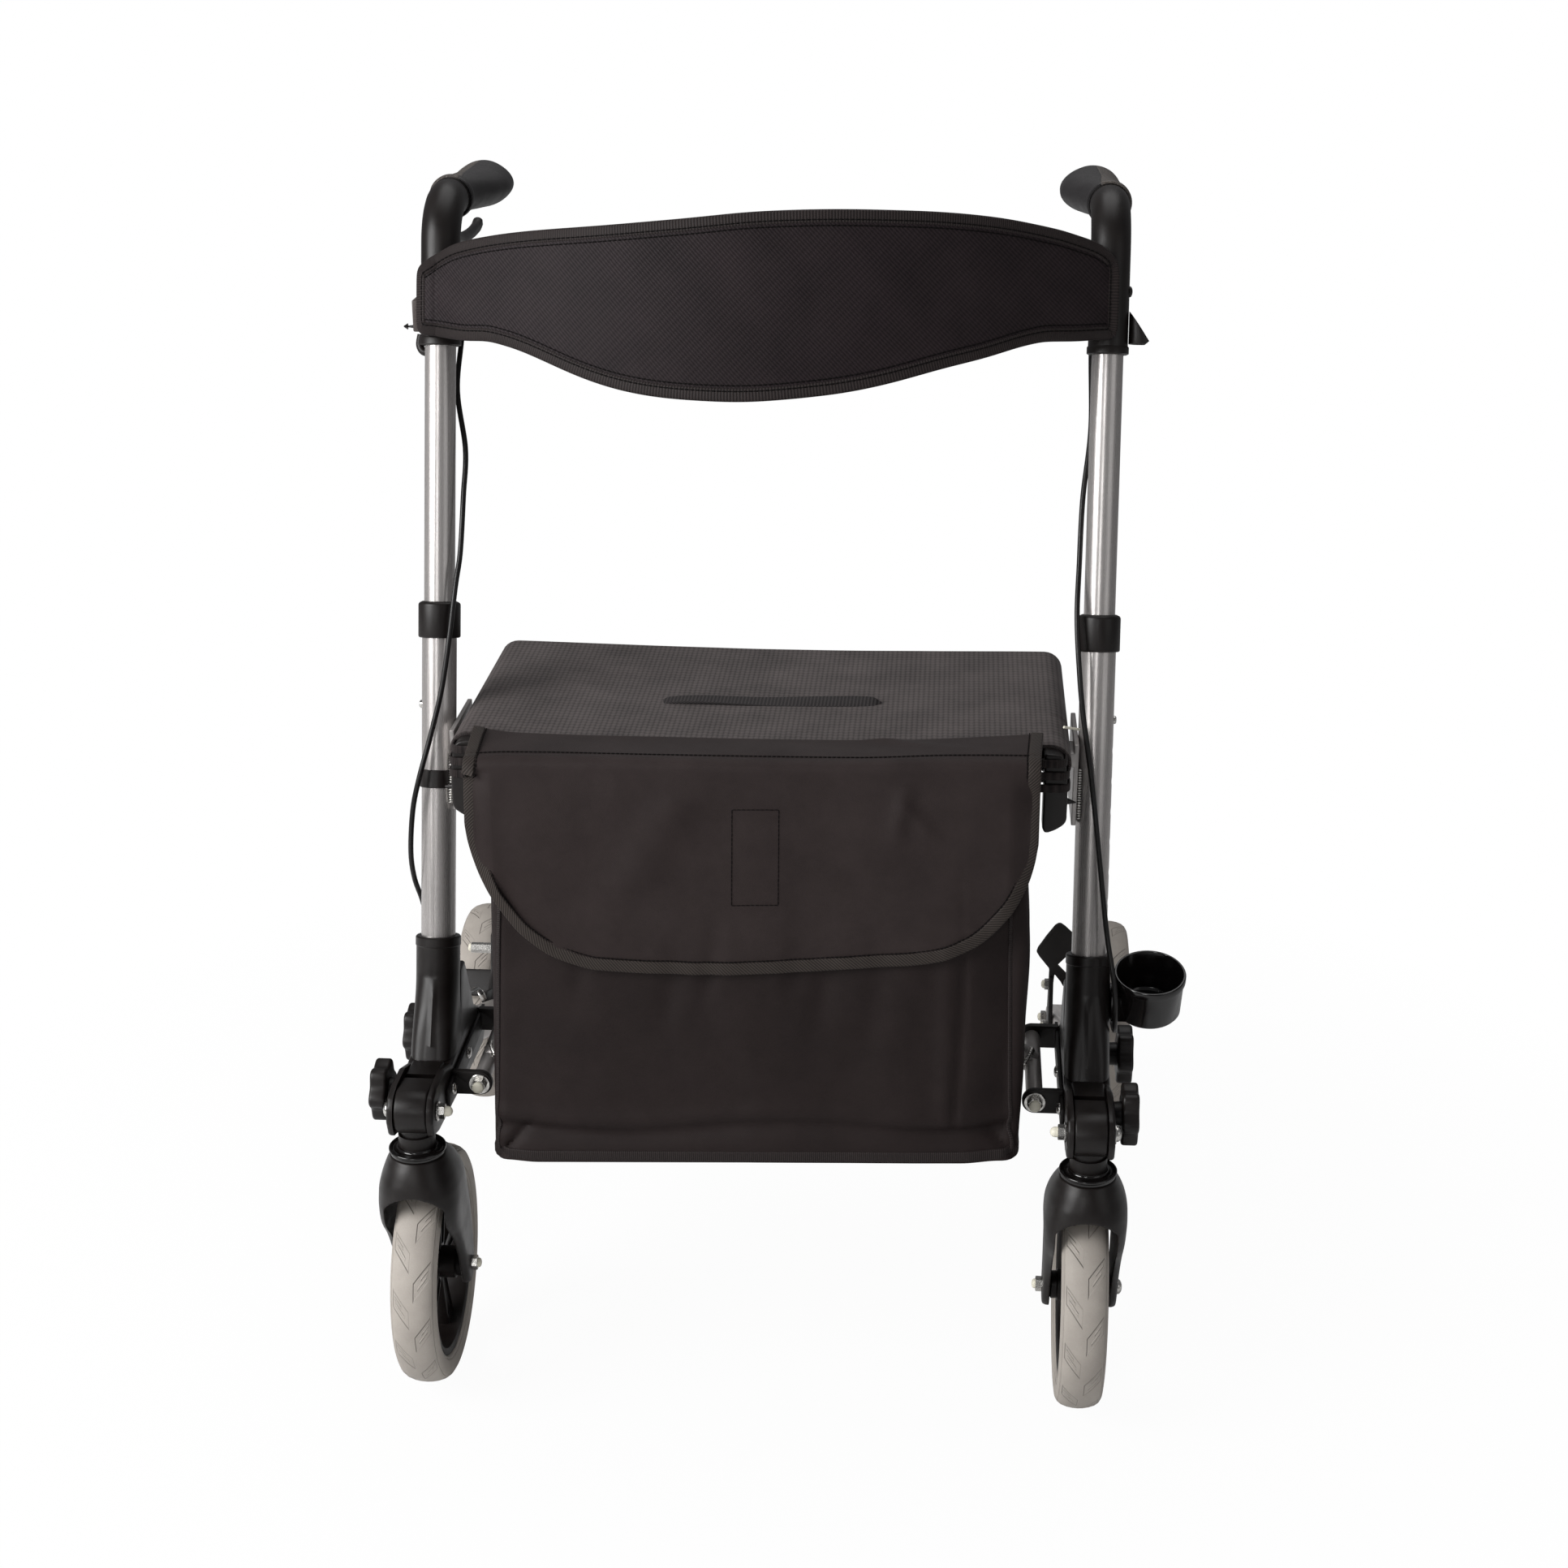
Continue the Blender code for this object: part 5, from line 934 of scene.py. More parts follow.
@dataclass
class Hardware:
    """Nuts, bolts, caps, screws and threads that several pieces use."""

    works: Works
    nut_radius: float = 0.0063
    nut_height: float = 0.0052
    cap_radius: float = 0.004
    cap_height: float = 0.0032

    def disc(
            self, place: Point, way: Point, radius: float, height: float,
            edge: float = 0.0004) -> bpy.types.Object:
        """Washer or plain head with eased edges."""
        profile = [
            (0.0, 0.0), (radius - edge, 0.0), (radius, edge), (radius, height - edge),
            (radius - edge, height), (0.0, height),
        ]
        return self.works.bench.turned(profile, place, way, 32, closed=False)

    def nut(self, place: Point, way: Point, radius: float = 0.0, height: float = 0.0) -> bpy.types.Object:
        """Hexagon nut with chamfered corners, its foot at a place."""
        bench = self.works.bench
        radius = radius or self.nut_radius
        height = height or self.nut_height
        corners = arc((0.0, 0.0), radius, 0.0, 300.0, 6)
        body = bench.slab(corners, "Z", 0.0, height)
        slope = radius * 0.13
        chamfer = bench.turned(
            [
                (0.0, 0.0), (radius * 0.88, 0.0), (radius * 1.02, slope * 0.6),
                (radius * 1.02, height - slope * 0.6), (radius * 0.88, height), (0.0, height),
            ],
            CENTRE, UP, 48, closed=False)
        body = bench.common(body, chamfer)
        body.data.transform(stand(place, way))
        return body

    def cap(self, place: Point, way: Point, radius: float = 0.0, height: float = 0.0) -> bpy.types.Object:
        """Rounded plastic cap on a bolt's end."""
        radius = radius or self.cap_radius
        height = height or self.cap_height
        profile = [(0.0, 0.0), (radius, 0.0), (radius, height * 0.35)]
        profile += [
            (radius * math.cos(a), height * (0.35 + 0.65 * math.sin(a)))
            for a in (math.radians(step) for step in (20, 40, 60, 75))
        ]
        profile.append((0.0, height))
        return self.works.bench.turned(profile, place, way, 28, closed=False)

    def dome(self, place: Point, way: Point, radius: float, height: float) -> bpy.types.Object:
        """Round bolt head."""
        profile = [(0.0, 0.0), (radius, 0.0), (radius, height * 0.25)]
        profile += [
            (radius * math.cos(a), height * (0.25 + 0.75 * math.sin(a)))
            for a in (math.radians(step) for step in (18, 36, 54, 70))
        ]
        profile.append((0.0, height))
        return self.works.bench.turned(profile, place, way, 32, closed=False)

    def stitches(
            self, points: Sequence[Point], pitch: float, radius: float,
            share: float = 0.78) -> bpy.types.Object:
        """Row of sewn stitches along a run of points, one closed bead a stitch."""
        length = sum((Vector(b) - Vector(a)).length for a, b in zip(points, points[1:]))
        count = max(2, round(length / pitch))
        rings = 6
        run = smooth_route(points, count * rings + 1)

        def place(around: float, up: float) -> Vector:
            step = up * count * rings
            index = min(int(round(step)), count * rings)
            centre = run[index]
            near, far = run[max(index - 1, 0)], run[min(index + 1, count * rings)]
            way = (far - near).normalized()
            side = way.cross(Vector(UP) if abs(way.z) < 0.9 else Vector(OUT)).normalized()
            rise = side.cross(way)
            phase = (index % rings) / rings
            swell = radius * (0.18 + 0.82 * math.sin(math.pi * phase) ** 0.5 if 0.0 < phase else 0.18)
            turn = math.tau * around
            return centre + side * (swell * math.cos(turn)) + rise * (swell * math.sin(turn))

        return self.works.bench.wrapped(6, count * rings, place)

    def through_bolt(
            self, y: float, z: float, head_u: float, nut_u: float, shank: float, head_radius: float,
            head: float) -> tuple[bpy.types.Object, bpy.types.Object]:
        """Bolt across the side: round head outboard, nut and cap inboard.

        Args:
            y: Place of its axis.
            z: Height of its axis.
            head_u: Face that the head sits on.
            nut_u: Face that the nut sits on.
            shank: Radius of the shank.
            head_radius: Radius of the head.
            head: Height of the head.

        Returns:
            The metal and the cap.
        """
        bench = self.works.bench
        metal = bench.join(
            bench.rod((nut_u - self.nut_height, y, z), (head_u, y, z), shank),
            self.dome((head_u, y, z), OUT, head_radius, head), self.nut((nut_u, y, z), IN))
        return metal, self.cap((nut_u - self.nut_height, y, z), IN)


# Wheels

@dataclass(frozen=True)
class Tread(Finish):
    """Tyre rubber with leaf-shaped grooves that sweep in from alternate edges, with painted shade along their
    outlines and painted highlight on their raised strokes.
    """

    name: str
    colour: tuple[float, float, float]
    dust: tuple[float, float, float]
    rough: float
    pitch: float
    half: float
    slot: str = "tyre"

    def dress(self, shader: Shader) -> None:
        """Build the nodes."""
        u, v = shader.cloth()
        place = shader.place()
        cloud = shader.noise(place, 45.0, 5.0, 0.6)
        fine = shader.noise(place, 900.0, 3.0, 0.6)
        leaves, strokes = [], []
        for side, shift in ((1.0, 0.0), (-1.0, 0.5)):
            inward = v * (side / self.half)
            step = 0.5 - (u / self.pitch + shift).fraction()
            low = step - (inward * 0.53 - 0.375)
            high = (inward * 0.5 - 0.05) - step
            inside = low.least(high).least((inward - 0.12) * 0.8).least((0.86 - inward) * 0.8)
            band = (0.5 - abs(inward - 0.52) * 2.4).least(0.035 - abs(low - 0.12))
            second = (0.4 - abs(inward - 0.62) * 2.4).least(0.03 - abs(low - 0.215))
            leaves.append(inside)
            strokes.append(band.most(second))
        leaf, stroke = leaves[0].most(leaves[1]), strokes[0].most(strokes[1])
        sunk = leaf.span(-0.012, 0.02)
        # Mask of the leaf outlines, which are painted darker as shade.
        outline = (0.02 - abs(leaf)).span(0.0, 0.016)
        ridge = stroke.span(0.0, 0.018)
        line = (0.00045 - abs(abs(v) - self.half * 0.97)).span(0.0, 0.0003)
        height = fine * 0.1 - sunk * 0.6 + ridge * 0.7 - line * 0.5
        # Painted shade darkens the leaf outlines, standing in for the shadow in the engraved lines, and
        # painted highlight lightens the raised strokes.
        darker = tuple(c * 0.45 for c in self.colour)
        paler = tuple(min(c * 1.25, 1.0) for c in self.colour)
        base = shader.blend(cloud.span(0.3, 0.75) * 0.6 + fine * 0.3, self.colour, self.dust)
        outline_shaded = shader.blend(outline * 0.55, base, darker)
        shader.set(
            Base_Color=shader.blend(ridge * 0.4, outline_shaded, paler),
            Roughness=fine.span(0.2, 0.8, self.rough - 0.08, self.rough + 0.08),
            Specular_IOR_Level=0.35,
            Normal=shader.bump(height, 0.0012, 1.0))


TREAD = Tread("tyre_tread", tint(172, 165, 157), tint(150, 143, 136), 0.6, 0.04833, 0.0175)


@dataclass
class Wheel:
    """Solid tyre on a moulded rim, built once about the origin and copied to its four places."""

    works: Works
    radius: float = WHEEL_RADIUS
    half: float = 0.019
    seat_radius: float = 0.078
    seat_half: float = 0.015
    ring: float = 0.0062
    hub_radius: float = 0.0135
    spokes: int = 5
    spoke_half: tuple[float, float] = (0.007, 0.0105)
    spoke_thick: float = 0.0055
    channel: float = 0.0024
    bore: float = 0.0043
    across: Matrix = field(default_factory=lambda: Matrix.Rotation(math.radians(90.0), 4, "Y"))

    def tyre(self) -> bpy.types.Object:
        """Tyre with a crowned tread and bulging walls."""
        side = [
            (self.seat_radius, self.seat_half), (self.seat_radius + 0.0012, self.seat_half + 0.0014),
            (self.seat_radius + 0.005, self.half - 0.0009), (self.radius * 0.88, self.half),
            (self.radius * 0.918, self.half - 0.0005), (self.radius * 0.948, self.half * 0.885),
            (self.radius * 0.972, self.half * 0.72), (self.radius * 0.989, self.half * 0.47),
            (self.radius * 0.9975, self.half * 0.23),
        ]
        profile = side + [(self.radius, 0.0)] + [(radius, -half) for radius, half in reversed(side)]
        tyre = self.works.bench.turned(profile, CENTRE, UP, 96)
        while tyre.data.uv_layers:
            tyre.data.uv_layers.remove(tyre.data.uv_layers[0])
        layer = tyre.data.uv_layers.new(name="tread")
        for face in tyre.data.polygons:
            turns = []
            for loop in face.loop_indices:
                place = tyre.data.vertices[tyre.data.loops[loop].vertex_index].co
                turns.append(math.atan2(place.y, place.x))
            wrap = max(turns) - min(turns) > math.pi
            for loop, turn in zip(face.loop_indices, turns):
                place = tyre.data.vertices[tyre.data.loops[loop].vertex_index].co
                turn += math.tau if wrap and turn < 0.0 else 0.0
                layer.data[loop].uv = (turn * self.radius, place.z)
        tyre.data.transform(self.across)
        return tyre

    def spoke(self) -> bpy.types.Object:
        """Spoke with a channel down each face, between raised edges."""
        bench = self.works.bench
        inner = self.seat_radius - 0.0003 - self.ring
        root, tip = self.spoke_half
        low, high = self.hub_radius * 0.6, inner + self.ring * 0.5
        body = bench.slab([(-root, low), (root, low), (tip, high), (-tip, high)], "Z",
                          -self.spoke_thick, self.spoke_thick)
        bench.bevel(body, 0.0009, 2)
        rim = 0.0022
        low, high = self.hub_radius + 0.002, inner - 0.0022
        root, tip = root - rim, tip - rim
        pocket = [(-root, low), (root, low), (tip, high), (-tip, high)]
        cutters = [
            bench.slab(pocket, "Z", self.spoke_thick - self.channel, self.spoke_thick * 2.0),
            bench.slab(pocket, "Z", -self.spoke_thick * 2.0, self.channel - self.spoke_thick),
        ]
        for cutter in cutters:
            bench.bevel(cutter, 0.001, 2)
        return bench.carve(body, *cutters)

    def rim(self, hub_half: float) -> bpy.types.Object:
        """Rim with lips, spokes and a hub with raised bosses."""
        bench = self.works.bench
        outer = self.seat_radius - 0.0003
        inner = outer - self.ring
        half = self.seat_half
        lip = half + 0.0008
        profile = [
            (outer, -half), (outer, half), (outer - 0.0014, lip), (outer - 0.0036, lip),
            (inner + 0.0006, half - 0.0008), (inner, half - 0.004), (inner, 0.004 - half),
            (inner + 0.0006, 0.0008 - half), (outer - 0.0036, -lip), (outer - 0.0014, -lip),
        ]
        ring = bench.turned(profile, CENTRE, UP, 96)
        boss = self.hub_radius
        hub_profile = [
            (self.bore, -hub_half), (boss - 0.0035, -hub_half), (boss - 0.002, 0.001 - hub_half),
            (boss - 0.002, 0.0052 - hub_half), (boss, 0.0062 - hub_half), (boss, hub_half - 0.0062),
            (boss - 0.002, hub_half - 0.0052), (boss - 0.002, hub_half - 0.001), (boss - 0.0035, hub_half),
            (self.bore, hub_half),
        ]
        hub = bench.turned(hub_profile, CENTRE, UP, 48)
        spoke = self.spoke()
        arms = [
            bench.copy(spoke, Matrix.Rotation(math.tau * step / self.spokes, 4, "Z"))
            for step in range(1, self.spokes)
        ]
        rim = bench.fuse(ring, hub, spoke, *arms)
        bore = bench.rod((0.0, 0.0, -0.05), (0.0, 0.0, 0.05), self.bore)
        bench.carve(rim, bore)
        rim.data.transform(self.across)
        return rim

    def build(self) -> None:
        """Copy tyre and rim to the casters and the rear legs."""
        places = (
            ("front", 0.0244, (0.0, FRONT_AXLE_Y, self.radius)),
            ("rear", 0.016, (REAR_WHEEL_U, REAR_AXLE_Y, self.radius)),
        )
        tyre = self.tyre()
        for end, hub_half, place in places:
            shift = Matrix.Translation(place)
            rim = self.rim(hub_half)
            rim.data.transform(shift)
            self.works.pair(rim, f"{end}_rim_dress", SATIN, f"{end}_wheel", [f"{end}_rim"], 40.0)
            twin = self.works.bench.copy(tyre, shift)
            self.works.pair(twin, f"{end}_tyre_dress", TREAD, f"{end}_wheel", [f"{end}_tyre"], 50.0)
        self.works.bench.drop(tyre)
        log.info("wheels: 4 tyres, 4 rims with %d spokes", self.spokes)


@dataclass
class Caster:
    """Hinged caster block with its flange, the fork and the wheel's axle bolt."""

    works: Works
    hardware: Hardware
    block_half: float = 0.0135
    drum: float = 0.0185
    reach: float = 0.0635
    rear_z: tuple[float, float] = (0.2519, 0.2824)
    neck_radius: float = 0.015
    neck_top_z: float = 0.2466
    flange_radius: float = 0.023
    flange: float = 0.0062
    stem_radius: float = 0.005
    stem_top_z: float = 0.2555
    knob_place: tuple[float, float] = (0.027, 0.27)
    knob_shank: float = 0.003
    fork_gap: float = 0.0247
    fork_room: float = 0.1045
    fork_sections: tuple[tuple[float, ...], ...] = (
        (0.083, 0.0304, 0.038, 0.044, 4.0), (0.085, 0.0307, 0.031, 0.0505, 5.0),
        (0.09, 0.031, 0.027, 0.0545, 6.0), (0.1, 0.0311, 0.0232, 0.0582, 8.0),
        (0.12, 0.0311, 0.015, 0.058, 8.0), (0.14, 0.0314, 0.003, 0.057, 7.0),
        (0.154, 0.0318, -0.009, 0.056, 5.5), (0.164, 0.0323, -0.02, 0.0552, 4.5),
        (0.172, 0.0328, -0.0275, 0.0545, 3.8), (0.18, 0.0333, -0.0316, 0.0535, 3.3),
        (0.189, 0.0337, -0.0334, 0.0525, 2.9), (0.198, 0.0334, -0.0334, 0.051, 2.6),
        (0.207, 0.0316, -0.032, 0.0485, 2.4), (0.215, 0.0289, -0.0295, 0.044, 2.2),
        (0.2215, 0.0262, -0.0266, 0.037, 2.1), (0.2262, 0.0237, -0.0238, 0.0285, 2.0),
        (0.2285, 0.0222, -0.0222, 0.0222, 2.0))
    arch_radius: float = 0.0285
    arch_z: float = 0.1733
    axle_face: float = 0.0311

    def block(self) -> bpy.types.Object:
        """Block with its drum round the hinge bolt, its neck and the slot for the knob's shank."""
        bench = self.works.bench
        start, end = (math.degrees(math.asin((z - HINGE[1]) / self.reach)) for z in self.rear_z)
        outline = arc(HINGE, self.drum, 90.0, 250.0, 24) + arc(HINGE, self.reach, start, end, 9)
        body = bench.bevel(bench.slab(outline, "X", -self.block_half, self.block_half), 0.0022, 3, 30.0)
        neck = bench.rod(
            (0.0, 0.0, CROWN_TOP_Z + self.flange), (0.0, 0.0, self.neck_top_z), self.neck_radius, 48)
        core = bench.rod((0.0, 0.0, self.neck_top_z - 0.004), (0.0, 0.0, self.rear_z[0] + 0.003), 0.013, 48)
        body = bench.fuse(body, neck, core)
        far = math.hypot(self.knob_place[0] - HINGE[0], self.knob_place[1] - HINGE[1])
        gap = self.knob_shank + FIT
        hook = arc(HINGE, far - gap, -8.0, 70.0, 16) + arc(HINGE, far + gap, 70.0, -8.0, 16)
        stem = bench.rod((0.0, 0.0, 0.22), (0.0, 0.0, self.stem_top_z + FIT), self.stem_radius + FIT)
        return bench.carve(body, bench.slab(hook, "X", -0.03, 0.03), stem)

    def dish(self) -> bpy.types.Object:
        """Shiny flange over the fork's crown, with a step up to the neck."""
        steps = (
            (-0.0019, 0.0), (-0.001, 0.0006), (-0.001, 0.0024), (-0.0007, 0.0028), (0.0, 0.0032),
            (0.0003, 0.004), (0.0002, 0.005), (-0.0004, 0.0056), (-0.0012, 0.0056), (-0.0022, 0.0048),
            (-0.0034, 0.0044))
        top = FIT + self.flange + 0.001
        profile = [
            (self.stem_radius + FIT, FIT), *((self.flange_radius + out, FIT + up) for out, up in steps),
            (self.neck_radius + 0.0012, FIT + 0.0046), (self.neck_radius + 0.0002, FIT + 0.0056),
            (self.neck_radius, top), (self.stem_radius + FIT, top),
        ]
        return self.works.bench.turned(profile, (0.0, 0.0, CROWN_TOP_Z), UP, 64)

    def fork(self) -> bpy.types.Object:
        """Fork in one with its domed crown: arched room for the wheel and recesses along the legs."""
        bench = self.works.bench
        low, high = self.fork_sections[0][0], self.fork_sections[-1][0]

        def place(share: float, up: float) -> Vector:
            z = lerp(low, high, up)
            half, front, back, square = along(self.fork_sections, z)
            x, y = squircle(math.tau * share, half, (back - front) / 2.0, square)
            return Vector((x, (front + back) / 2.0 + y, z))

        fork = bench.wrapped(96, 90, place)
        room = bench.rod(
            (-self.fork_gap, FRONT_AXLE_Y, WHEEL_RADIUS), (self.fork_gap, FRONT_AXLE_Y, WHEEL_RADIUS),
            self.fork_room, 96)
        arch = bench.rod((0.0, -0.06, self.arch_z), (0.0, 0.012, self.arch_z), self.arch_radius, 64)
        wide = bench.block((-self.fork_gap, -0.07, 0.1), (self.fork_gap, 0.1, 0.25))
        bench.carve(fork, room, bench.common(arch, wide))
        recess = [
            (0.034, 0.207), (0.044, 0.193), (0.0485, 0.172), (0.0495, 0.146), (0.0462, 0.142),
            (0.0445, 0.168), (0.0405, 0.187), (0.0325, 0.2),
        ]
        for side in (-1.0, 1.0):
            bench.carve(fork, bench.slab(recess, "X", *sorted((side * 0.0306, side * 0.05))))
        bench.melt(fork, 0.001, 4)
        bench.carve(fork, bench.rod(
            (-0.05, FRONT_AXLE_Y, WHEEL_RADIUS), (0.05, FRONT_AXLE_Y, WHEEL_RADIUS), 0.0043))
        return fork

    def build(self) -> None:
        """Build both casters."""
        works = self.works
        works.pair(self.block(), "caster_block_dress", BLACK, "caster", ["caster_block"])
        works.pair(self.dish(), "swivel_dish", GLOSS, "caster", angle=50.0)
        works.pair(self.fork(), "fork_dress", SATIN, "fork", ["caster_fork"], 60.0)
        stem = works.bench.rod(
            (0.0, 0.0, CROWN_TOP_Z - 0.004), (0.0, 0.0, self.stem_top_z), self.stem_radius)
        works.bench.bevel(stem, 0.0008)
        works.pair(stem, "swivel_stem", ZINC, "fork")
        metal, cap = self.hardware.through_bolt(
            FRONT_AXLE_Y, WHEEL_RADIUS, self.axle_face, -self.axle_face, 0.004, 0.0063, 0.0045)
        works.pair(metal, "front_axle_dress", ZINC, "fork", ["front_axle"])
        works.pair(cap, "front_axle_cap", CREAM, "fork")
        log.info("casters: block, dish, fork, stem and axle on each side")


# Side frames

@dataclass
class SideFrame:
    """Tubes, collar, snap button, foot moulding, rear leg and their hardware."""

    works: Works
    hardware: Hardware
    main_wall: float = 0.0013
    main_z: tuple[float, float] = (0.3, 0.63)
    height_wall: float = 0.0012
    height_z: tuple[float, float] = (0.48, 0.92)
    button_z: float = 0.5553
    button_radius: float = 0.0034
    button_proud: float = 0.0022
    hole_pitch: float = 0.025
    holes: int = 7
    collar_radius: float = 0.0174
    collar_z: tuple[float, float] = (0.609, 0.638)
    half: float = 0.019
    socket_radius: float = 0.0183
    socket_top_z: float = 0.368
    slot_half: float = 0.0138
    slot_reach: float = 0.0638
    keel_line: tuple[tuple[float, float], tuple[float, float]] = ((0.0606, 0.2792), (0.0955, 0.3458))
    ridge: float = 0.0013
    outline: tuple[tuple[float, float], ...] = (
        (0.112, 0.34), (0.1, 0.284), (0.06, 0.278), (0.03, 0.2885), (-0.0005, 0.289), (-0.016, 0.286),
        (-0.0225, 0.279), (-0.0255, 0.267), (-0.02, 0.253), (0.0, 0.2475), (0.05, 0.243), (0.12, 0.236),
        (0.19, 0.231), (0.203, 0.24), (0.203, 0.256), (0.192, 0.266), (0.16, 0.285), (0.131, 0.34))
    leg_half: float = 0.0135
    leg_depth: float = 0.013
    leg_corner: float = 0.0045
    leg_line: tuple[tuple[float, float], ...] = ((0.0925, 0.2445), (0.19, 0.2445), (0.544, 0.1))
    stud: tuple[float, float] = (0.405, 0.157)

    def tube(
            self, outer: float, wall: float, span_z: tuple[float, float],
            holes: Sequence[float]) -> bpy.types.Object:
        """Leaned tube between two heights, with button holes in its outer side."""
        bench = self.works.bench
        length = (span_z[1] - span_z[0]) / math.cos(LEAN)
        edge = wall * 0.3
        profile = [
            (outer, edge), (outer, length - edge), (outer - edge, length), (outer - wall, length),
            (outer - wall, 0.0), (outer - edge, 0.0),
        ]
        tube = bench.turned(profile, on_tube(span_z[0]), tube_way(), 64)
        cutters = []
        for z in holes:
            centre = on_tube(z)
            cutters.append(bench.rod(
                centre + Vector((outer * 0.5, 0.0, 0.0)), centre + Vector((outer * 1.5, 0.0, 0.0)),
                self.button_radius + FIT, 24))
        return bench.carve(tube, *cutters)

    def collar(self) -> bpy.types.Object:
        """Sleeve on the main tube's top, with a round shoulder."""
        low, high = self.collar_z
        top = (high - low) / math.cos(LEAN)
        step = (self.main_z[1] + FIT - low) / math.cos(LEAN)
        outer = self.collar_radius
        profile = [(MAIN_RADIUS + FIT, 0.0), (outer - 0.0011, 0.0), (outer - 0.0003, 0.0005), (outer, 0.0014)]
        profile += arc((outer - 0.0029, top - 0.0034), 0.0029, 0.0, 90.0, 7)
        profile[-1] = (outer - 0.0029, top - 0.0002)
        profile += [
            (HEIGHT_RADIUS + 0.0012, top), (HEIGHT_RADIUS + FIT, top - 0.0006), (HEIGHT_RADIUS + FIT, step),
            (MAIN_RADIUS + FIT, step),
        ]
        return self.works.bench.turned(profile, on_tube(low), tube_way(), 64)

    def button(self) -> bpy.types.Object:
        """Snap button on its bent leaf."""
        bench = self.works.bench
        place = on_tube(self.button_z)
        foot_u = 0.0087
        height = MAIN_RADIUS + self.button_proud - foot_u
        radius = self.button_radius
        profile = [
            (0.0, 0.0), (radius, 0.0), (radius, height - 0.0016), (radius * 0.93, height - 0.0008),
            (radius * 0.7, height - 0.0002), (0.0, height),
        ]
        dome = bench.turned(profile, place + Vector((foot_u, 0.0, 0.0)), OUT, 32, closed=False)
        leaf = bench.block((0.0087, -0.0035, -0.034), (0.0096, 0.0035, 0.0054))
        bench.bevel(leaf, 0.0004, 2)
        leaf.data.transform(Matrix.Translation(place) @ Matrix.Rotation(-LEAN, 4, "X"))
        return bench.join(dome, leaf)

    def moulding(self) -> bpy.types.Object:
        """Foot moulding: cheeks round the caster block, socket with a lip, channel for the leg."""
        bench = self.works.bench
        body = bench.bevel(bench.slab(self.outline, "X", -self.half, self.half), 0.0026, 3, 12.0)
        foot = on_tube(self.main_z[0])
        way = tube_way()
        length = (self.socket_top_z - self.main_z[0]) / math.cos(LEAN)
        radius = self.socket_radius
        profile = [
            (0.0, 0.0), (radius, 0.0), (radius, length - 0.0086), (radius + 0.0006, length - 0.0078),
            (radius + 0.0006, length - 0.0012), (radius - 0.0004, length), (0.0, length),
        ]
        socket = bench.turned(profile, foot, way, 64, closed=False)
        bench.fuse(body, socket, self.keel())
        slot = bench.rod((-self.slot_half, *HINGE), (self.slot_half, *HINGE), self.slot_reach, 96)
        channel = bench.block((-self.slot_half, 0.0922, 0.19), (self.slot_half, 0.22, 0.2578))
        bore = bench.rod(foot - way * FIT, on_tube(self.socket_top_z + 0.03), MAIN_RADIUS + FIT, 64)
        hinge = bench.rod((-0.03, *HINGE), (0.03, *HINGE), 0.0038, 32)
        return bench.carve(body, slot, channel, bore, hinge)

    def keel(self) -> bpy.types.Object:
        """Front of the moulding: square over the cheeks, round at the socket, a ridge down its middle."""
        (low_y, low_z), (high_y, high_z) = self.keel_line

        def place(share: float, up: float) -> Vector:
            z = lerp(low_z, high_z, up)
            axis = on_tube(z).y
            reach = max(axis - lerp(low_y, high_y, up), self.socket_radius / math.cos(LEAN))
            half = lerp(self.half, self.socket_radius, ease(up * 1.4))
            square = lerp(4.2, 2.0, ease(up * 1.15))
            turn = math.tau * share
            ahead = math.cos(turn) > 0.0
            depth = reach if ahead else self.socket_radius / math.cos(LEAN)
            y, x = squircle(turn, depth, half, square)
            ridge = self.ridge * max(0.0, 1.0 - abs(x) / 0.0035) * ease((0.94 - up) / 0.25) if ahead else 0.0
            return Vector((x, axis - y - ridge, z))

        return self.works.bench.wrapped(120, 40, place)

    def leg(self) -> bpy.types.Object:
        """Rectangular rear leg with round corners, one bend and a round end at the axle."""
        start, bend, end = (Vector((0.0, *point)) for point in self.leg_line)
        first, last = (bend - start).normalized(), (end - bend).normalized()
        reach = 0.02
        path = [start.lerp(bend - first * reach, i / 6) for i in range(7)]
        for i in range(1, 8):
            share = i / 8
            path.append(
                (bend - first * reach) * (1.0 - share) ** 2 + bend * 2.0 * share * (1.0 - share)
                + (bend + last * reach) * share ** 2)
        path += [(bend + last * reach).lerp(end, i / 12) for i in range(13)]
        depths = [self.leg_depth] * len(path)
        for i in range(1, 9):
            turn = math.radians(90.0 * i / 8.0)
            path.append(end + last * (self.leg_depth * math.sin(turn)))
            depths.append(max(self.leg_depth * math.cos(turn), 0.0006))
        steps = len(path) - 1
        around = 32

        def place(share: float, up: float) -> Vector:
            index = round(up * steps)
            near, far = path[max(index - 1, 0)], path[min(index + 1, steps)]
            way = (far - near).normalized()
            up_way = Vector(OUT).cross(way).normalized()
            corner = min(self.leg_corner, depths[index] * 0.98)
            ring = rounded(self.leg_half, depths[index], corner, 8)
            a, b = ring[round(share * around) % around]
            return path[index] + Vector((a, 0.0, 0.0)) + up_way * b

        leg = self.works.bench.wrapped(around, steps, place)
        y, z = self.stud
        face = self.leg_half
        studs = [
            self.works.bench.rod((face - 0.002, y, z), (face + 0.0046, y, z), 0.003),
            self.hardware.dome((face + 0.0046, y, z), OUT, 0.006, 0.0018),
        ]
        return self.works.bench.join(leg, *studs)

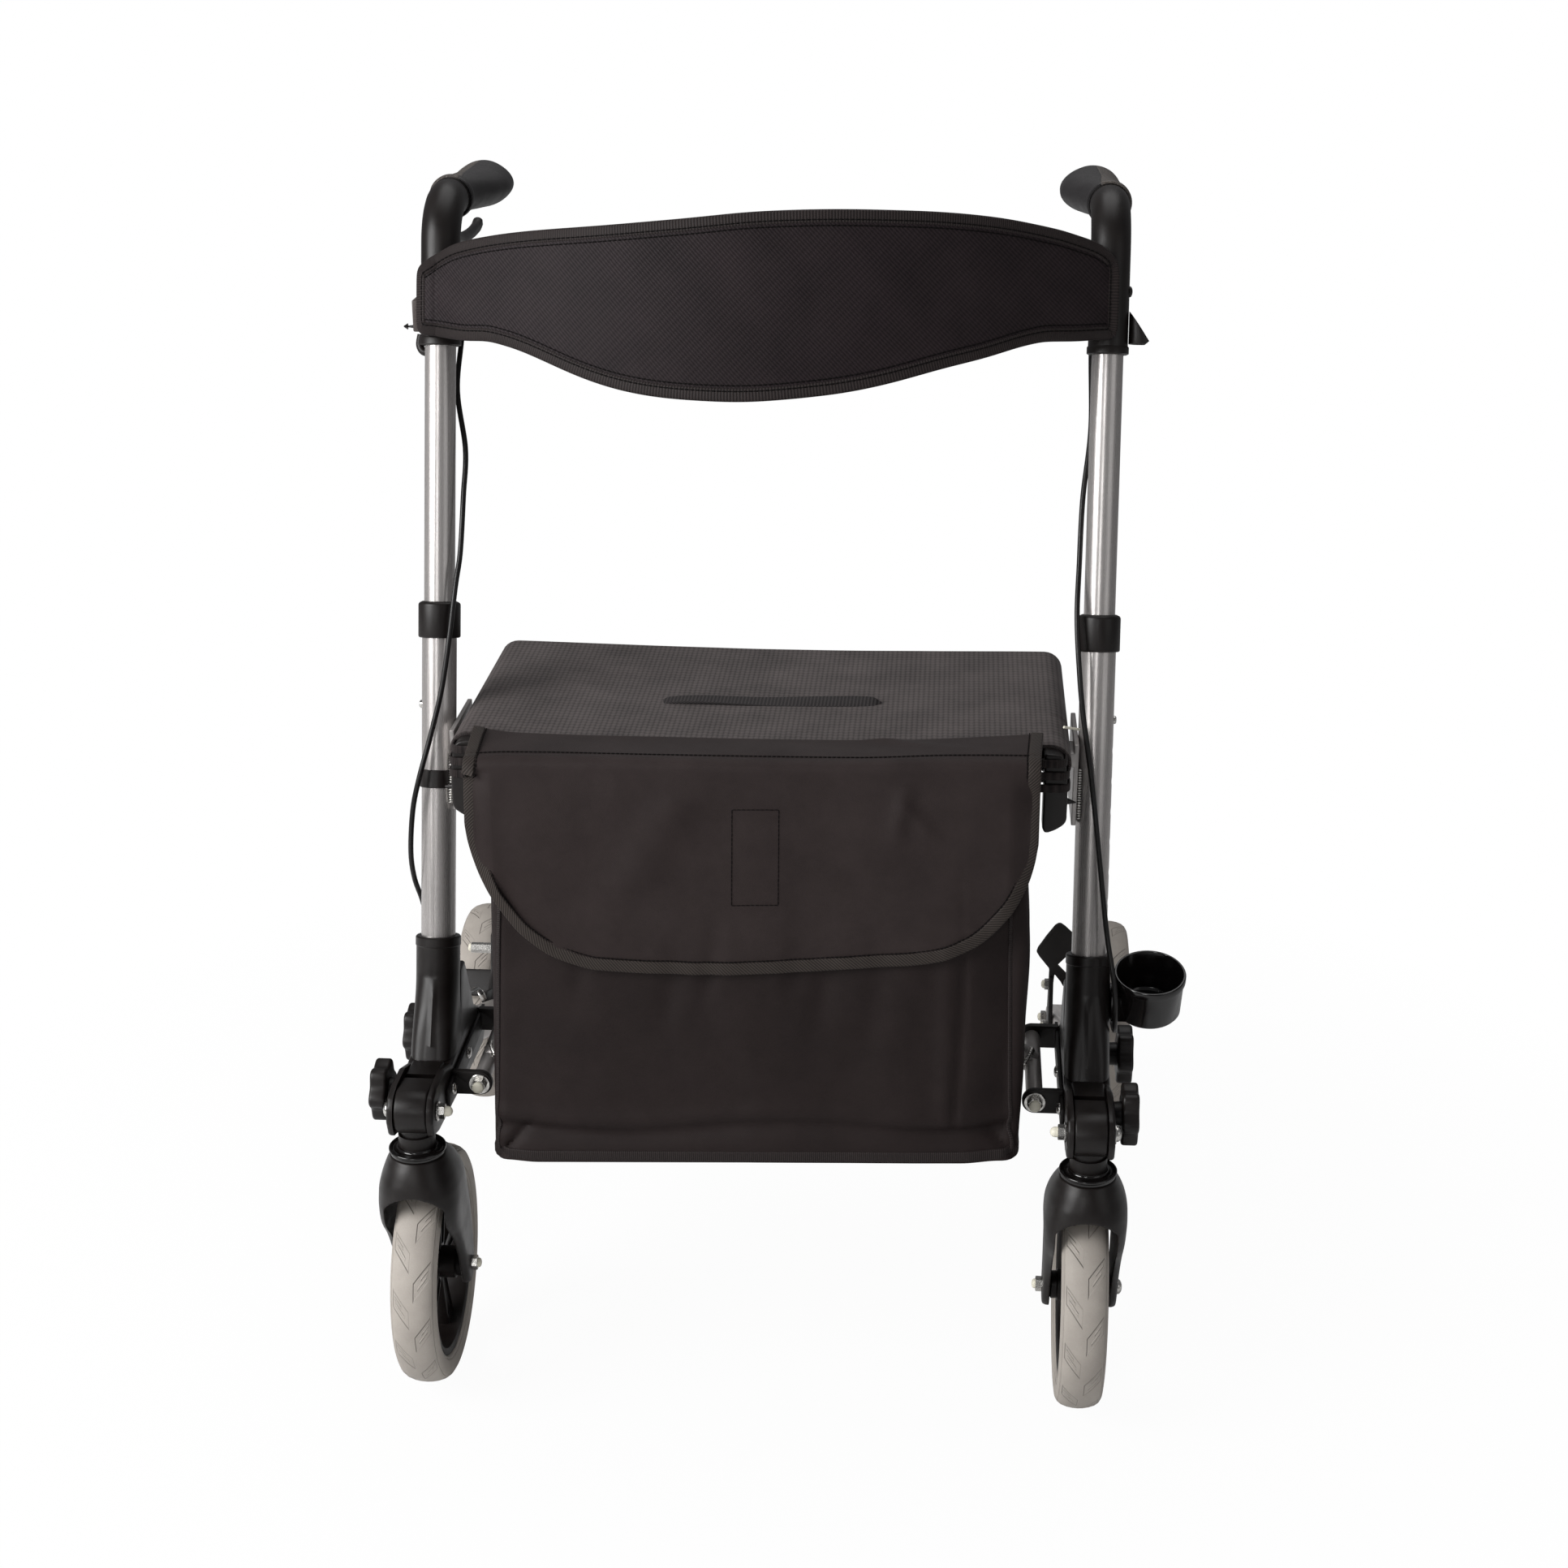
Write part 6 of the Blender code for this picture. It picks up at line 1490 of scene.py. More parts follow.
    def knob(self, y: float, z: float, face: float) -> tuple[bpy.types.Object, bpy.types.Object]:
        """Star knob with a dished middle, and its steel shank."""
        bench = self.works.bench
        lobes, radius, depth, thickness = 6, 0.0228, 0.0024, 0.0135
        steps = lobes * 14
        outline = []
        for i in range(steps):
            turn = math.tau * i / steps
            reach = radius + depth * math.cos(lobes * turn)
            outline.append((y + reach * math.cos(turn), z + reach * math.sin(turn)))
        star = bench.bevel(bench.slab(outline, "X", face - thickness, face), 0.0024, 4, 50.0)
        boss = bench.turned(
            [
                (0.0, 0.0), (0.0086, 0.0), (0.0095, 0.0009), (0.0102, face - thickness - self.half),
                (0.0, face - thickness - self.half + 0.003),
            ],
            (self.half + FIT, y, z), OUT, 48, closed=False)
        bench.fuse(star, boss)
        dish = bench.turned(
            [(0.0, -0.0016), (0.0088, -0.0016), (0.0102, 0.0002), (0.0102, 0.002), (0.0, 0.002)],
            (face, y, z), OUT, 48, closed=False)
        bench.carve(star, dish)
        button = bench.turned(
            [(0.0, 0.0), (0.0058, 0.0), (0.0058, 0.0009), (0.005, 0.0015), (0.0, 0.0015)],
            (face - 0.0017, y, z), OUT, 40, closed=False)
        bench.join(star, button)
        shank = bench.rod((-self.half + 0.0025, y, z), (face - thickness * 0.5, y, z), 0.003)
        return star, bench.bevel(shank, 0.0004, 2)

    def rear_axle(self) -> None:
        """Axle bolt and spacer of the rear wheel."""
        hub_in, hub_out = REAR_WHEEL_U - 0.016, REAR_WHEEL_U + 0.016
        metal, cap = self.hardware.through_bolt(
            REAR_AXLE_Y, WHEEL_RADIUS, hub_out + FIT, -self.leg_half - FIT, 0.004, 0.0079, 0.0025)
        spacer = self.works.bench.turned(
            [
                (0.0045, 0.0), (0.0074, 0.0), (0.008, 0.0006), (0.008, hub_in - self.leg_half - 0.0012),
                (0.0074, hub_in - self.leg_half - 0.0006), (0.0045, hub_in - self.leg_half - 0.0006),
            ],
            (self.leg_half + FIT, REAR_AXLE_Y, WHEEL_RADIUS), OUT, 40)
        self.works.pair(self.works.bench.join(metal, spacer), "rear_axle_dress", ZINC, "side", ["rear_axle"])
        self.works.pair(cap, "rear_axle_cap", CREAM, "side")

    def hinge_bolt(self) -> None:
        """Bolt that the caster block folds about, with washers and a long clear cap."""
        y, z = HINGE
        face = self.half + FIT
        washer = 0.0012
        metal, spare = self.hardware.through_bolt(y, z, face + washer, -face - washer, 0.0035, 0.0063, 0.0045)
        self.works.bench.drop(spare)
        discs = [
            self.hardware.disc((way * face, y, z), (way, 0.0, 0.0), 0.0082, washer) for way in (1.0, -1.0)
        ]
        nut_end = face + washer + self.hardware.nut_height
        cap = self.hardware.cap((-nut_end, y, z), IN, 0.0042, 0.0062)
        bolt = self.works.bench.join(metal, *discs)
        self.works.pair(bolt, "hinge_bolt_dress", ZINC, "side", ["hinge_bolt"])
        self.works.pair(cap, "hinge_bolt_cap", CREAM, "side")

    def build(self) -> None:
        """Build both side frames."""
        works = self.works
        drop = self.hole_pitch * math.cos(LEAN)
        rows = [self.button_z - drop * i for i in range(self.holes)]
        main = self.tube(MAIN_RADIUS, self.main_wall, self.main_z, rows)
        works.pair(main, "main_tube_dress", TUBE, "side", ["main_tube"])
        height = self.tube(HEIGHT_RADIUS, self.height_wall, self.height_z, rows[:1])
        works.pair(height, "height_tube_dress", TUBE, "handle", ["height_tube"])
        works.pair(self.collar(), "collar_dress", BLACK, "side", ["tube_collar"], 50.0)
        works.pair(self.button(), "button_dress", ZINC, "button", ["snap_button"])
        works.pair(self.moulding(), "moulding_dress", SATIN, "side", ["frame_moulding"], 30.0)
        works.pair(self.leg(), "leg_dress", LEG, "side", ["rear_leg"], 40.0)
        for end, y, z, face in (("front", 0.027, 0.27, 0.0393), ("rear", 0.1765, 0.2475, 0.0447)):
            star, shank = self.knob(y, z, face)
            works.pair(star, f"{end}_knob_dress", BLACK, f"{end}_knob", [f"{end}_lock_knob"])
            works.pair(shank, f"{end}_knob_shank", ZINC, f"{end}_knob")
        self.rear_axle()
        self.hinge_bolt()
        log.info("side frames: tubes, collar, button, moulding, leg, knobs and bolts on each side")


@dataclass
class RearBrake:
    """Brake arm with its shoe, and the tip pedal inboard of the leg."""

    works: Works
    hardware: Hardware
    leg_half: float = 0.0135
    arm: float = 0.004
    pivot: tuple[float, float] = (0.405, 0.157)
    arm_outline: tuple[tuple[float, float], ...] = (
        (0.456, 0.185), (0.45, 0.218), (0.44, 0.23), (0.428, 0.226), (0.422, 0.195), (0.405, 0.18),
        (0.383, 0.188), (0.372, 0.188), (0.37, 0.18), (0.39, 0.164), (0.396, 0.149), (0.414, 0.147))
    shoe_gap: float = 0.0025
    shoe: float = 0.0085
    shoe_angles: tuple[float, float] = (138.0, 152.0)
    shoe_outer: float = 0.062
    horn_bolt: tuple[float, float] = (0.439, 0.208)
    pedal_y: float = 0.416
    pedal: float = 0.004
    pedal_outline: tuple[tuple[float, float], ...] = (
        (-0.0309, 0.2313), (-0.0296, 0.2356), (-0.022, 0.248), (-0.0143, 0.259), (-0.0112, 0.2614),
        (-0.0084, 0.2615), (-0.0043, 0.2585), (0.0034, 0.2511), (0.0094, 0.243), (0.009, 0.225),
        (0.0048, 0.2076), (-0.001, 0.199), (-0.004, 0.1952), (-0.0069, 0.2005), (-0.0128, 0.208),
        (-0.0138, 0.195), (-0.0178, 0.195), (-0.0182, 0.214), (-0.0278, 0.2261))
    bracket_outline: tuple[tuple[float, float], ...] = (
        (0.405, 0.14), (0.436, 0.128), (0.44, 0.16), (0.428, 0.206), (0.412, 0.206), (0.402, 0.168))
    pedal_bolts: tuple[tuple[float, float], ...] = ((0.42, 0.196), (0.422, 0.15))

    def brake(self) -> None:
        """Arm and shoe, with the cable's clamp bolt."""
        bench = self.works.bench
        inner = self.leg_half + FIT
        outer = inner + self.arm
        centre = (REAR_AXLE_Y, WHEEL_RADIUS)
        near = WHEEL_RADIUS + self.shoe_gap
        start, end = self.shoe_angles
        behind = arc(centre, near + self.shoe * 0.4, end, start, 5)
        arm = bench.bevel(bench.slab([*self.arm_outline, *behind], "X", inner, outer), 0.0009, 2)
        sector = arc(centre, near, start, end, 9) + arc(centre, near + self.shoe, end, start, 9)
        shoe = bench.bevel(bench.slab(sector, "X", inner, self.shoe_outer), 0.0014, 3)
        arm = bench.fuse(arm, shoe)
        bench.carve(arm, bench.rod((0.0, *self.pivot), (0.03, *self.pivot), 0.0033))
        y, z = self.horn_bolt
        bolt = self.hardware.nut((outer, y, z), OUT, 0.0052, 0.0216)
        cap = self.hardware.cap((outer + 0.0216, y, z), OUT)
        self.works.pair(arm, "brake_arm_dress", COATED, "brake", ["brake_arm"])
        self.works.pair(bolt, "brake_clamp", ZINC, "brake")
        self.works.pair(cap, "brake_clamp_cap", CREAM, "brake")

    def tip_pedal(self) -> None:
        """Pedal plate bent off its bracket, with a small window."""
        bench = self.works.bench
        inner = -self.leg_half - FIT
        bracket = bench.bevel(
            bench.slab(self.bracket_outline, "X", inner - self.pedal, inner), 0.0008, 2)
        foot = bench.bevel(
            bench.slab(self.pedal_outline, "Y", self.pedal_y, self.pedal_y + self.pedal), 0.0012, 3)
        window = bench.slab([(-0.0022, 0.2275), (-0.0105, 0.2182), (-0.0015, 0.2086)], "Y", 0.4, 0.44)
        bench.carve(foot, bench.bevel(window, 0.001, 2, 40.0))
        metal, caps = [], []
        for y, z in self.pedal_bolts:
            face = inner - self.pedal
            metal.append(self.hardware.nut((face, y, z), IN, 0.0054, 0.0042))
            caps.append(self.hardware.cap((face - 0.0042, y, z), IN))
        self.works.pair(bench.fuse(bracket, foot), "pedal_dress", COATED, "side", ["tip_pedal"])
        self.works.pair(bench.join(*metal), "pedal_nuts", ZINC, "side")
        self.works.pair(bench.join(*caps), "pedal_caps", CREAM, "side")

    def build(self) -> None:
        """Build both brakes and pedals."""
        self.brake()
        self.tip_pedal()
        log.info("rear brakes: arm, shoe, clamp and tip pedal on each side")


@dataclass
class Cross:
    """Folding cross behind the bag: brackets, rails, diagonals and seat cradles."""

    works: Works
    hardware: Hardware
    rail_radius: float = 0.011
    rail_y: tuple[float, float] = (0.105, 0.335)
    lower_radius: float = 0.007
    lower_y: tuple[float, float] = (0.0613, 0.1727)
    diagonal_radius: float = 0.0095
    diagonal_y: float = 0.115
    offset: float = 0.0105
    ear: float = 0.006
    ear_radius: float = 0.0105
    web: float = 0.0029
    bracket_y: tuple[float, float] = (0.03, 0.19)
    bracket_z: tuple[float, float] = (0.2525, 0.27)
    cheek: float = 0.0193
    cradle: float = 0.004
    cradle_y: tuple[float, float] = (0.135, 0.215)
    cradle_z: tuple[float, float] = (0.475, 0.545)
    lip: float = 0.0035
    lip_back_y: float = 0.1655

    def crossing(self) -> Vector:
        """Point midway between the diagonals where they cross."""
        share = BRACE_PIVOT[0] / (BRACE_PIVOT[0] + SEAT_RAIL[0])
        rise = (SEAT_RAIL[1] - BRACE_PIVOT[1]) * share
        return Vector((0.0, self.diagonal_y + rise * math.tan(LEAN), BRACE_PIVOT[1] + rise))

    def weld(self, centre: Point, way: Point, radius: float, seed: int) -> bpy.types.Object:
        """Scaly weld bead round a tube."""
        count, around = 120, 10
        turn = Vector(way).to_track_quat("Z", "Y").to_matrix()
        middle = Vector(centre)

        def place(share: float, up: float) -> Vector:
            a = math.tau * up
            scale = 0.0017 * (1.0 + 0.16 * math.sin(a * 34.0) + 0.2 * math.sin(a * 5.0 + seed))
            b = math.tau * share
            local = Vector((
                (radius + scale * math.cos(b)) * math.cos(a), (radius + scale * math.cos(b)) * math.sin(a),
                scale * 1.3 * math.sin(b)))
            return middle + turn @ local

        return self.works.bench.wrapped(around, count, place, capped=False)

    def brace(self, side: float, offset: float, name: str, node: str) -> None:
        """One weldment of the cross with its studs."""
        bench = self.works.bench
        low_x, high_x = side * BRACE_PIVOT[0], -side * SEAT_RAIL[0]
        low_y = self.diagonal_y + offset
        high_y = low_y + (SEAT_RAIL[1] - BRACE_PIVOT[1]) * math.tan(LEAN)
        low, high = Vector((low_x, low_y, BRACE_PIVOT[1])), Vector((high_x, high_y, SEAT_RAIL[1]))
        lower = bench.bevel(bench.rod(
            (low_x, self.lower_y[0], low.z), (low_x, self.lower_y[1], low.z), self.lower_radius, 48), 0.0006)
        rail = bench.rod(
            (high_x, self.rail_y[0], high.z), (high_x, self.rail_y[1], high.z), self.rail_radius, 48)
        rail = bench.bevel(rail, 0.0012, 3)
        diagonal = bench.rod(low, high, self.diagonal_radius, 48)
        weldment = bench.fuse(diagonal, lower, rail)
        cross = self.crossing()
        bench.carve(weldment, bench.rod(
            cross - Vector((0.0, 0.06, 0.0)), cross + Vector((0.0, 0.06, 0.0)), 0.0043, 24))
        way = (high - low).normalized()
        beads = bench.join(
            self.weld(low + way * self.lower_radius, way, self.diagonal_radius * 0.99, 1),
            self.weld(high - way * (self.rail_radius * 0.92), way, self.diagonal_radius * 0.99, 4))
        studs, caps = [], []
        for face, side_way in ((self.lower_y[0], -1.0), (self.lower_y[1], 1.0)):
            washer = face + side_way * (2.0 * FIT + self.ear)
            nut = washer + side_way * 0.0014
            tip = nut + side_way * self.hardware.nut_height
            out = (0.0, side_way, 0.0)
            studs.append(bench.rod((low_x, face - side_way * 0.002, low.z), (low_x, nut, low.z), 0.004))
            studs.append(self.hardware.disc((low_x, washer, low.z), out, self.ear_radius * 0.85, 0.0014))
            studs.append(self.hardware.nut((low_x, nut, low.z), out))
            caps.append(self.hardware.cap((low_x, tip, low.z), out, 0.005, 0.0032))
        body = f"brace_{name}"
        self.works.place(weldment, f"{node}_dress", RAIL, body, [node])
        self.works.place(beads, f"{node}_welds", WELD, body, angle=60.0)
        self.works.place(bench.join(*studs), f"{node}_studs", ZINC, body)
        self.works.place(bench.join(*caps), f"{node}_caps", CREAM, body)

    def pivot(self) -> None:
        """Bolt through both diagonals."""
        bench = self.works.bench
        cross = self.crossing()
        reach = self.offset + self.diagonal_radius / math.cos(LEAN) + 0.0006
        front, back = cross.y - reach, cross.y + reach
        bolt = bench.join(
            bench.rod((0.0, front, cross.z), (0.0, back, cross.z), 0.004),
            self.hardware.dome((0.0, front, cross.z), FRONT, 0.0063, 0.0045),
            self.hardware.nut((0.0, back, cross.z), BACK))
        self.works.place(bolt, "cross_bolt_dress", ZINC, "brace_a", ["brace_pivot_bolt"])

    def bracket(self) -> None:
        """U bracket on the moulding's inner cheek."""
        bench = self.works.bench
        face = -self.cheek
        web = bench.bevel(bench.block(
            (face - self.web, self.bracket_y[0], self.bracket_z[0]),
            (face, self.bracket_y[1], self.bracket_z[1])), 0.0006)
        pivot = (BRACE_PIVOT[0] - TRACK, BRACE_PIVOT[1])
        outline = [(face, BRACE_PIVOT[1] - self.ear_radius)] + arc(pivot, self.ear_radius, 270.0, 90.0, 21)
        outline.append((face, BRACE_PIVOT[1] + self.ear_radius))
        ears = []
        for near, far in (
                (self.lower_y[0] - FIT - self.ear, self.lower_y[0] - FIT),
                (self.lower_y[1] + FIT, self.lower_y[1] + FIT + self.ear)):
            ears.append(bench.bevel(bench.slab(outline, "Y", near, far), 0.0009, 2))
        bracket = bench.fuse(web, *ears)
        bench.carve(bracket, bench.rod((pivot[0], 0.0, pivot[1]), (pivot[0], 0.25, pivot[1]), 0.0043))
        screws = [
            self.hardware.dome((face - self.web, y, BRACE_PIVOT[1]), IN, 0.005, 0.003)
            for y in (0.045, 0.11)
        ]
        self.works.pair(bracket, "bracket_dress", COATED, "side", ["brace_bracket"])
        self.works.pair(bench.join(*screws), "bracket_screws", ZINC, "side")

    def cradle_plate(self) -> None:
        """Seat cradle: plate welded to the tube, and the lip that the seat rail drops into."""
        bench = self.works.bench
        face = -MAIN_RADIUS - FIT
        body = bench.bevel(bench.block(
            (face - self.cradle, self.cradle_y[0], self.cradle_z[0]),
            (face, self.cradle_y[1], self.cradle_z[1])), 0.0009, 3)
        rail = (SEAT_RAIL[0] - TRACK, SEAT_RAIL[1])
        near = self.rail_radius + FIT
        far = near + self.lip
        outline = arc(rail, near, 180.0, 340.0, 19)
        middle = face - self.cradle * 0.5
        outline += [(middle, rail[1] - near * 0.34), (middle, rail[1] - far * 1.1)]
        outline += arc(rail, far, 292.0, 180.0, 15)
        lip = bench.bevel(bench.slab(outline, "Y", self.cradle_y[0], self.lip_back_y), 0.0005, 2, 50.0)
        bench.fuse(body, lip)
        run = [
            on_tube(z, back=-0.0118 + 0.0006 * math.sin(z * 900.0), u=-0.0128)
            for z in (0.477, 0.487, 0.497, 0.507, 0.517)
        ]
        bead = self.hardware.stitches(run, 0.0021, 0.0023)
        self.works.pair(body, "cradle_dress", RAIL, "side", ["seat_cradle"])
        self.works.pair(bead, "cradle_weld", WELD, "side", angle=60.0)

    def build(self) -> None:
        """Build the cross, its brackets and the cradles."""
        self.brace(-1.0, -self.offset, "a", "x_brace_a")
        self.brace(1.0, self.offset, "b", "x_brace_b")
        self.pivot()
        self.bracket()
        self.cradle_plate()
        log.info("cross: 2 weldments with studs, bolt, 2 brackets, 2 cradles")


# Handles

@dataclass(frozen=True)
class PalmGrip(Finish):
    """Two-shot hand grip: dotted soft rubber outboard, smooth moulding inboard, a groove between them."""

    name: str
    soft: tuple[float, float, float]
    high: tuple[float, float, float]
    hard: tuple[float, float, float]
    rough: float
    pitch: float = 0.0016
    slot: str = "satin_plastic"

    def dress(self, shader: Shader) -> None:
        """Build the nodes."""
        place = shader.place()
        x, y, _ = shader.axes(place)
        outward = abs(x + ORIGIN.x) - TRACK
        border = outward + 0.006 + (y * 60.0).sine() * 0.0012
        share = border.span(-0.0003, 0.0003)
        groove = (0.0007 - abs(border)).span(0.0, 0.0005)
        cloud = shader.noise(place, 120.0, 4.0, 0.6)
        fine = shader.noise(place, 2200.0, 2.0, 0.5)
        dots = shader.cells(place, 1.0 / self.pitch).span(0.12, 0.5, 1.0, 0.0)
        rubber = shader.blend(dots * 0.5 + cloud * 0.4, self.soft, self.high)
        paler = tuple(c * 1.7 for c in self.hard)
        moulding = shader.blend(cloud * 0.4, self.hard, paler)
        shader.set(
            Base_Color=shader.blend(share, moulding, rubber),
            Roughness=cloud.span(0.3, 0.7, self.rough - 0.1, self.rough + 0.06) + share * 0.08,
            Normal=shader.bump(dots * share + fine * 0.12 - groove * 1.8, 0.00024, 0.8))


PALM = PalmGrip("palm_grip", tint(46, 42, 40), tint(112, 104, 97), tint(27, 25, 26), 0.5)


@dataclass
class Handle:
    """Elbow housing, grip, brake lever and their small parts."""

    works: Works
    hardware: Hardware
    radius: float = 0.016
    foot_z: float = 0.84
    elbow_radius: float = 0.04
    elbow_z: float = 0.9197
    end_y: float = 0.317
    core_radius: float = 0.011
    core_end_y: float = 0.375
    pivot: tuple[float, float] = (0.3, 0.9265)
    lug_half: float = 0.0085
    lug_length: float = 0.009
    lug_drop: float = 0.0085
    slot_half: float = 0.0048
    lever_radius: float = 0.0048
    lever_path: tuple[tuple[float, float], ...] = (
        (0.302, 0.925), (0.325, 0.9165), (0.355, 0.9105), (0.39, 0.9085), (0.418, 0.9095), (0.43, 0.9125))
    sections: tuple[tuple[float, ...], ...] = (
        (0.3173, 0.0, 0.9493, 0.0178, 0.0178), (0.3182, 0.0, 0.9493, 0.0186, 0.0184),
        (0.3222, 0.0, 0.9493, 0.0186, 0.0184), (0.3238, 0.0, 0.9493, 0.0174, 0.0168),
        (0.3262, -0.0005, 0.9494, 0.0172, 0.0158), (0.345, -0.0035, 0.9498, 0.0205, 0.0158),
        (0.368, -0.0085, 0.9492, 0.0245, 0.0162), (0.388, -0.0115, 0.949, 0.0262, 0.0172),
        (0.405, -0.0115, 0.9495, 0.0258, 0.0178), (0.42, -0.0095, 0.9503, 0.0225, 0.0168),
        (0.4275, -0.008, 0.9509, 0.0175, 0.014), (0.4312, -0.007, 0.9511, 0.0118, 0.0098),
        (0.4325, -0.006, 0.9511, 0.0055, 0.005))

    def elbow(self) -> list[Vector]:
        """Path from the foot of the housing round the elbow to its end."""
        start = on_tube(self.elbow_z)
        centre = start + self.elbow_radius * Vector((0.0, math.cos(LEAN), -math.sin(LEAN)))
        foot = on_tube(self.foot_z)
        path = [foot.lerp(start, i / 8) for i in range(8)]
        sweep = math.pi / 2.0 - LEAN
        for i in range(25):
            turn = LEAN + sweep * i / 24
            path.append(centre + self.elbow_radius * Vector((0.0, -math.cos(turn), math.sin(turn))))
        path.append(Vector((0.0, self.end_y, path[-1].z)))
        return path

    def housing(self) -> bpy.types.Object:
        """Elbow with its clamp rim, groove and lever lug."""
        bench = self.works.bench
        path = self.elbow()
        body = bench.bar(path, self.radius, 12)
        way = tube_way()
        rim = bench.turned(
            [
                (0.0, 0.0), (self.radius - 0.0006, 0.0), (self.radius + 0.0009, 0.0008),
                (self.radius + 0.0009, 0.0058), (self.radius + 0.0002, 0.0068), (0.0, 0.0068),
            ],
            on_tube(self.foot_z) - way * 0.0006, way, 64, closed=False)
        grip_z = path[-1].z
        core = bench.rod(
            (0.0, self.end_y - 0.01, grip_z), (0.0, self.core_end_y, grip_z), self.core_radius, 48)
        y, z = self.pivot
        lug = bench.bevel(bench.block(
            (-self.lug_half, y - self.lug_length, z - self.lug_drop),
            (self.lug_half, y + self.lug_length, grip_z - self.radius * 0.5)), 0.002, 3)
        body = bench.fuse(body, rim, core, lug)
        slot = bench.block(
            (-self.slot_half, y - 0.018, z - 0.017), (self.slot_half, y + 0.018, z + 0.0086))
        pin = bench.rod((-0.02, y, z), (0.02, y, z), 0.0033)
        bore = bench.rod(on_tube(self.foot_z - 0.02), on_tube(0.9203), HEIGHT_RADIUS + FIT, 64)
        # These points the other way round left the cutter's ring standing in about half of the builds
        groove = bench.turned(
            [(self.radius - 0.0011, 0.0013), (self.radius + 0.002, 0.0013), (self.radius + 0.002, -0.0013),
             (self.radius - 0.0011, -0.0013)],
            (0.0, self.end_y - 0.0045, grip_z), BACK, 64)
        return bench.carve(body, slot, pin, bore, groove)

    def grip(self) -> bpy.types.Object:
        """Grip with its palm wing, lofted through its sections."""
        steps, around = 72, 56
        low, high = self.sections[0][0], self.sections[-1][0]

        def place(share: float, up: float) -> Vector:
            y = lerp(low, high, up)
            u, z, half_width, half_height = along(self.sections, y)
            turn = math.tau * share
            pinch = 1.0 - 0.1 * max(0.0, -math.cos(turn)) ** 2 * ease((y - 0.345) / 0.03)
            return Vector((
                u + half_width * math.cos(turn), y, z + half_height * math.sin(turn) * pinch))

        bench = self.works.bench
        grip = bench.wrapped(around, steps, place)
        z = self.elbow()[-1].z
        bore = bench.rod(
            (0.0, self.end_y - 0.02, z), (0.0, self.core_end_y + FIT, z), self.core_radius + FIT, 48)
        return bench.carve(grip, bore)

    def lever(self) -> bpy.types.Object:
        """Flat-sided lever with its eye and pin."""
        bench = self.works.bench
        points = smooth_route([(0.0, y, z) for y, z in self.lever_path], 40)
        bar = bench.bar(points, self.lever_radius, 8)
        half = self.slot_half - FIT
        slab = bench.block((FIT - half, 0.1, 0.7), (half - FIT, 0.5, 1.1))
        bench.common(bar, slab)
        eye = bench.bevel(bench.rod((-half, *self.pivot), (half, *self.pivot), 0.0072, 40), 0.0007, 2)
        bench.fuse(bar, eye)
        return bench.bevel(bar, 0.0008, 2, 50.0)

    def build(self) -> None:
        """Build both handles."""
        works, bench = self.works, self.works.bench
        works.pair(self.housing(), "housing_dress", BLACK, "handle", ["handle_housing"], 40.0)
        works.pair(self.grip(), "grip_dress", PALM, "handle", ["grip"], 60.0)
        works.pair(self.lever(), "lever_dress", BLACK, "lever", ["brake_lever"])
        pin = bench.join(
            bench.rod((-self.lug_half, *self.pivot), (self.lug_half, *self.pivot), 0.003),
            self.hardware.dome((self.lug_half, *self.pivot), OUT, 0.0045, 0.0016),
            self.hardware.dome((-self.lug_half, *self.pivot), IN, 0.0045, 0.0016))
        works.pair(pin, "lever_pin", ZINC, "handle")
        band = bench.turned(
            [(self.radius - 0.0012, 0.0), (self.radius + 0.0004, 0.0), (self.radius + 0.0004, 0.0012),
             (self.radius - 0.0012, 0.0012)],
            (0.0, self.end_y - 0.0014, self.elbow()[-1].z), BACK, 64)
        works.pair(band, "housing_band", GLOSS, "handle")
        log.info("handles: housing, grip, lever, pin and band on each side")


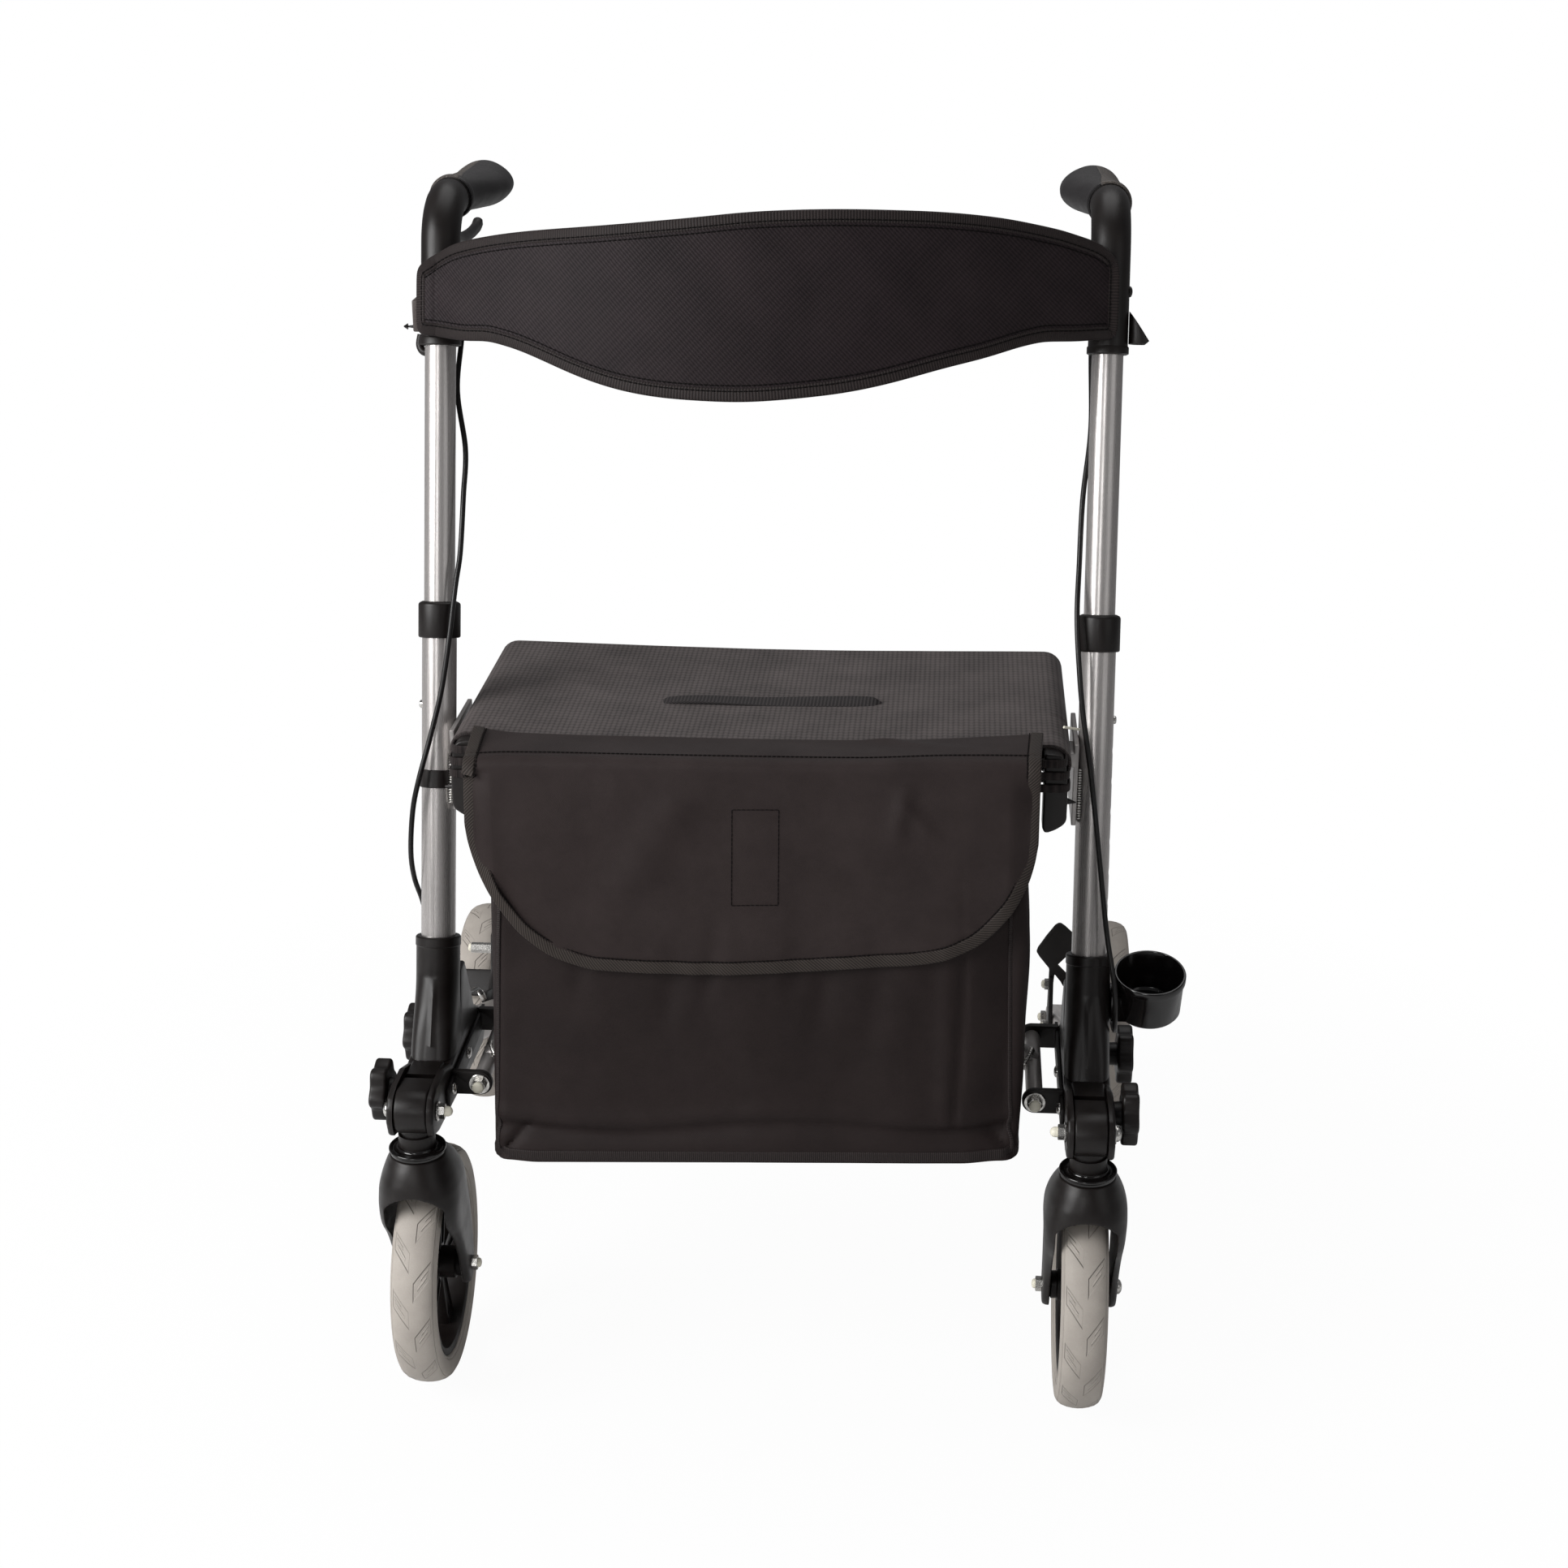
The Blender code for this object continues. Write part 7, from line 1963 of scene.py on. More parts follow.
@dataclass
class Cables:
    """Brake cables from the lugs to the brake arms, along the tubes."""

    works: Works
    radius: float = 0.0022
    left: tuple[tuple[float, float, float], ...] = (
        (-0.001, 0.03, 0.9175), (-0.0013, 0.0302, 0.912), (-0.008, 0.027, 0.885), (-0.0135, 0.023, 0.85),
        (-0.0105, 0.0185, 0.802), (-0.0195, 0.008, 0.757), (-0.0195, 0.0, 0.7225), (-0.019, -0.01, 0.68),
        (-0.0165, -0.0175, 0.655), (-0.012, -0.0222, 0.612), (-0.006, -0.0222, 0.573),
        (0.0035, -0.0215, 0.5345), (0.0125, -0.0215, 0.502), (0.0185, -0.017, 0.475),
        (0.0215, -0.01, 0.4395), (0.0205, 0.0, 0.414),
        (0.0165, 0.011, 0.393), (0.013, 0.025, 0.366), (0.011, 0.062, 0.315), (0.013, 0.135, 0.266),
        (0.0155, 0.215, 0.228), (0.016, 0.27, 0.208), (0.0158, 0.3001, 0.1864))
    right: tuple[tuple[float, float, float], ...] = (
        (-0.001, 0.03, 0.9175), (-0.0013, 0.0302, 0.912), (-0.007, 0.027, 0.885), (-0.012, 0.022, 0.845),
        (-0.0107, 0.016, 0.78), (-0.016, 0.006, 0.727), (-0.0178, -0.005, 0.677), (-0.0188, -0.017, 0.64),
        (-0.0159, -0.0222, 0.6), (-0.0118, -0.0225, 0.5655), (-0.0035, -0.0215, 0.515),
        (0.0051, -0.0215, 0.451), (0.0128, -0.0215, 0.3935), (0.0208, -0.025, 0.349),
        (0.0222, -0.014, 0.318), (0.0236, 0.011, 0.302),
        (0.0238, 0.048, 0.293), (0.0225, 0.096, 0.285), (0.0195, 0.162, 0.256), (0.0172, 0.225, 0.226),
        (0.0162, 0.27, 0.207), (0.0158, 0.3001, 0.1864))

    def build(self) -> None:
        """Build both cables with their end ferrules."""
        bench = self.works.bench
        for side, route in (("left", self.left), ("right", self.right)):
            points = [on_tube(z, u=u) + Vector((0.0, back, 0.0)) for u, back, z in route]
            run = smooth_route(points, 170)
            cable = bench.bar(run, self.radius, 4)
            self.works.on_side(cable, side, "cable_dress", SHEATH, None, ["brake_cable"], 60.0)
            ends = bench.join(
                bench.rod(run[0], run[3], self.radius + 0.0007, 24),
                bench.rod(run[-1], run[-4], self.radius + 0.0007, 24))
            self.works.on_side(bench.bevel(ends, 0.0003, 2), side, "cable_ferrules", ZINC, None)
            away = Vector((TRACK if side == "right" else -TRACK, 0.0, 0.0)) - ORIGIN
            for piece in (cable, ends):
                on_tube(0.47) + away
                on_tube(0.835) + away
                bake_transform(piece)
        log.info("cables: 2 sheaths with ferrules")


# Cloth

def crumple(x: float, z: float, seed: float, scale: float, stretch: tuple[float, float]) -> float:
    """Soft folds from -1 to 1 that run along the stretched direction."""
    at = Vector((x * scale * stretch[0] + seed, z * scale * stretch[1] - seed, seed * 1.7))
    ridge = 1.0 - 2.0 * abs(noise.noise(at))
    return 0.6 * ridge + 0.4 * noise.noise(at * 2.3 + Vector((3.1, 0.0, 7.0))) - 0.35


def valley(value: float, centre: float, width: float) -> float:
    """Bell of height 1 about a centre."""
    return math.exp(-((value - centre) / width) ** 2)


@dataclass
class Tailor:
    """Tapes shared by the cloth pieces."""

    works: Works

    def tape(
            self, points: Sequence[Point], faces: Sequence[Point], half_width: float, half_thick: float,
            closed: bool = False) -> bpy.types.Object:
        """Flat tape that follows a line on a surface.

        Args:
            points: Middle of the tape.
            faces: Surface direction at each point.
            half_width: Half its width, in the surface.
            half_thick: Half its thickness, along the surface direction.
            closed: Whether it runs round in a loop.

        Returns:
            The tape, with coordinates round and along it in metres.
        """
        count = len(points)
        spots = [Vector(p) for p in points]
        tops = [Vector(n).normalized() for n in faces]
        steps = count if closed else count - 1
        around = 16
        ring = rounded(half_width, half_thick, half_thick * 0.9, 4)
        length = sum((b - a).length for a, b in zip(spots, spots[1:]))

        def place(share: float, up: float) -> Vector:
            index = round(up * steps)
            here = index % count
            near = (index - 1) % count if closed else max(index - 1, 0)
            far = (index + 1) % count if closed else min(index + 1, count - 1)
            way = (spots[far] - spots[near]).normalized()
            side = way.cross(tops[here]).normalized()
            rise = side.cross(way)
            a, b = ring[round(share * around) % around]
            return spots[here] + side * a + rise * b

        run = [0.0]
        for (a, b), (c, d) in zip(ring, [*ring[1:], ring[0]]):
            run.append(run[-1] + math.hypot(c - a, d - b))
        return self.works.bench.wrapped(
            around, steps, place, capped=not closed, lay=lambda a, b: (run[round(a * around)], b * length))


@dataclass
class Backrest:
    """Woven band between the handles, bound at its edges and wrapped round the housings."""

    works: Works
    hardware: Hardware
    tailor: Tailor
    gap: float = 0.0208
    bow: float = 0.084
    thick: float = 0.0032
    wraps: tuple[float, float] = (math.radians(54.0), math.radians(17.0))
    top: tuple[tuple[float, float], ...] = (
        (-0.286, 0.904), (-0.252, 0.924), (-0.2, 0.937), (-0.125, 0.947), (-0.057, 0.955), (0.0, 0.961),
        (0.051, 0.9625), (0.121, 0.96), (0.175, 0.954), (0.225, 0.942), (0.2437, 0.9354), (0.2562, 0.9303),
        (0.2639, 0.9258), (0.2697, 0.9205), (0.2734, 0.9145), (0.278, 0.907))
    bottom: tuple[tuple[float, float], ...] = (
        (-0.286, 0.852), (-0.249, 0.851), (-0.222, 0.853), (-0.191, 0.848), (-0.157, 0.837), (-0.116, 0.8265),
        (-0.075, 0.822), (-0.023, 0.821), (0.0235, 0.824), (0.062, 0.828), (0.101, 0.835), (0.139, 0.844),
        (0.178, 0.851), (0.213, 0.859), (0.249, 0.8568), (0.266, 0.8562), (0.28, 0.8535))
    edge: float = 0.0047
    corner: float = 0.009

    @property
    def ends(self) -> tuple[float, float]:
        """Places of the band's two ends along it, from its middle."""
        return -TRACK - self.gap * self.wraps[0], TRACK + self.gap * self.wraps[1]

    def edges(self, x: float) -> tuple[float, float]:
        """Heights of the lower and upper edge at x, with smooth curves."""
        reach = 0.001 + 0.015 * ease((0.235 - abs(x)) / 0.03)
        shifts = [reach * step for step in (-1.0, -0.5, 0.0, 0.5, 1.0)]
        low = sum(along(self.bottom, x + shift)[0] for shift in shifts) / 5.0
        high = sum(along(self.top, x + shift)[0] for shift in shifts) / 5.0
        return low, high

    def limits(self, h: float) -> tuple[float, float]:
        """Heights of the lower and upper edge at a place along the band, its corners rounded."""
        span = abs(h)
        if span > TRACK:
            span = TRACK + self.gap * math.sin((span - TRACK) / self.gap)
        low, high = self.edges(math.copysign(span, h))
        near = max(0.0, min(h - self.ends[0], self.ends[1] - h))
        cut = self.corner * (1.0 - math.sqrt(max(0.0, 1.0 - max(0.0, 1.0 - near / self.corner) ** 2)))
        return low + cut, high - cut

    def point(self, h: float, v: float, sink: float = 0.0) -> Vector:
        """Point on the band's front face.

        Args:
            h: Place along the band from its middle, in metres.
            v: Share of the height.
            sink: Depth behind the front face.

        Returns:
            The point.
        """
        sign = 1.0 if h >= 0.0 else -1.0
        span = abs(h)
        if span <= TRACK:
            x = span
            share = x / TRACK
            back = -self.gap / math.cos(LEAN) - self.bow * (1.0 - share ** 2)
            x, back = x, back + sink
        else:
            turn = math.pi / 2.0 - (span - TRACK) / self.gap
            gap = self.gap - sink
            x = TRACK + gap * math.cos(turn)
            back = -gap * math.sin(turn) / math.cos(LEAN)
        x *= sign
        z = lerp(*self.limits(h), v)
        middle = ease((TRACK - span) / 0.12)
        back -= 0.0022 * math.sin(math.pi * v) * middle
        back += 0.0009 * crumple(x, z, 2.0, 9.0, (1.0, 0.35)) * (0.35 + 0.65 * middle)
        tight = ease((span - 0.2) / 0.07) * ease((TRACK - span + 0.004) / 0.02)
        back += 0.0007 * math.sin(z * 210.0 + x * 60.0) * tight
        return Vector((x, on_tube(z).y + back, z))

    def face(self, h: float, v: float) -> Vector:
        """Direction out of the front face."""
        step = 0.002
        low_h, high_h = self.ends
        across = self.point(min(h + step, high_h), v) - self.point(max(h - step, low_h), v)
        rise = self.point(h, min(v + 0.03, 1.0)) - self.point(h, max(v - 0.03, 0.0))
        return across.cross(rise).normalized()

    def border(self, inset: float) -> tuple[list[Vector], list[Vector]]:
        """Closed line inside the band's edges, and the surface directions along it."""
        low_h, high_h = self.ends[0] + inset, self.ends[1] - inset
        places = [lerp(low_h, high_h, self.crowd(i / 220)) for i in range(221)]
        floor = [Vector((h, self.limits(h)[0] + inset)) for h in places]
        crest = [Vector((h, self.limits(h)[1] - inset)) for h in places]
        line = floor[:]
        line += [floor[-1].lerp(crest[-1], i / 12) for i in range(1, 12)]
        line += crest[::-1]
        line += [crest[0].lerp(floor[0], i / 12) for i in range(1, 12)]
        for _ in range(5):
            line = [
                (line[i - 1] + line[i] * 2.0 + line[(i + 1) % len(line)]) * 0.25
                for i in range(len(line))]
        points, faces = [], []
        for h, z in line:
            low, high = self.limits(h)
            v = (z - low) / (high - low)
            points.append(self.point(h, v))
            faces.append(self.face(h, v))
        return points, faces

    def crowd(self, share: float) -> float:
        """Share of the length with its steps closer together near both ends."""
        return share - 0.7 * math.sin(math.tau * share) / math.tau

    def row(self, inset: float, upper: bool) -> list[Vector]:
        """Stitch line along the upper or lower edge at a distance inside it."""
        points = []
        for i in range(221):
            h = lerp(self.ends[0] + inset * 0.8, self.ends[1] - inset * 0.8, i / 220)
            low, high = self.limits(h)
            v = (high - inset - low if upper else inset) / (high - low)
            points.append(self.point(h, v) + self.face(h, v) * 0.0002)
        return points

    def build(self) -> None:
        """Build the band with its binding and stitch rows."""
        bench, works = self.works.bench, self.works
        low_h, high_h = self.ends
        length = high_h - low_h
        band = bench.sheet(
            180, 22, lambda a, b: self.point(lerp(low_h, high_h, self.crowd(a)), b),
            lay=lambda a, b: (self.crowd(a) * length, self.point(lerp(low_h, high_h, self.crowd(a)), b).z))
        bench.thicken(band, self.thick, FRONT)
        works.place(band, "backrest_band", TWILL, "left_handle", ["backrest"], 60.0)
        points, faces = self.border(self.edge)
        middle = [p - n * (self.thick * 0.5) for p, n in zip(points, faces)]
        binding = self.tailor.tape(middle, faces, self.edge + 0.0008, self.thick * 0.5 + 0.0007, closed=True)
        works.place(binding, "backrest_edge", EDGE, "left_handle", angle=60.0)
        points, faces = self.border(self.edge * 1.55)
        seam = [p + n * 0.0009 for p, n in zip(points, faces)]
        inner = self.edge * 2.0 + 0.0022
        thread = bench.join(*(
            self.hardware.stitches(line, 0.0042, 0.0006, 0.9)
            for line in ([*seam, seam[0]], self.row(inner, False), self.row(inner, True))))
        works.place(thread, "backrest_stitches", THREAD_BLACK, "left_handle", angle=60.0)
        for piece in (band, binding, thread):
            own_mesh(piece)
        self.cut()
        log.info("backrest: band, binding and two stitch rows")

    def cut(self) -> float:
        """Area of the flat cut in square metres."""
        steps = 60
        area = 0.0
        for i in range(steps):
            h = lerp(*self.ends, (i + 0.5) / steps)
            arc_share = (self.point(h + 0.002, 0.5) - self.point(h - 0.002, 0.5)).length / 0.004
            low, high = self.limits(h)
            area += (high - low) / math.cos(LEAN) * arc_share * (self.ends[1] - self.ends[0]) / steps
        return area


@dataclass
class Seat:
    """Mesh sling over the seat rails, with its bound edges, stitched lines, eyelets and pull strap."""

    works: Works
    hardware: Hardware
    tailor: Tailor
    outer: float = 0.0143
    thick: float = 0.0018
    front_y: float = 0.0995
    back_y: float = 0.3395
    sag: float = 0.0042
    wrap: float = math.radians(80.0)
    cradle_wrap: float = math.radians(8.0)
    strap_x: tuple[float, float] = (-0.0897, 0.0951)
    strap_y: float = 0.1965
    strap_half: float = 0.006

    def point(self, h: float, y: float, sink: float = 0.0) -> Vector:
        """Point on the sling's upper face, h metres from its middle along the cloth."""
        sign = 1.0 if h >= 0.0 else -1.0
        span = abs(h)
        rail_x, rail_z = SEAT_RAIL
        radius = self.outer - sink
        if span <= rail_x:
            share = span / rail_x
            slack = self.sag * (1.0 - share ** 2) ** 1.4
            ends = 0.75 + 0.25 * math.sin(math.pi * (y - self.front_y) / (self.back_y - self.front_y))
            ripple = 0.0005 * crumple(sign * span, y, 5.0, 7.0, (1.0, 0.6)) * (1.0 - share ** 6)
            return Vector((sign * span, y, rail_z + radius - slack * ends + ripple))
        turn = math.pi / 2.0 - (span - rail_x) / self.outer
        return Vector((sign * (rail_x + radius * math.cos(turn)), y, rail_z + radius * math.sin(turn)))

    def half_at(self, y: float) -> float:
        """Half the cloth's width at y, shorter where the cradle holds the rail."""
        clear = ease((abs(y - 0.15) - 0.019) / 0.008)
        return SEAT_RAIL[0] + self.outer * (math.pi / 2.0 + lerp(self.cradle_wrap, self.wrap, clear))

    def sling(self) -> bpy.types.Object:
        """Mesh cloth with round back corners."""
        bench = self.works.bench

        def place(a: float, b: float) -> Vector:
            y = lerp(self.front_y, self.back_y, b)
            return self.point((2.0 * a - 1.0) * self.half_at(y), y)

        def lay(a: float, b: float) -> tuple[float, float]:
            y = lerp(self.front_y, self.back_y, b)
            return ((2.0 * a - 1.0) * self.half_at(y), y)

        cloth = bench.sheet(170, 84, place, lay=lay)
        return bench.thicken(cloth, self.thick, UP)

    def hem(self, y: float) -> bpy.types.Object:
        """Bound edge across the sling."""
        half = self.half_at(y)
        spots, tops = [], []
        for i in range(141):
            h = lerp(-half, half, i / 140)
            spots.append(self.point(h, y, self.thick * 0.5))
            near, far = self.point(max(h - 0.002, -half), y), self.point(min(h + 0.002, half), y)
            tops.append((far - near).cross(Vector(BACK)))
        return self.tailor.tape(spots, tops, 0.0026, self.thick * 0.5 + 0.0006)

    def lines(self) -> bpy.types.Object:
        """Stitched lines from the eyelets to the rails."""
        routes = (
            ((-0.093, 0.187), (-0.1282, 0.206), (-0.1717, 0.2204), (-0.2225, 0.233)),
            ((-0.093, 0.199), (-0.13, 0.214), (-0.175, 0.227), (-0.2225, 0.2385)),
            ((0.0985, 0.193), (0.1378, 0.2146), (0.1854, 0.2348), (0.23, 0.25)),
            ((0.0985, 0.204), (0.139, 0.2225), (0.186, 0.2415), (0.23, 0.256)))
        rows = []
        for route in routes:
            flat = smooth_route([(x, y, 0.0) for x, y in route], 30)
            rows.append(self.hardware.stitches(
                [self.point(p.x, p.y) + Vector((0.0, 0.0, 0.0002)) for p in flat], 0.0046, 0.0004, 0.7))
        return self.works.bench.join(*rows)

    def strap(self) -> bpy.types.Object:
        """Webbing pull strap, bowed up and half twisted, its ends through the eyelets."""
        low, high = self.strap_x
        steps, around = 96, 20
        ring = rounded(self.strap_half, 0.0009, 0.0008, 5)

        def place(share: float, up: float) -> Vector:
            x = lerp(low, high, up)
            index = 2.0 * up - 1.0
            rise = 0.0028 * (1.0 - index ** 4) + 0.0006 * math.sin(up * 9.0)
            dive = 0.0022 * ease((abs(index) - 0.93) / 0.07)
            base = self.point(x, self.strap_y).z + 0.0014 + rise - dive
            turn = math.radians(lerp(14.0, 30.0, ease((up - 0.3) / 0.45)))
            narrow = 1.0 - 0.25 * ease((abs(index) - 0.9) / 0.1)
            a, b = ring[round(share * around) % around]
            fold = 0.0011 * valley(a, self.strap_half * (2.0 * up - 1.0), 0.0016)
            return Vector((
                x, self.strap_y - 0.004 + 0.004 * up + a * narrow * math.cos(turn) - b * math.sin(turn),
                base + a * narrow * math.sin(turn) + b * math.cos(turn) + (fold if b > 0.0 else 0.0)))

        return self.works.bench.wrapped(around, steps, place, (0.028, high - low))

    def eyelets(self) -> bpy.types.Object:
        """Metal eyelet rings at the strap's ends."""
        rings = []
        for x, y in ((self.strap_x[0] - 0.0015, 0.1935), (self.strap_x[1] + 0.0015, 0.1955)):
            place = self.point(x, y)
            rings.append(self.works.bench.turned(
                [(0.003, 0.0), (0.0036, 0.0007), (0.0046, 0.0008), (0.0054, 0.0001), (0.0054, -0.0006),
                 (0.003, -0.0022)],
                place, UP, 32))
        return self.works.bench.join(*rings)

    def build(self) -> None:
        """Build the sling and what is sewn to it."""
        works = self.works
        sling = works.place(self.sling(), "seat_cloth", MESH, None, ["seat_sling"], 60.0)
        front = works.place(self.hem(self.front_y + 0.0012), "seat_front_hem", EDGE, None, angle=60.0)
        back = works.place(self.hem(self.back_y - 0.0012), "seat_back_hem", EDGE, None, angle=60.0)
        lines = works.place(self.lines(), "seat_stitches", THREAD_GREY, None, angle=60.0)
        strap = works.place(self.strap(), "pull_strap", STRAP, None, ["seat_pull_strap"], 60.0)
        eyelets = works.place(self.eyelets(), "seat_eyelets", ZINC, None, angle=50.0)
        for piece in (sling, front, back, lines, strap, eyelets):
            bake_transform(piece)
        width = 2.0 * self.half_at(0.25)
        log.info("seat: sling, hems, stitched lines, strap and eyelets")


@dataclass
class Bag:
    """Nylon bag under the seat: sagging body with gussets, bound seams, and the hooks that carry it."""

    works: Works
    tailor: Tailor
    left: tuple[float, float] = (-0.2085, -0.21)
    right: tuple[float, float] = (0.215, 0.2155)
    bottom_z: float = 0.2348
    top_z: float = 0.5545
    front_y: tuple[float, float] = (-0.0065, 0.036)
    back_y: tuple[float, float] = (0.078, 0.0925)
    corner: float = 0.013
    thick: float = 0.0012
    tilt: float = 0.0077
    seam_steps: int = 259
    folds: tuple[tuple[float, float, float, float, float], ...] = (
        (-0.062, 0.01, 0.33, 0.41, 0.0026), (-0.034, 0.007, 0.35, 0.42, 0.002),
        (0.034, 0.008, 0.36, 0.41, 0.0022), (0.058, 0.01, 0.33, 0.42, 0.002),
        (-0.136, 0.009, 0.34, 0.4, 0.0015), (0.1, 0.012, 0.3, 0.4, 0.0014))

    def drop(self, z: float) -> float:
        """Share of the way down from the rim at a height."""
        return min(max((self.top_z - z) / (self.top_z - self.bottom_z), 0.0), 1.0)

    def bulge(self, x: float, z: float) -> float:
        """How far the front panel stands out at a place: its bulge, folds, darts and gusset line."""
        drop = self.drop(z)
        body = math.sin(math.pi * drop) ** 0.7 if 0.0 < drop < 1.0 else 0.0
        push = 0.0065 * body * max(0.0, 1.0 - (abs(x) / 0.212) ** 4)
        lower = ease((0.5 - z) / 0.04)
        push -= 0.009 * ease((x - 0.168) / 0.044) * lower * ease((z - 0.245) / 0.03)
        crease = valley(x, 0.1655 + 0.003 * math.sin(z * 20.0), 0.0028)
        push -= 0.002 * crease * lower * ease((z - 0.262) / 0.01)
        push += 0.0022 * valley(x, 0.156, 0.0075) * ease((0.46 - z) / 0.05) * ease((z - 0.26) / 0.04)
        hem_fold = 0.262 + self.tilt * (x / 0.21) + 0.004 * math.sin(x * 23.0 + 1.0)
        push -= 0.0046 * valley(z, hem_fold, 0.005) * (0.4 + 0.6 * ease((abs(x) - 0.09) / 0.1))
        push += 0.0022 * valley(z, hem_fold + 0.011, 0.007)
        push += 0.0042 * ease((hem_fold - z) / 0.018) * ease((0.2 - abs(x)) / 0.03)
        push -= 0.0052 * valley(x + 0.2025 - (z - 0.233), 0.0, 0.004) * ease((-0.17 - x) / 0.02)
        push -= 0.0044 * valley((0.2105 - x) * 0.9 - (z - 0.248), 0.0, 0.0038) * ease((x - 0.182) / 0.02)
        for centre, width, low, high, size in self.folds:
            reach = ease((z - low) / 0.05) * ease((high + 0.03 - z) / 0.04)
            push -= size * valley(x, centre + (z - 0.38) * 0.14, width) * reach
        soft = 0.0034 * crumple(x, z, 11.0, 7.5, (1.0, 0.42)) + 0.0014 * crumple(x, z, 4.0, 19.0, (1.0, 0.6))
        return push + soft * body

    def front_at(self, x: float, z: float) -> float:
        """Place of the front panel at a height."""
        return lerp(self.front_y[1], self.front_y[0], self.drop(z)) - self.bulge(x, z)

    def around(self, share: float, drop: float) -> tuple[Vector, Vector]:
        """Point and outward direction on the bag's plain outline.

        Args:
            share: Place round the bag from 0 to 1, from the middle of its back.
            drop: Share of the way down from the rim.

        Returns:
            The point, at height 0, and the direction.
        """
        low, high = lerp(self.left[1], self.left[0], drop), lerp(self.right[1], self.right[0], drop)
        front, back = lerp(self.front_y[1], self.front_y[0], drop), lerp(self.back_y[1], self.back_y[0], drop)
        half_x, half_y = (high - low) / 2.0, (back - front) / 2.0
        wide, deep = 2.0 * (half_x - self.corner), 2.0 * (half_y - self.corner)
        bend = self.corner * math.pi / 2.0
        run = (share * (2.0 * (wide + deep) + 4.0 * bend) + wide / 2.0) % (2.0 * (wide + deep) + 4.0 * bend)
        at, way, face = Vector((-wide / 2.0, half_y)), Vector((1.0, 0.0)), Vector((0.0, 1.0))
        out = face
        for length in (wide, deep, wide, deep):
            if run <= length:
                at, out = at + way * run, face
                break
            run -= length
            at = at + way * length
            if run <= bend:
                turn = run / self.corner
                out = face * math.cos(turn) + way * math.sin(turn)
                at = at + (out - face) * self.corner
                break
            run -= bend
            at = at + (way - face) * self.corner
            way, face = -face, way
        middle = Vector(((high + low) / 2.0, (back + front) / 2.0))
        return Vector((middle.x + at.x, middle.y + at.y, 0.0)), Vector((out.x, out.y, 0.0))

    def skin(self, share: float, drop: float) -> Vector:
        """Point on the bag's outside as it hangs."""
        at, out = self.around(share, drop)
        at.z = lerp(self.top_z, self.bottom_z, drop) + self.tilt * (at.x / 0.21) * ease(drop * 1.6)
        body = math.sin(math.pi * min(drop, 1.0)) if drop < 1.0 else 0.0
        if out.y < 0.0:
            push = self.bulge(at.x, at.z) * out.y ** 2
        else:
            push = (0.003 + 0.0018 * crumple(at.x, at.z, 8.0, 8.0, (1.0, 0.5))) * body * out.y ** 2
        gather = math.sin(math.pi * min(max((at.y + 0.01) / 0.1, 0.0), 1.0))
        push -= 0.0014 * gather * body ** 0.6 * out.x ** 2
        if out.x > 0.0:
            push += (0.0058 * valley(at.z, 0.405, 0.062) + 0.0028 * valley(at.z, 0.31, 0.045)) * out.x ** 2
        return at + out * push

    def body(self) -> bpy.types.Object:
        """Side walls and bottom in one skin, the bottom's two halves meeting at its middle."""
        down, under = 96, 7
        rows = down + under

        def place(share: float, up: float) -> Vector:
            index = up * rows
            if index <= down:
                return self.skin(share, index / down)
            inward = (index - down) / under
            rim = self.skin(share, 1.0)
            plain = self.around(share, 1.0)[0]
            edge = rim.lerp(Vector((plain.x, plain.y, rim.z)), inward)
            middle = lerp(self.front_y[0], self.back_y[0], 0.5)
            dip = 0.002 * math.sin(math.pi * inward * 0.5)
            return Vector((edge.x, lerp(edge.y, middle, inward), edge.z - dip))

        def lay(share: float, up: float) -> tuple[float, float]:
            return share * 1.04, up * 0.36

        return self.works.bench.wrapped(264, rows, place, capped=False, lay=lay)

    def seam(self, drop: float) -> tuple[list[Vector], list[Vector]]:
        """Line round the bag at a drop, in the middle of its cloth, and the directions outward along it."""
        shares = [i / self.seam_steps for i in range(self.seam_steps)]
        faces = [self.around(share, drop)[1] for share in shares]
        return [self.skin(share, drop) - out * (self.thick * 0.5) for share, out in zip(shares, faces)], faces

    def build(self) -> None:
        """Build the body with its bindings, and the hooks at its upper corners."""
        bench, works = self.works.bench, self.works
        body = self.body()
        bench.modify(body, "SOLIDIFY", thickness=self.thick, offset=-1.0)
        works.place(body, "bag_body", NYLON, "left_side", ["bag"], 60.0)
        foot = works.place(
            self.tailor.tape(*self.seam(0.983), 0.0044, 0.0013, closed=True), "bag_foot_binding", EDGE,
            "left_side", angle=60.0)
        rim = works.place(
            self.tailor.tape(*self.seam(0.012), 0.0042, 0.0012, closed=True), "bag_rim_binding", EDGE,
            "left_side", angle=60.0)
        lines = []
        for corner_share in self.corner_shares():
            line = [self.skin(corner_share, lerp(0.03, 0.975, i / 60)) for i in range(61)]
            out = self.around(corner_share, 0.5)[1]
            lines.append(self.tailor.tape([p + out * 0.0004 for p in line], [out] * 61, 0.0016, 0.0009))
        piping = works.place(bench.join(*lines), "bag_side_piping", EDGE, "left_side", angle=60.0)
        for piece in (body, foot, rim, piping):
            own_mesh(piece)
        self.hooks()

    def corner_shares(self) -> tuple[float, float]:
        """Places round the bag of its two front corner seams."""
        wide = self.right[0] - self.left[0] - 2.0 * self.corner
        deep = self.back_y[0] - self.front_y[0] - 2.0 * self.corner
        bend = self.corner * math.pi / 2.0
        total = 2.0 * (wide + deep) + 4.0 * bend
        right = (wide / 2.0 + bend + deep + bend * 0.5) / total
        return right, 1.0 - right

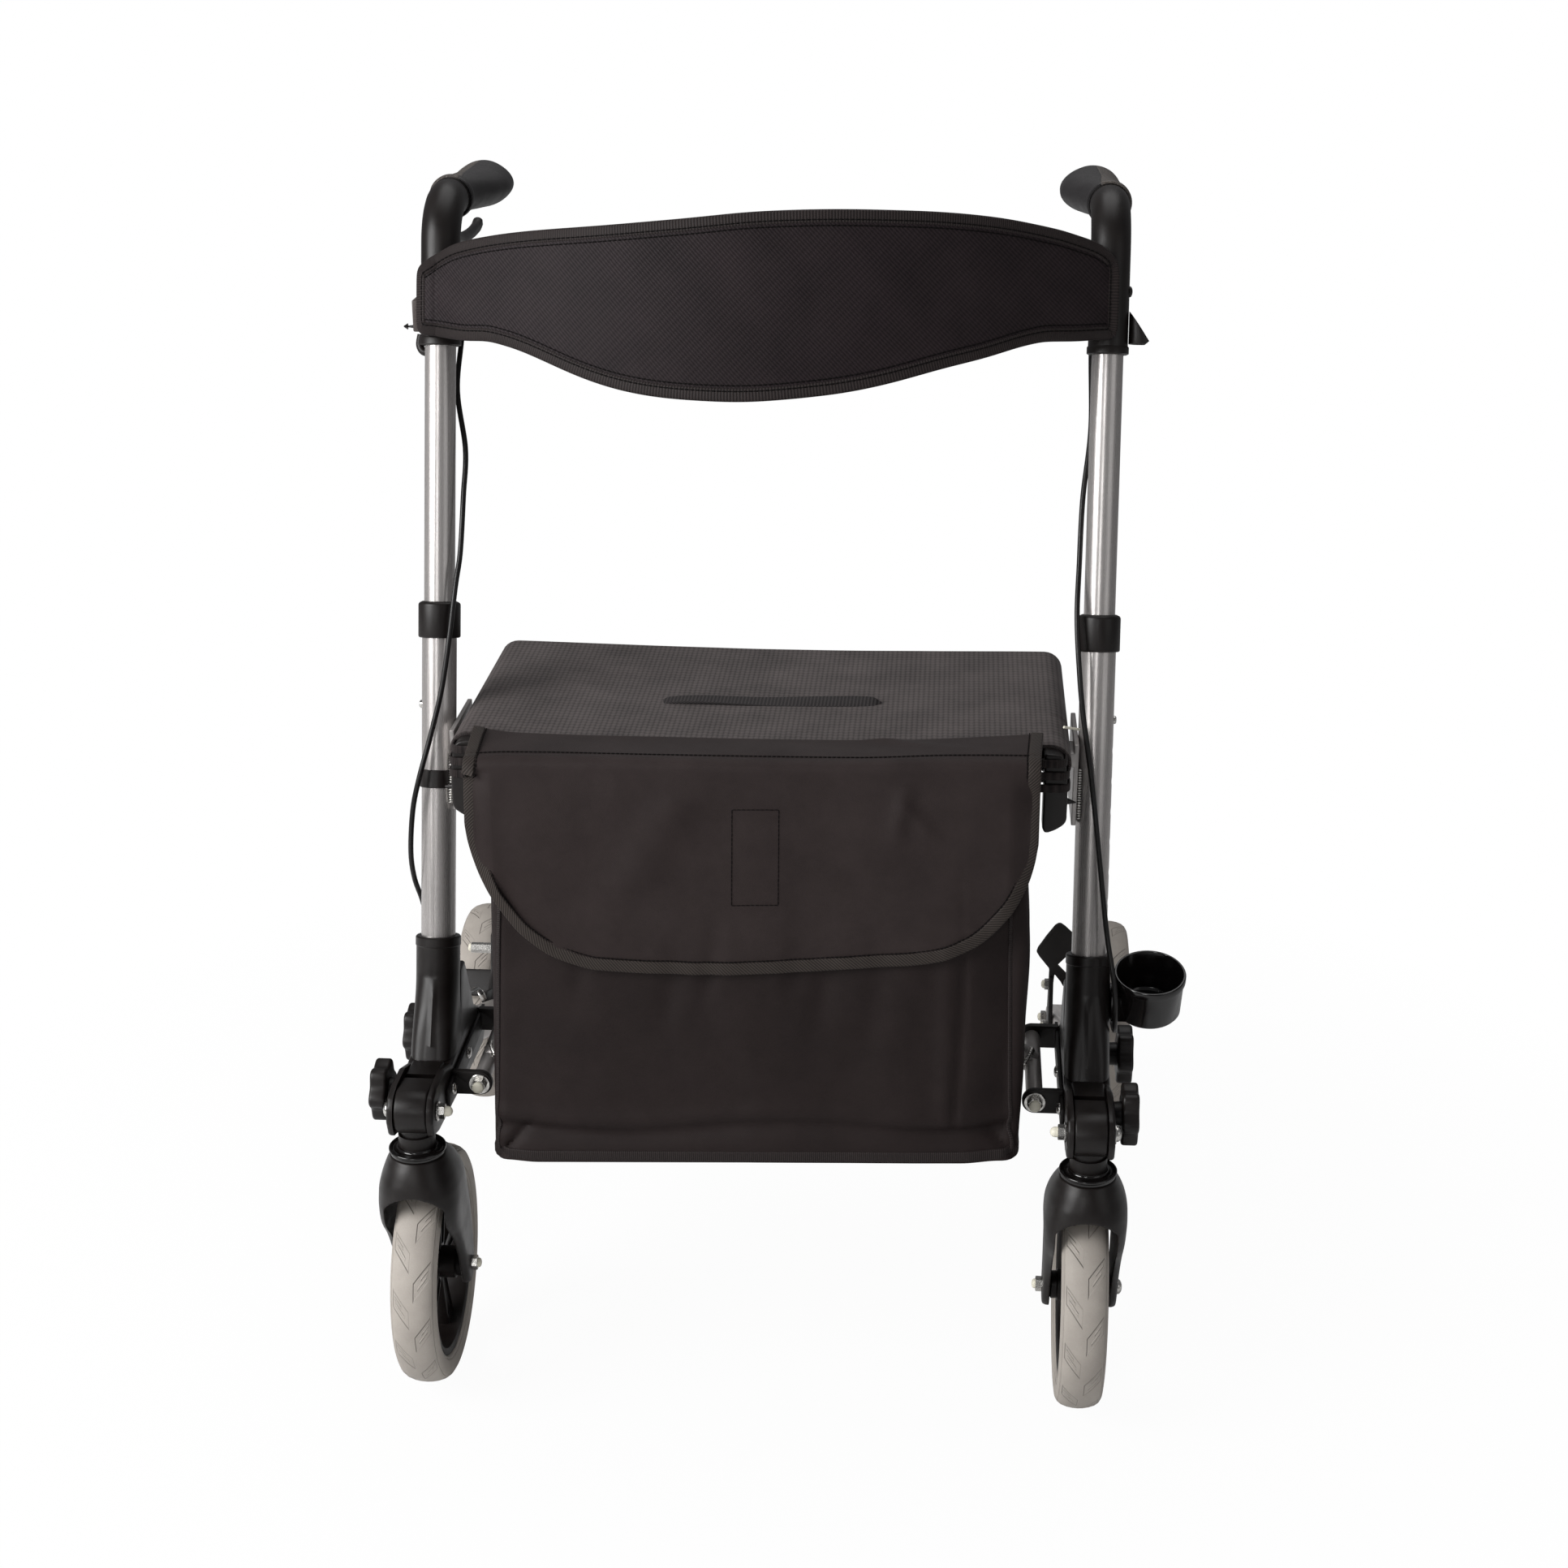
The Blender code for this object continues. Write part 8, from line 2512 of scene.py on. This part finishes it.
    def hooks(self) -> None:
        """Ribbed plastic hooks under the rails' front ends, with the loops that hang on them."""
        bench, works = self.works.bench, self.works
        rail_x = SEAT_RAIL[0]
        outline = smooth_route(
            [(rail_x - 0.006, 0.0, 0.5555), (rail_x + 0.006, 0.0, 0.5535), (rail_x + 0.0105, 0.0, 0.547),
             (rail_x + 0.0125, 0.0, 0.533), (rail_x + 0.0132, 0.0, 0.5195), (rail_x + 0.0132, 0.0, 0.506),
             (rail_x + 0.0125, 0.0, 0.4975), (rail_x + 0.006, 0.0, 0.4915), (rail_x - 0.003, 0.0, 0.488),
             (rail_x - 0.006, 0.0, 0.492)], 60)
        body = bench.slab([(p.x, p.z) for p in outline], "Y", 0.0845, 0.1045)
        bench.bevel(body, 0.004, 4, 60.0)
        body = bench.melt(body, 0.0009, 4)
        tip = bench.rod(
            (rail_x + 0.0105, 0.0945, 0.5125), (rail_x + 0.0205, 0.0945, 0.5112), 0.0036, 20, 0.0005)
        bands = []
        for z, reach in ((0.5475, 0.0122), (0.5372, 0.0145), (0.5268, 0.0152)):
            ring = rounded(reach, 0.0112, 0.007, 6)
            spots = [Vector((rail_x - 0.0008 + a, 0.0945 + b, z)) for a, b in ring]
            faces = [Vector((a, b, 0.0)) for a, b in ring]
            bands.append(self.tailor.tape(spots, faces, 0.0034, 0.0009, closed=True))
        hook = bench.join(body, tip)
        loops = bench.join(*bands)
        twins = [bench.mirrored(bench.copy(piece)) for piece in (hook, loops)]
        works.place(hook, "right_bag_hook", SATIN, "brace_a", angle=40.0)
        works.place(loops, "right_bag_loops", EDGE, "brace_a", angle=60.0)
        works.place(twins[0], "left_bag_hook", SATIN, "brace_b", angle=40.0)
        works.place(twins[1], "left_bag_loops", EDGE, "brace_b", angle=60.0)


@dataclass
class Flap:
    """Nylon flap over the bag's mouth: hinge strip, fold seam, draped front and ribbed binding."""

    works: Works
    hardware: Hardware
    tailor: Tailor
    bag: Bag
    sides: tuple[float, float] = (-0.2243, 0.2222)
    hinge_y: float = 0.0935
    fold_y: float = 0.0345
    bend: float = 0.0095
    thick: float = 0.0012
    hinge_z: tuple[tuple[float, float], ...] = (
        (-0.2279, 0.5645), (-0.214, 0.5622), (-0.19, 0.5596), (-0.12, 0.5588), (0.0, 0.559), (0.1, 0.5606),
        (0.17, 0.5648), (0.2207, 0.569))
    fold_z: tuple[tuple[float, float], ...] = (
        (-0.2243, 0.5602), (-0.19, 0.5628), (-0.1, 0.5638), (0.0, 0.564), (0.08, 0.5652), (0.15, 0.5688),
        (0.2222, 0.57))
    hem: tuple[tuple[float, float], ...] = (
        (-0.2243, 0.508), (-0.2225, 0.496), (-0.218, 0.48), (-0.212, 0.4655), (-0.201, 0.4468),
        (-0.1793, 0.4207), (-0.1511, 0.403), (-0.1189, 0.3952), (-0.0479, 0.3939), (0.0228, 0.397),
        (0.0867, 0.4026), (0.1438, 0.41), (0.1752, 0.4225), (0.2027, 0.449), (0.2145, 0.47), (0.2195, 0.486),
        (0.2222, 0.503))
    window: tuple[tuple[float, float], tuple[float, float]] = ((-0.0143, 0.0221), (0.4502, 0.5264))

    def across(self, a: float) -> float:
        """Place across the flap, with closer steps near its sides."""
        share = lerp(a, 0.5 - 0.5 * math.cos(math.pi * a), 0.7)
        return lerp(self.sides[0], self.sides[1], share)

    def rumple(self, x: float, z: float) -> float:
        """How far the front stands out beyond its plain fall."""
        free = ease((0.558 - z) / 0.03)
        lift = 0.003 * max(0.0, 0.35 + crumple(x + 0.35 * z, z, 21.0, 5.2, (1.0, 0.55)))
        lift += 0.0012 * max(0.0, 0.4 + crumple(x, z, 31.0, 13.0, (1.0, 0.5)))
        slope = (x + 0.075) - 0.55 * (z - 0.5)
        lift += 0.003 * valley(slope, 0.0, 0.022) * ease((z - 0.43) / 0.05) * ease((0.55 - z) / 0.03)
        lift += 0.0026 * valley(x - 0.118 - 0.15 * (z - 0.54), 0.0, 0.0075) * ease((z - 0.495) / 0.03)
        tuck = ease((z - 0.5) / 0.02) * ease((0.545 - z) / 0.02)
        lift += 0.0018 * valley(x - 0.128 + 0.8 * (z - 0.525), 0.0, 0.008) * tuck
        lift += 0.0022 * valley(x - 0.14, 0.0, 0.03) * ease((0.5 - z) / 0.05)
        lift -= 0.0016 * valley(x + 0.2, 0.0, 0.016) * ease((0.54 - z) / 0.04)
        return max(lift, 0.0) * free

    def front(self, x: float, z: float) -> Vector:
        """Point on the hanging front."""
        top = along(self.fold_z, x)[0] - self.bend
        own = self.fold_y - self.bend - 0.118 * max(top - z, 0.0)
        clear = self.bag.front_at(max(-0.2, min(0.2, x)), z) - self.thick - 0.0022
        soft = 0.0018
        least = -soft * math.log(math.exp(-own / soft) + math.exp(-clear / soft))
        hold = ease((top - z) / 0.02)
        edge = ease((abs(x - 0.5 * (self.sides[0] + self.sides[1])) - 0.2) / 0.023)
        retreat = 0.006 * edge * ease((0.56 - z) / 0.02)
        return Vector((x, lerp(own, least, hold) - self.rumple(x, z) + retreat, z))

    def point(self, a: float, b: float) -> Vector:
        """Point on the flap's outer face, from its hinge edge at b = 0 to its hem at b = 1."""
        x = self.across(a)
        fold = along(self.fold_z, x)[0]
        if b <= 0.16:
            share = b / 0.16
            hinge = along(self.hinge_z, x)[0]
            z = lerp(hinge, fold, ease_linear(share))
            dip = 0.0012 * crumple(x, share * 0.05, 17.0, 6.0, (1.0, 1.0)) * math.sin(math.pi * share)
            pleat = 0.0016 * valley(x - 0.1 - 0.09 * share, 0.0, 0.012 + 0.02 * share) * (1.0 - share)
            seam = -0.0009 * valley(share, 0.93, 0.035)
            flare = 1.0 + 0.014 * (1.0 - share)
            return Vector((x * flare, lerp(self.hinge_y, self.fold_y, share), z + dip + pleat + seam))
        if b <= 0.22:
            turn = (b - 0.16) / 0.06 * math.pi / 2.0
            return Vector((
                x, self.fold_y - self.bend * math.sin(turn), fold - self.bend + self.bend * math.cos(turn)))
        share = (b - 0.22) / 0.78
        return self.front(x, lerp(fold - self.bend, along(self.hem, x)[0], share))

    def face(self, a: float, b: float) -> Vector:
        """Direction out of the flap's outer face."""
        step = 0.008
        wide = self.point(min(a + step, 1.0), b) - self.point(max(a - step, 0.0), b)
        fall = self.point(a, min(b + step, 1.0)) - self.point(a, max(b - step, 0.0))
        return wide.cross(-fall).normalized()

    def border(self, inset: float, lift: float) -> tuple[list[Vector], list[Vector]]:
        """Line along the sides and the hem at a distance inside the edge, and its outward directions."""
        spots, faces = [], []
        places = [(0.0, i / 60) for i in range(60)]
        places += [(i / 150, 1.0) for i in range(151)]
        places += [(1.0, 1.0 - i / 60) for i in range(1, 61)]
        for a, b in places:
            spots.append(self.point(a, b))
            faces.append(self.face(a, b))
        run = smooth_route(spots, 320)
        out = smooth_route(faces, 320)
        line = []
        for i, spot in enumerate(run):
            way = run[min(i + 1, 319)] - run[max(i - 1, 0)]
            inward = out[i].normalized().cross(way).normalized()
            line.append(spot + inward * inset + out[i].normalized() * lift)
        return line, [n.normalized() for n in out]

    def build(self) -> None:
        """Build the flap with its binding, seam and stitched patch."""
        bench, works = self.works.bench, self.works
        cloth = bench.sheet(
            190, 110, self.point, lay=lambda a, b: (self.across(a), b * 0.235))
        bench.thicken(cloth, self.thick, FRONT)
        works.place(cloth, "flap_cloth", FLAP, "flap", ["bag_flap"], 60.0)
        spots, faces = self.border(0.0042, -self.thick * 0.5)
        binding = works.place(
            self.tailor.tape(spots, faces, 0.005, self.thick * 0.5 + 0.0008), "flap_binding", TAPE, "flap",
            angle=60.0)
        rows = [self.hardware.stitches(self.border(0.01, 0.0003)[0], 0.0036, 0.0005)]
        fold_row = [self.point(i / 100, 0.142) + Vector((0.0, 0.0, 0.0003)) for i in range(2, 99)]
        rows.append(self.hardware.stitches(fold_row, 0.0036, 0.0005))
        (low_x, high_x), (low_z, high_z) = self.window
        corners = [
            (low_x, low_z), (high_x, low_z + 0.001), (high_x, high_z + 0.001), (low_x, high_z),
            (low_x, low_z)]
        for (x0, z0), (x1, z1) in zip(corners, corners[1:]):
            count = max(8, round(math.hypot(x1 - x0, z1 - z0) / 0.004))
            side = [self.front(lerp(x0, x1, i / count), lerp(z0, z1, i / count)) for i in range(count + 1)]
            raised = [p + Vector((0.0, -0.0003, 0.0)) for p in side]
            rows.append(self.hardware.stitches(raised, 0.0036, 0.00034))
        thread = works.place(bench.join(*rows), "flap_stitches", THREAD_BLACK, "flap", angle=60.0)
        for piece in (cloth, binding, thread):
            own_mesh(piece)


# Walking stick holders

@dataclass
class StickHolders:
    """Cup for a walking stick's foot and spring clip for its shaft, on the right side only."""

    works: Works
    cup_u: float = 0.0503
    cup_y: float = 0.11
    rim_z: float = 0.357
    tilt: float = math.radians(14.0)
    radius: float = 0.0295
    foot_radius: float = 0.027
    wall: float = 0.0025
    depth: float = 0.04
    arm_y: tuple[float, float] = (0.1, 0.128)
    arm_z: tuple[float, float] = (0.316, 0.338)
    arm_u: float = 0.0192
    clip_z: float = 0.864
    clip_height: float = 0.032
    clip_u: float = 0.0258
    clip_radius: float = 0.0095
    clip_wall: float = 0.002

    def cup(self) -> bpy.types.Object:
        """Round cup with a rolled lip, on a ribbed arm from the moulding."""
        bench = self.works.bench
        way = Vector((0.0, -math.sin(self.tilt), math.cos(self.tilt)))
        base = Vector((self.cup_u, self.cup_y, self.rim_z)) - way * self.depth
        wall, depth = self.wall, self.depth
        outside = [
            (0.0, 0.0), (self.foot_radius - 0.005, 0.0), (self.foot_radius - 0.0015, 0.0008),
            (self.foot_radius, 0.003), (self.radius - 0.0014, depth - 0.0075),
            (self.radius - 0.0002, depth - 0.0068), (self.radius, depth - 0.0055),
            (self.radius, depth - 0.0012), (self.radius - 0.0008, depth),
            (self.radius - wall + 0.0006, depth), (self.radius - wall, depth - 0.0008),
            (self.foot_radius - wall, wall + 0.002), (self.foot_radius - wall - 0.002, wall), (0.0, wall),
        ]
        cup = bench.turned(outside, base, way, 72, closed=False)
        low, high = self.arm_z
        arm = bench.block(
            (self.arm_u, self.arm_y[0], low), (self.cup_u - self.radius * 0.6, self.arm_y[1], high))
        rib = bench.block(
            (self.arm_u, 0.1125, low - 0.004), (self.cup_u - self.radius * 0.7, 0.1155, high + 0.003))
        arm = bench.fuse(arm, rib)
        room = bench.turned(
            [(0.0, 0.0005), (self.foot_radius - wall * 0.5, 0.0005), (self.radius - wall * 0.5, depth + 0.01),
             (0.0, depth + 0.01)],
            base, way, 72, closed=False)
        arm = bench.carve(arm, room)
        cup = bench.fuse(cup, arm)
        return bench.bevel(cup, 0.0007, 2, 40.0)

    def clip(self) -> bpy.types.Object:
        """C-shaped spring clip along the housing, its lips turned out and its top cut aslant."""
        bench = self.works.bench
        outer, inner = self.clip_radius, self.clip_radius - self.clip_wall
        open_half = 63.0
        profile = arc((0.0, 0.0), outer, open_half, 360.0 - open_half, 40)
        lip = math.radians(360.0 - open_half)
        turn_out = (math.cos(lip) * outer + 0.003, math.sin(lip) * outer + 0.0002)
        profile += [turn_out, (turn_out[0], turn_out[1] + 0.0014)]
        profile += arc((0.0, 0.0), inner, 360.0 - open_half, open_half, 40)
        profile += [(turn_out[0], -turn_out[1] - 0.0014), (turn_out[0], -turn_out[1])]
        ring = bench.slab(profile, "Z", 0.0, self.clip_height)
        above = bench.slab(
            [(-0.0105, 0.036), (0.03, 0.036), (0.03, 0.002), (0.0066, 0.002), (-0.0102, 0.027)],
            "Y", -0.03, 0.03)
        below = bench.slab(
            [(0.0066, 0.002), (0.03, 0.002), (0.03, -0.004), (-0.001, -0.004)], "Y", -0.03, 0.03)
        ring = bench.carve(ring, above, below)
        bench.bevel(ring, 0.0005, 2, 40.0)
        foot = on_tube(self.clip_z - self.clip_height / 2.0, 0.0, self.clip_u)
        ring.data.transform(Matrix.Translation(foot) @ Matrix.Rotation(-LEAN, 4, "X"))
        return ring

    def build(self) -> None:
        """Build the cup and the clip on the right side."""
        works = self.works
        works.on_side(self.cup(), "right", "walking_stick_cup", GLOSS, "side", angle=40.0)
        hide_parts("stick_cup")
        works.on_side(self.clip(), "right", "walking_stick_clip", BLACK, "handle", angle=40.0)
        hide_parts("stick_clip")
        log.info("stick cup and clip")


# Small fittings

@dataclass
class Trims:
    """Small fittings at the handles and on the tubes."""

    works: Works
    hardware: Hardware
    plate: tuple[Point, Point] = ((0.0153, -0.0065, 0.8505), (0.0222, 0.0105, 0.8765))
    band_z: float = 0.489
    band: float = 0.015
    tie: tuple[Point, Point] = ((-0.0274, 0.14, 0.5584), (-0.0142, 0.15, 0.5531))

    def left_handle(self) -> None:
        """Plate with its stud, screw and hook outboard of the left housing."""
        bench, works = self.works.bench, self.works
        low, high = self.plate
        axis = on_tube(0.8635).y
        plate = bench.bevel(
            bench.block((low[0], axis + low[1], low[2]), (high[0], axis + high[1], high[2])), 0.0014, 3)
        works.on_side(plate, "left", "handle_plate", PLATE, "handle")
        stud = bench.join(
            bench.rod((high[0] - 0.001, axis, 0.8538), (high[0] + 0.0082, axis, 0.8538), 0.0016, 20, 0.0003),
            bench.rod((high[0] + 0.0055, axis, 0.8538), (high[0] + 0.0088, axis, 0.8538), 0.0026, 24, 0.0005))
        works.on_side(stud, "left", "handle_stud", GLOSS, "handle")
        side = on_tube(0.8895)
        screw = self.hardware.dome((0.0156, side.y, side.z), OUT, 0.0042, 0.0028)
        works.on_side(screw, "left", "handle_screw", GLOSS, "handle")
        hook = bench.bar(smooth_route(
            [(0.0165, axis - 0.002, 0.8475), (0.0178, axis - 0.003, 0.8395), (0.015, axis - 0.005, 0.8345),
             (0.0095, axis - 0.006, 0.8335)], 20), 0.0032, 6)
        works.on_side(hook, "left", "handle_hook", BLACK, "handle")

    def right_handle(self) -> None:
        """Bump on the right housing."""
        side = on_tube(0.888)
        bump = self.hardware.dome((0.0156, side.y, side.z), OUT, 0.0044, 0.0028)
        self.works.on_side(bump, "right", "handle_bump", BLACK, "handle")

    def on_tubes(self) -> None:
        """Band round the left tube and the pale tie at the right one."""
        bench, works = self.works.bench, self.works
        inner = MAIN_RADIUS + FIT
        band = bench.turned(
            [(inner, 0.0), (inner + 0.0009, 0.0), (inner + 0.0013, 0.0005),
             (inner + 0.0013, self.band - 0.0005), (inner + 0.0009, self.band), (inner, self.band)],
            on_tube(self.band_z), tube_way(), 64)
        works.on_side(band, "left", "tube_band", SATIN, "side")
        tie = bench.bar([Vector(point) for point in self.tie], 0.0011, 5)
        works.on_side(tie, "right", "cable_tie", CREAM, "side")

    def build(self) -> None:
        """Build them all."""
        self.left_handle()
        self.right_handle()
        self.on_tubes()
        log.info("trims: plate, stud, screw and hook, bump, band and tie")


def main() -> None:
    """Build the studio and every piece in order."""
    bench = Bench()
    works = Works(bench)
    hardware = Hardware(works)
    Studio().build()
    SideFrame(works, hardware).build()
    Caster(works, hardware).build()
    Wheel(works).build()
    RearBrake(works, hardware).build()
    Cross(works, hardware).build()
    Handle(works, hardware).build()
    Cables(works).build()
    tailor = Tailor(works)
    Backrest(works, hardware, tailor).build()
    Seat(works, hardware, tailor).build()
    bag = Bag(works, tailor)
    bag.build()
    Flap(works, hardware, tailor, bag).build()
    StickHolders(works).build()
    Trims(works, hardware).build()


if __name__ == "__main__":
    main()
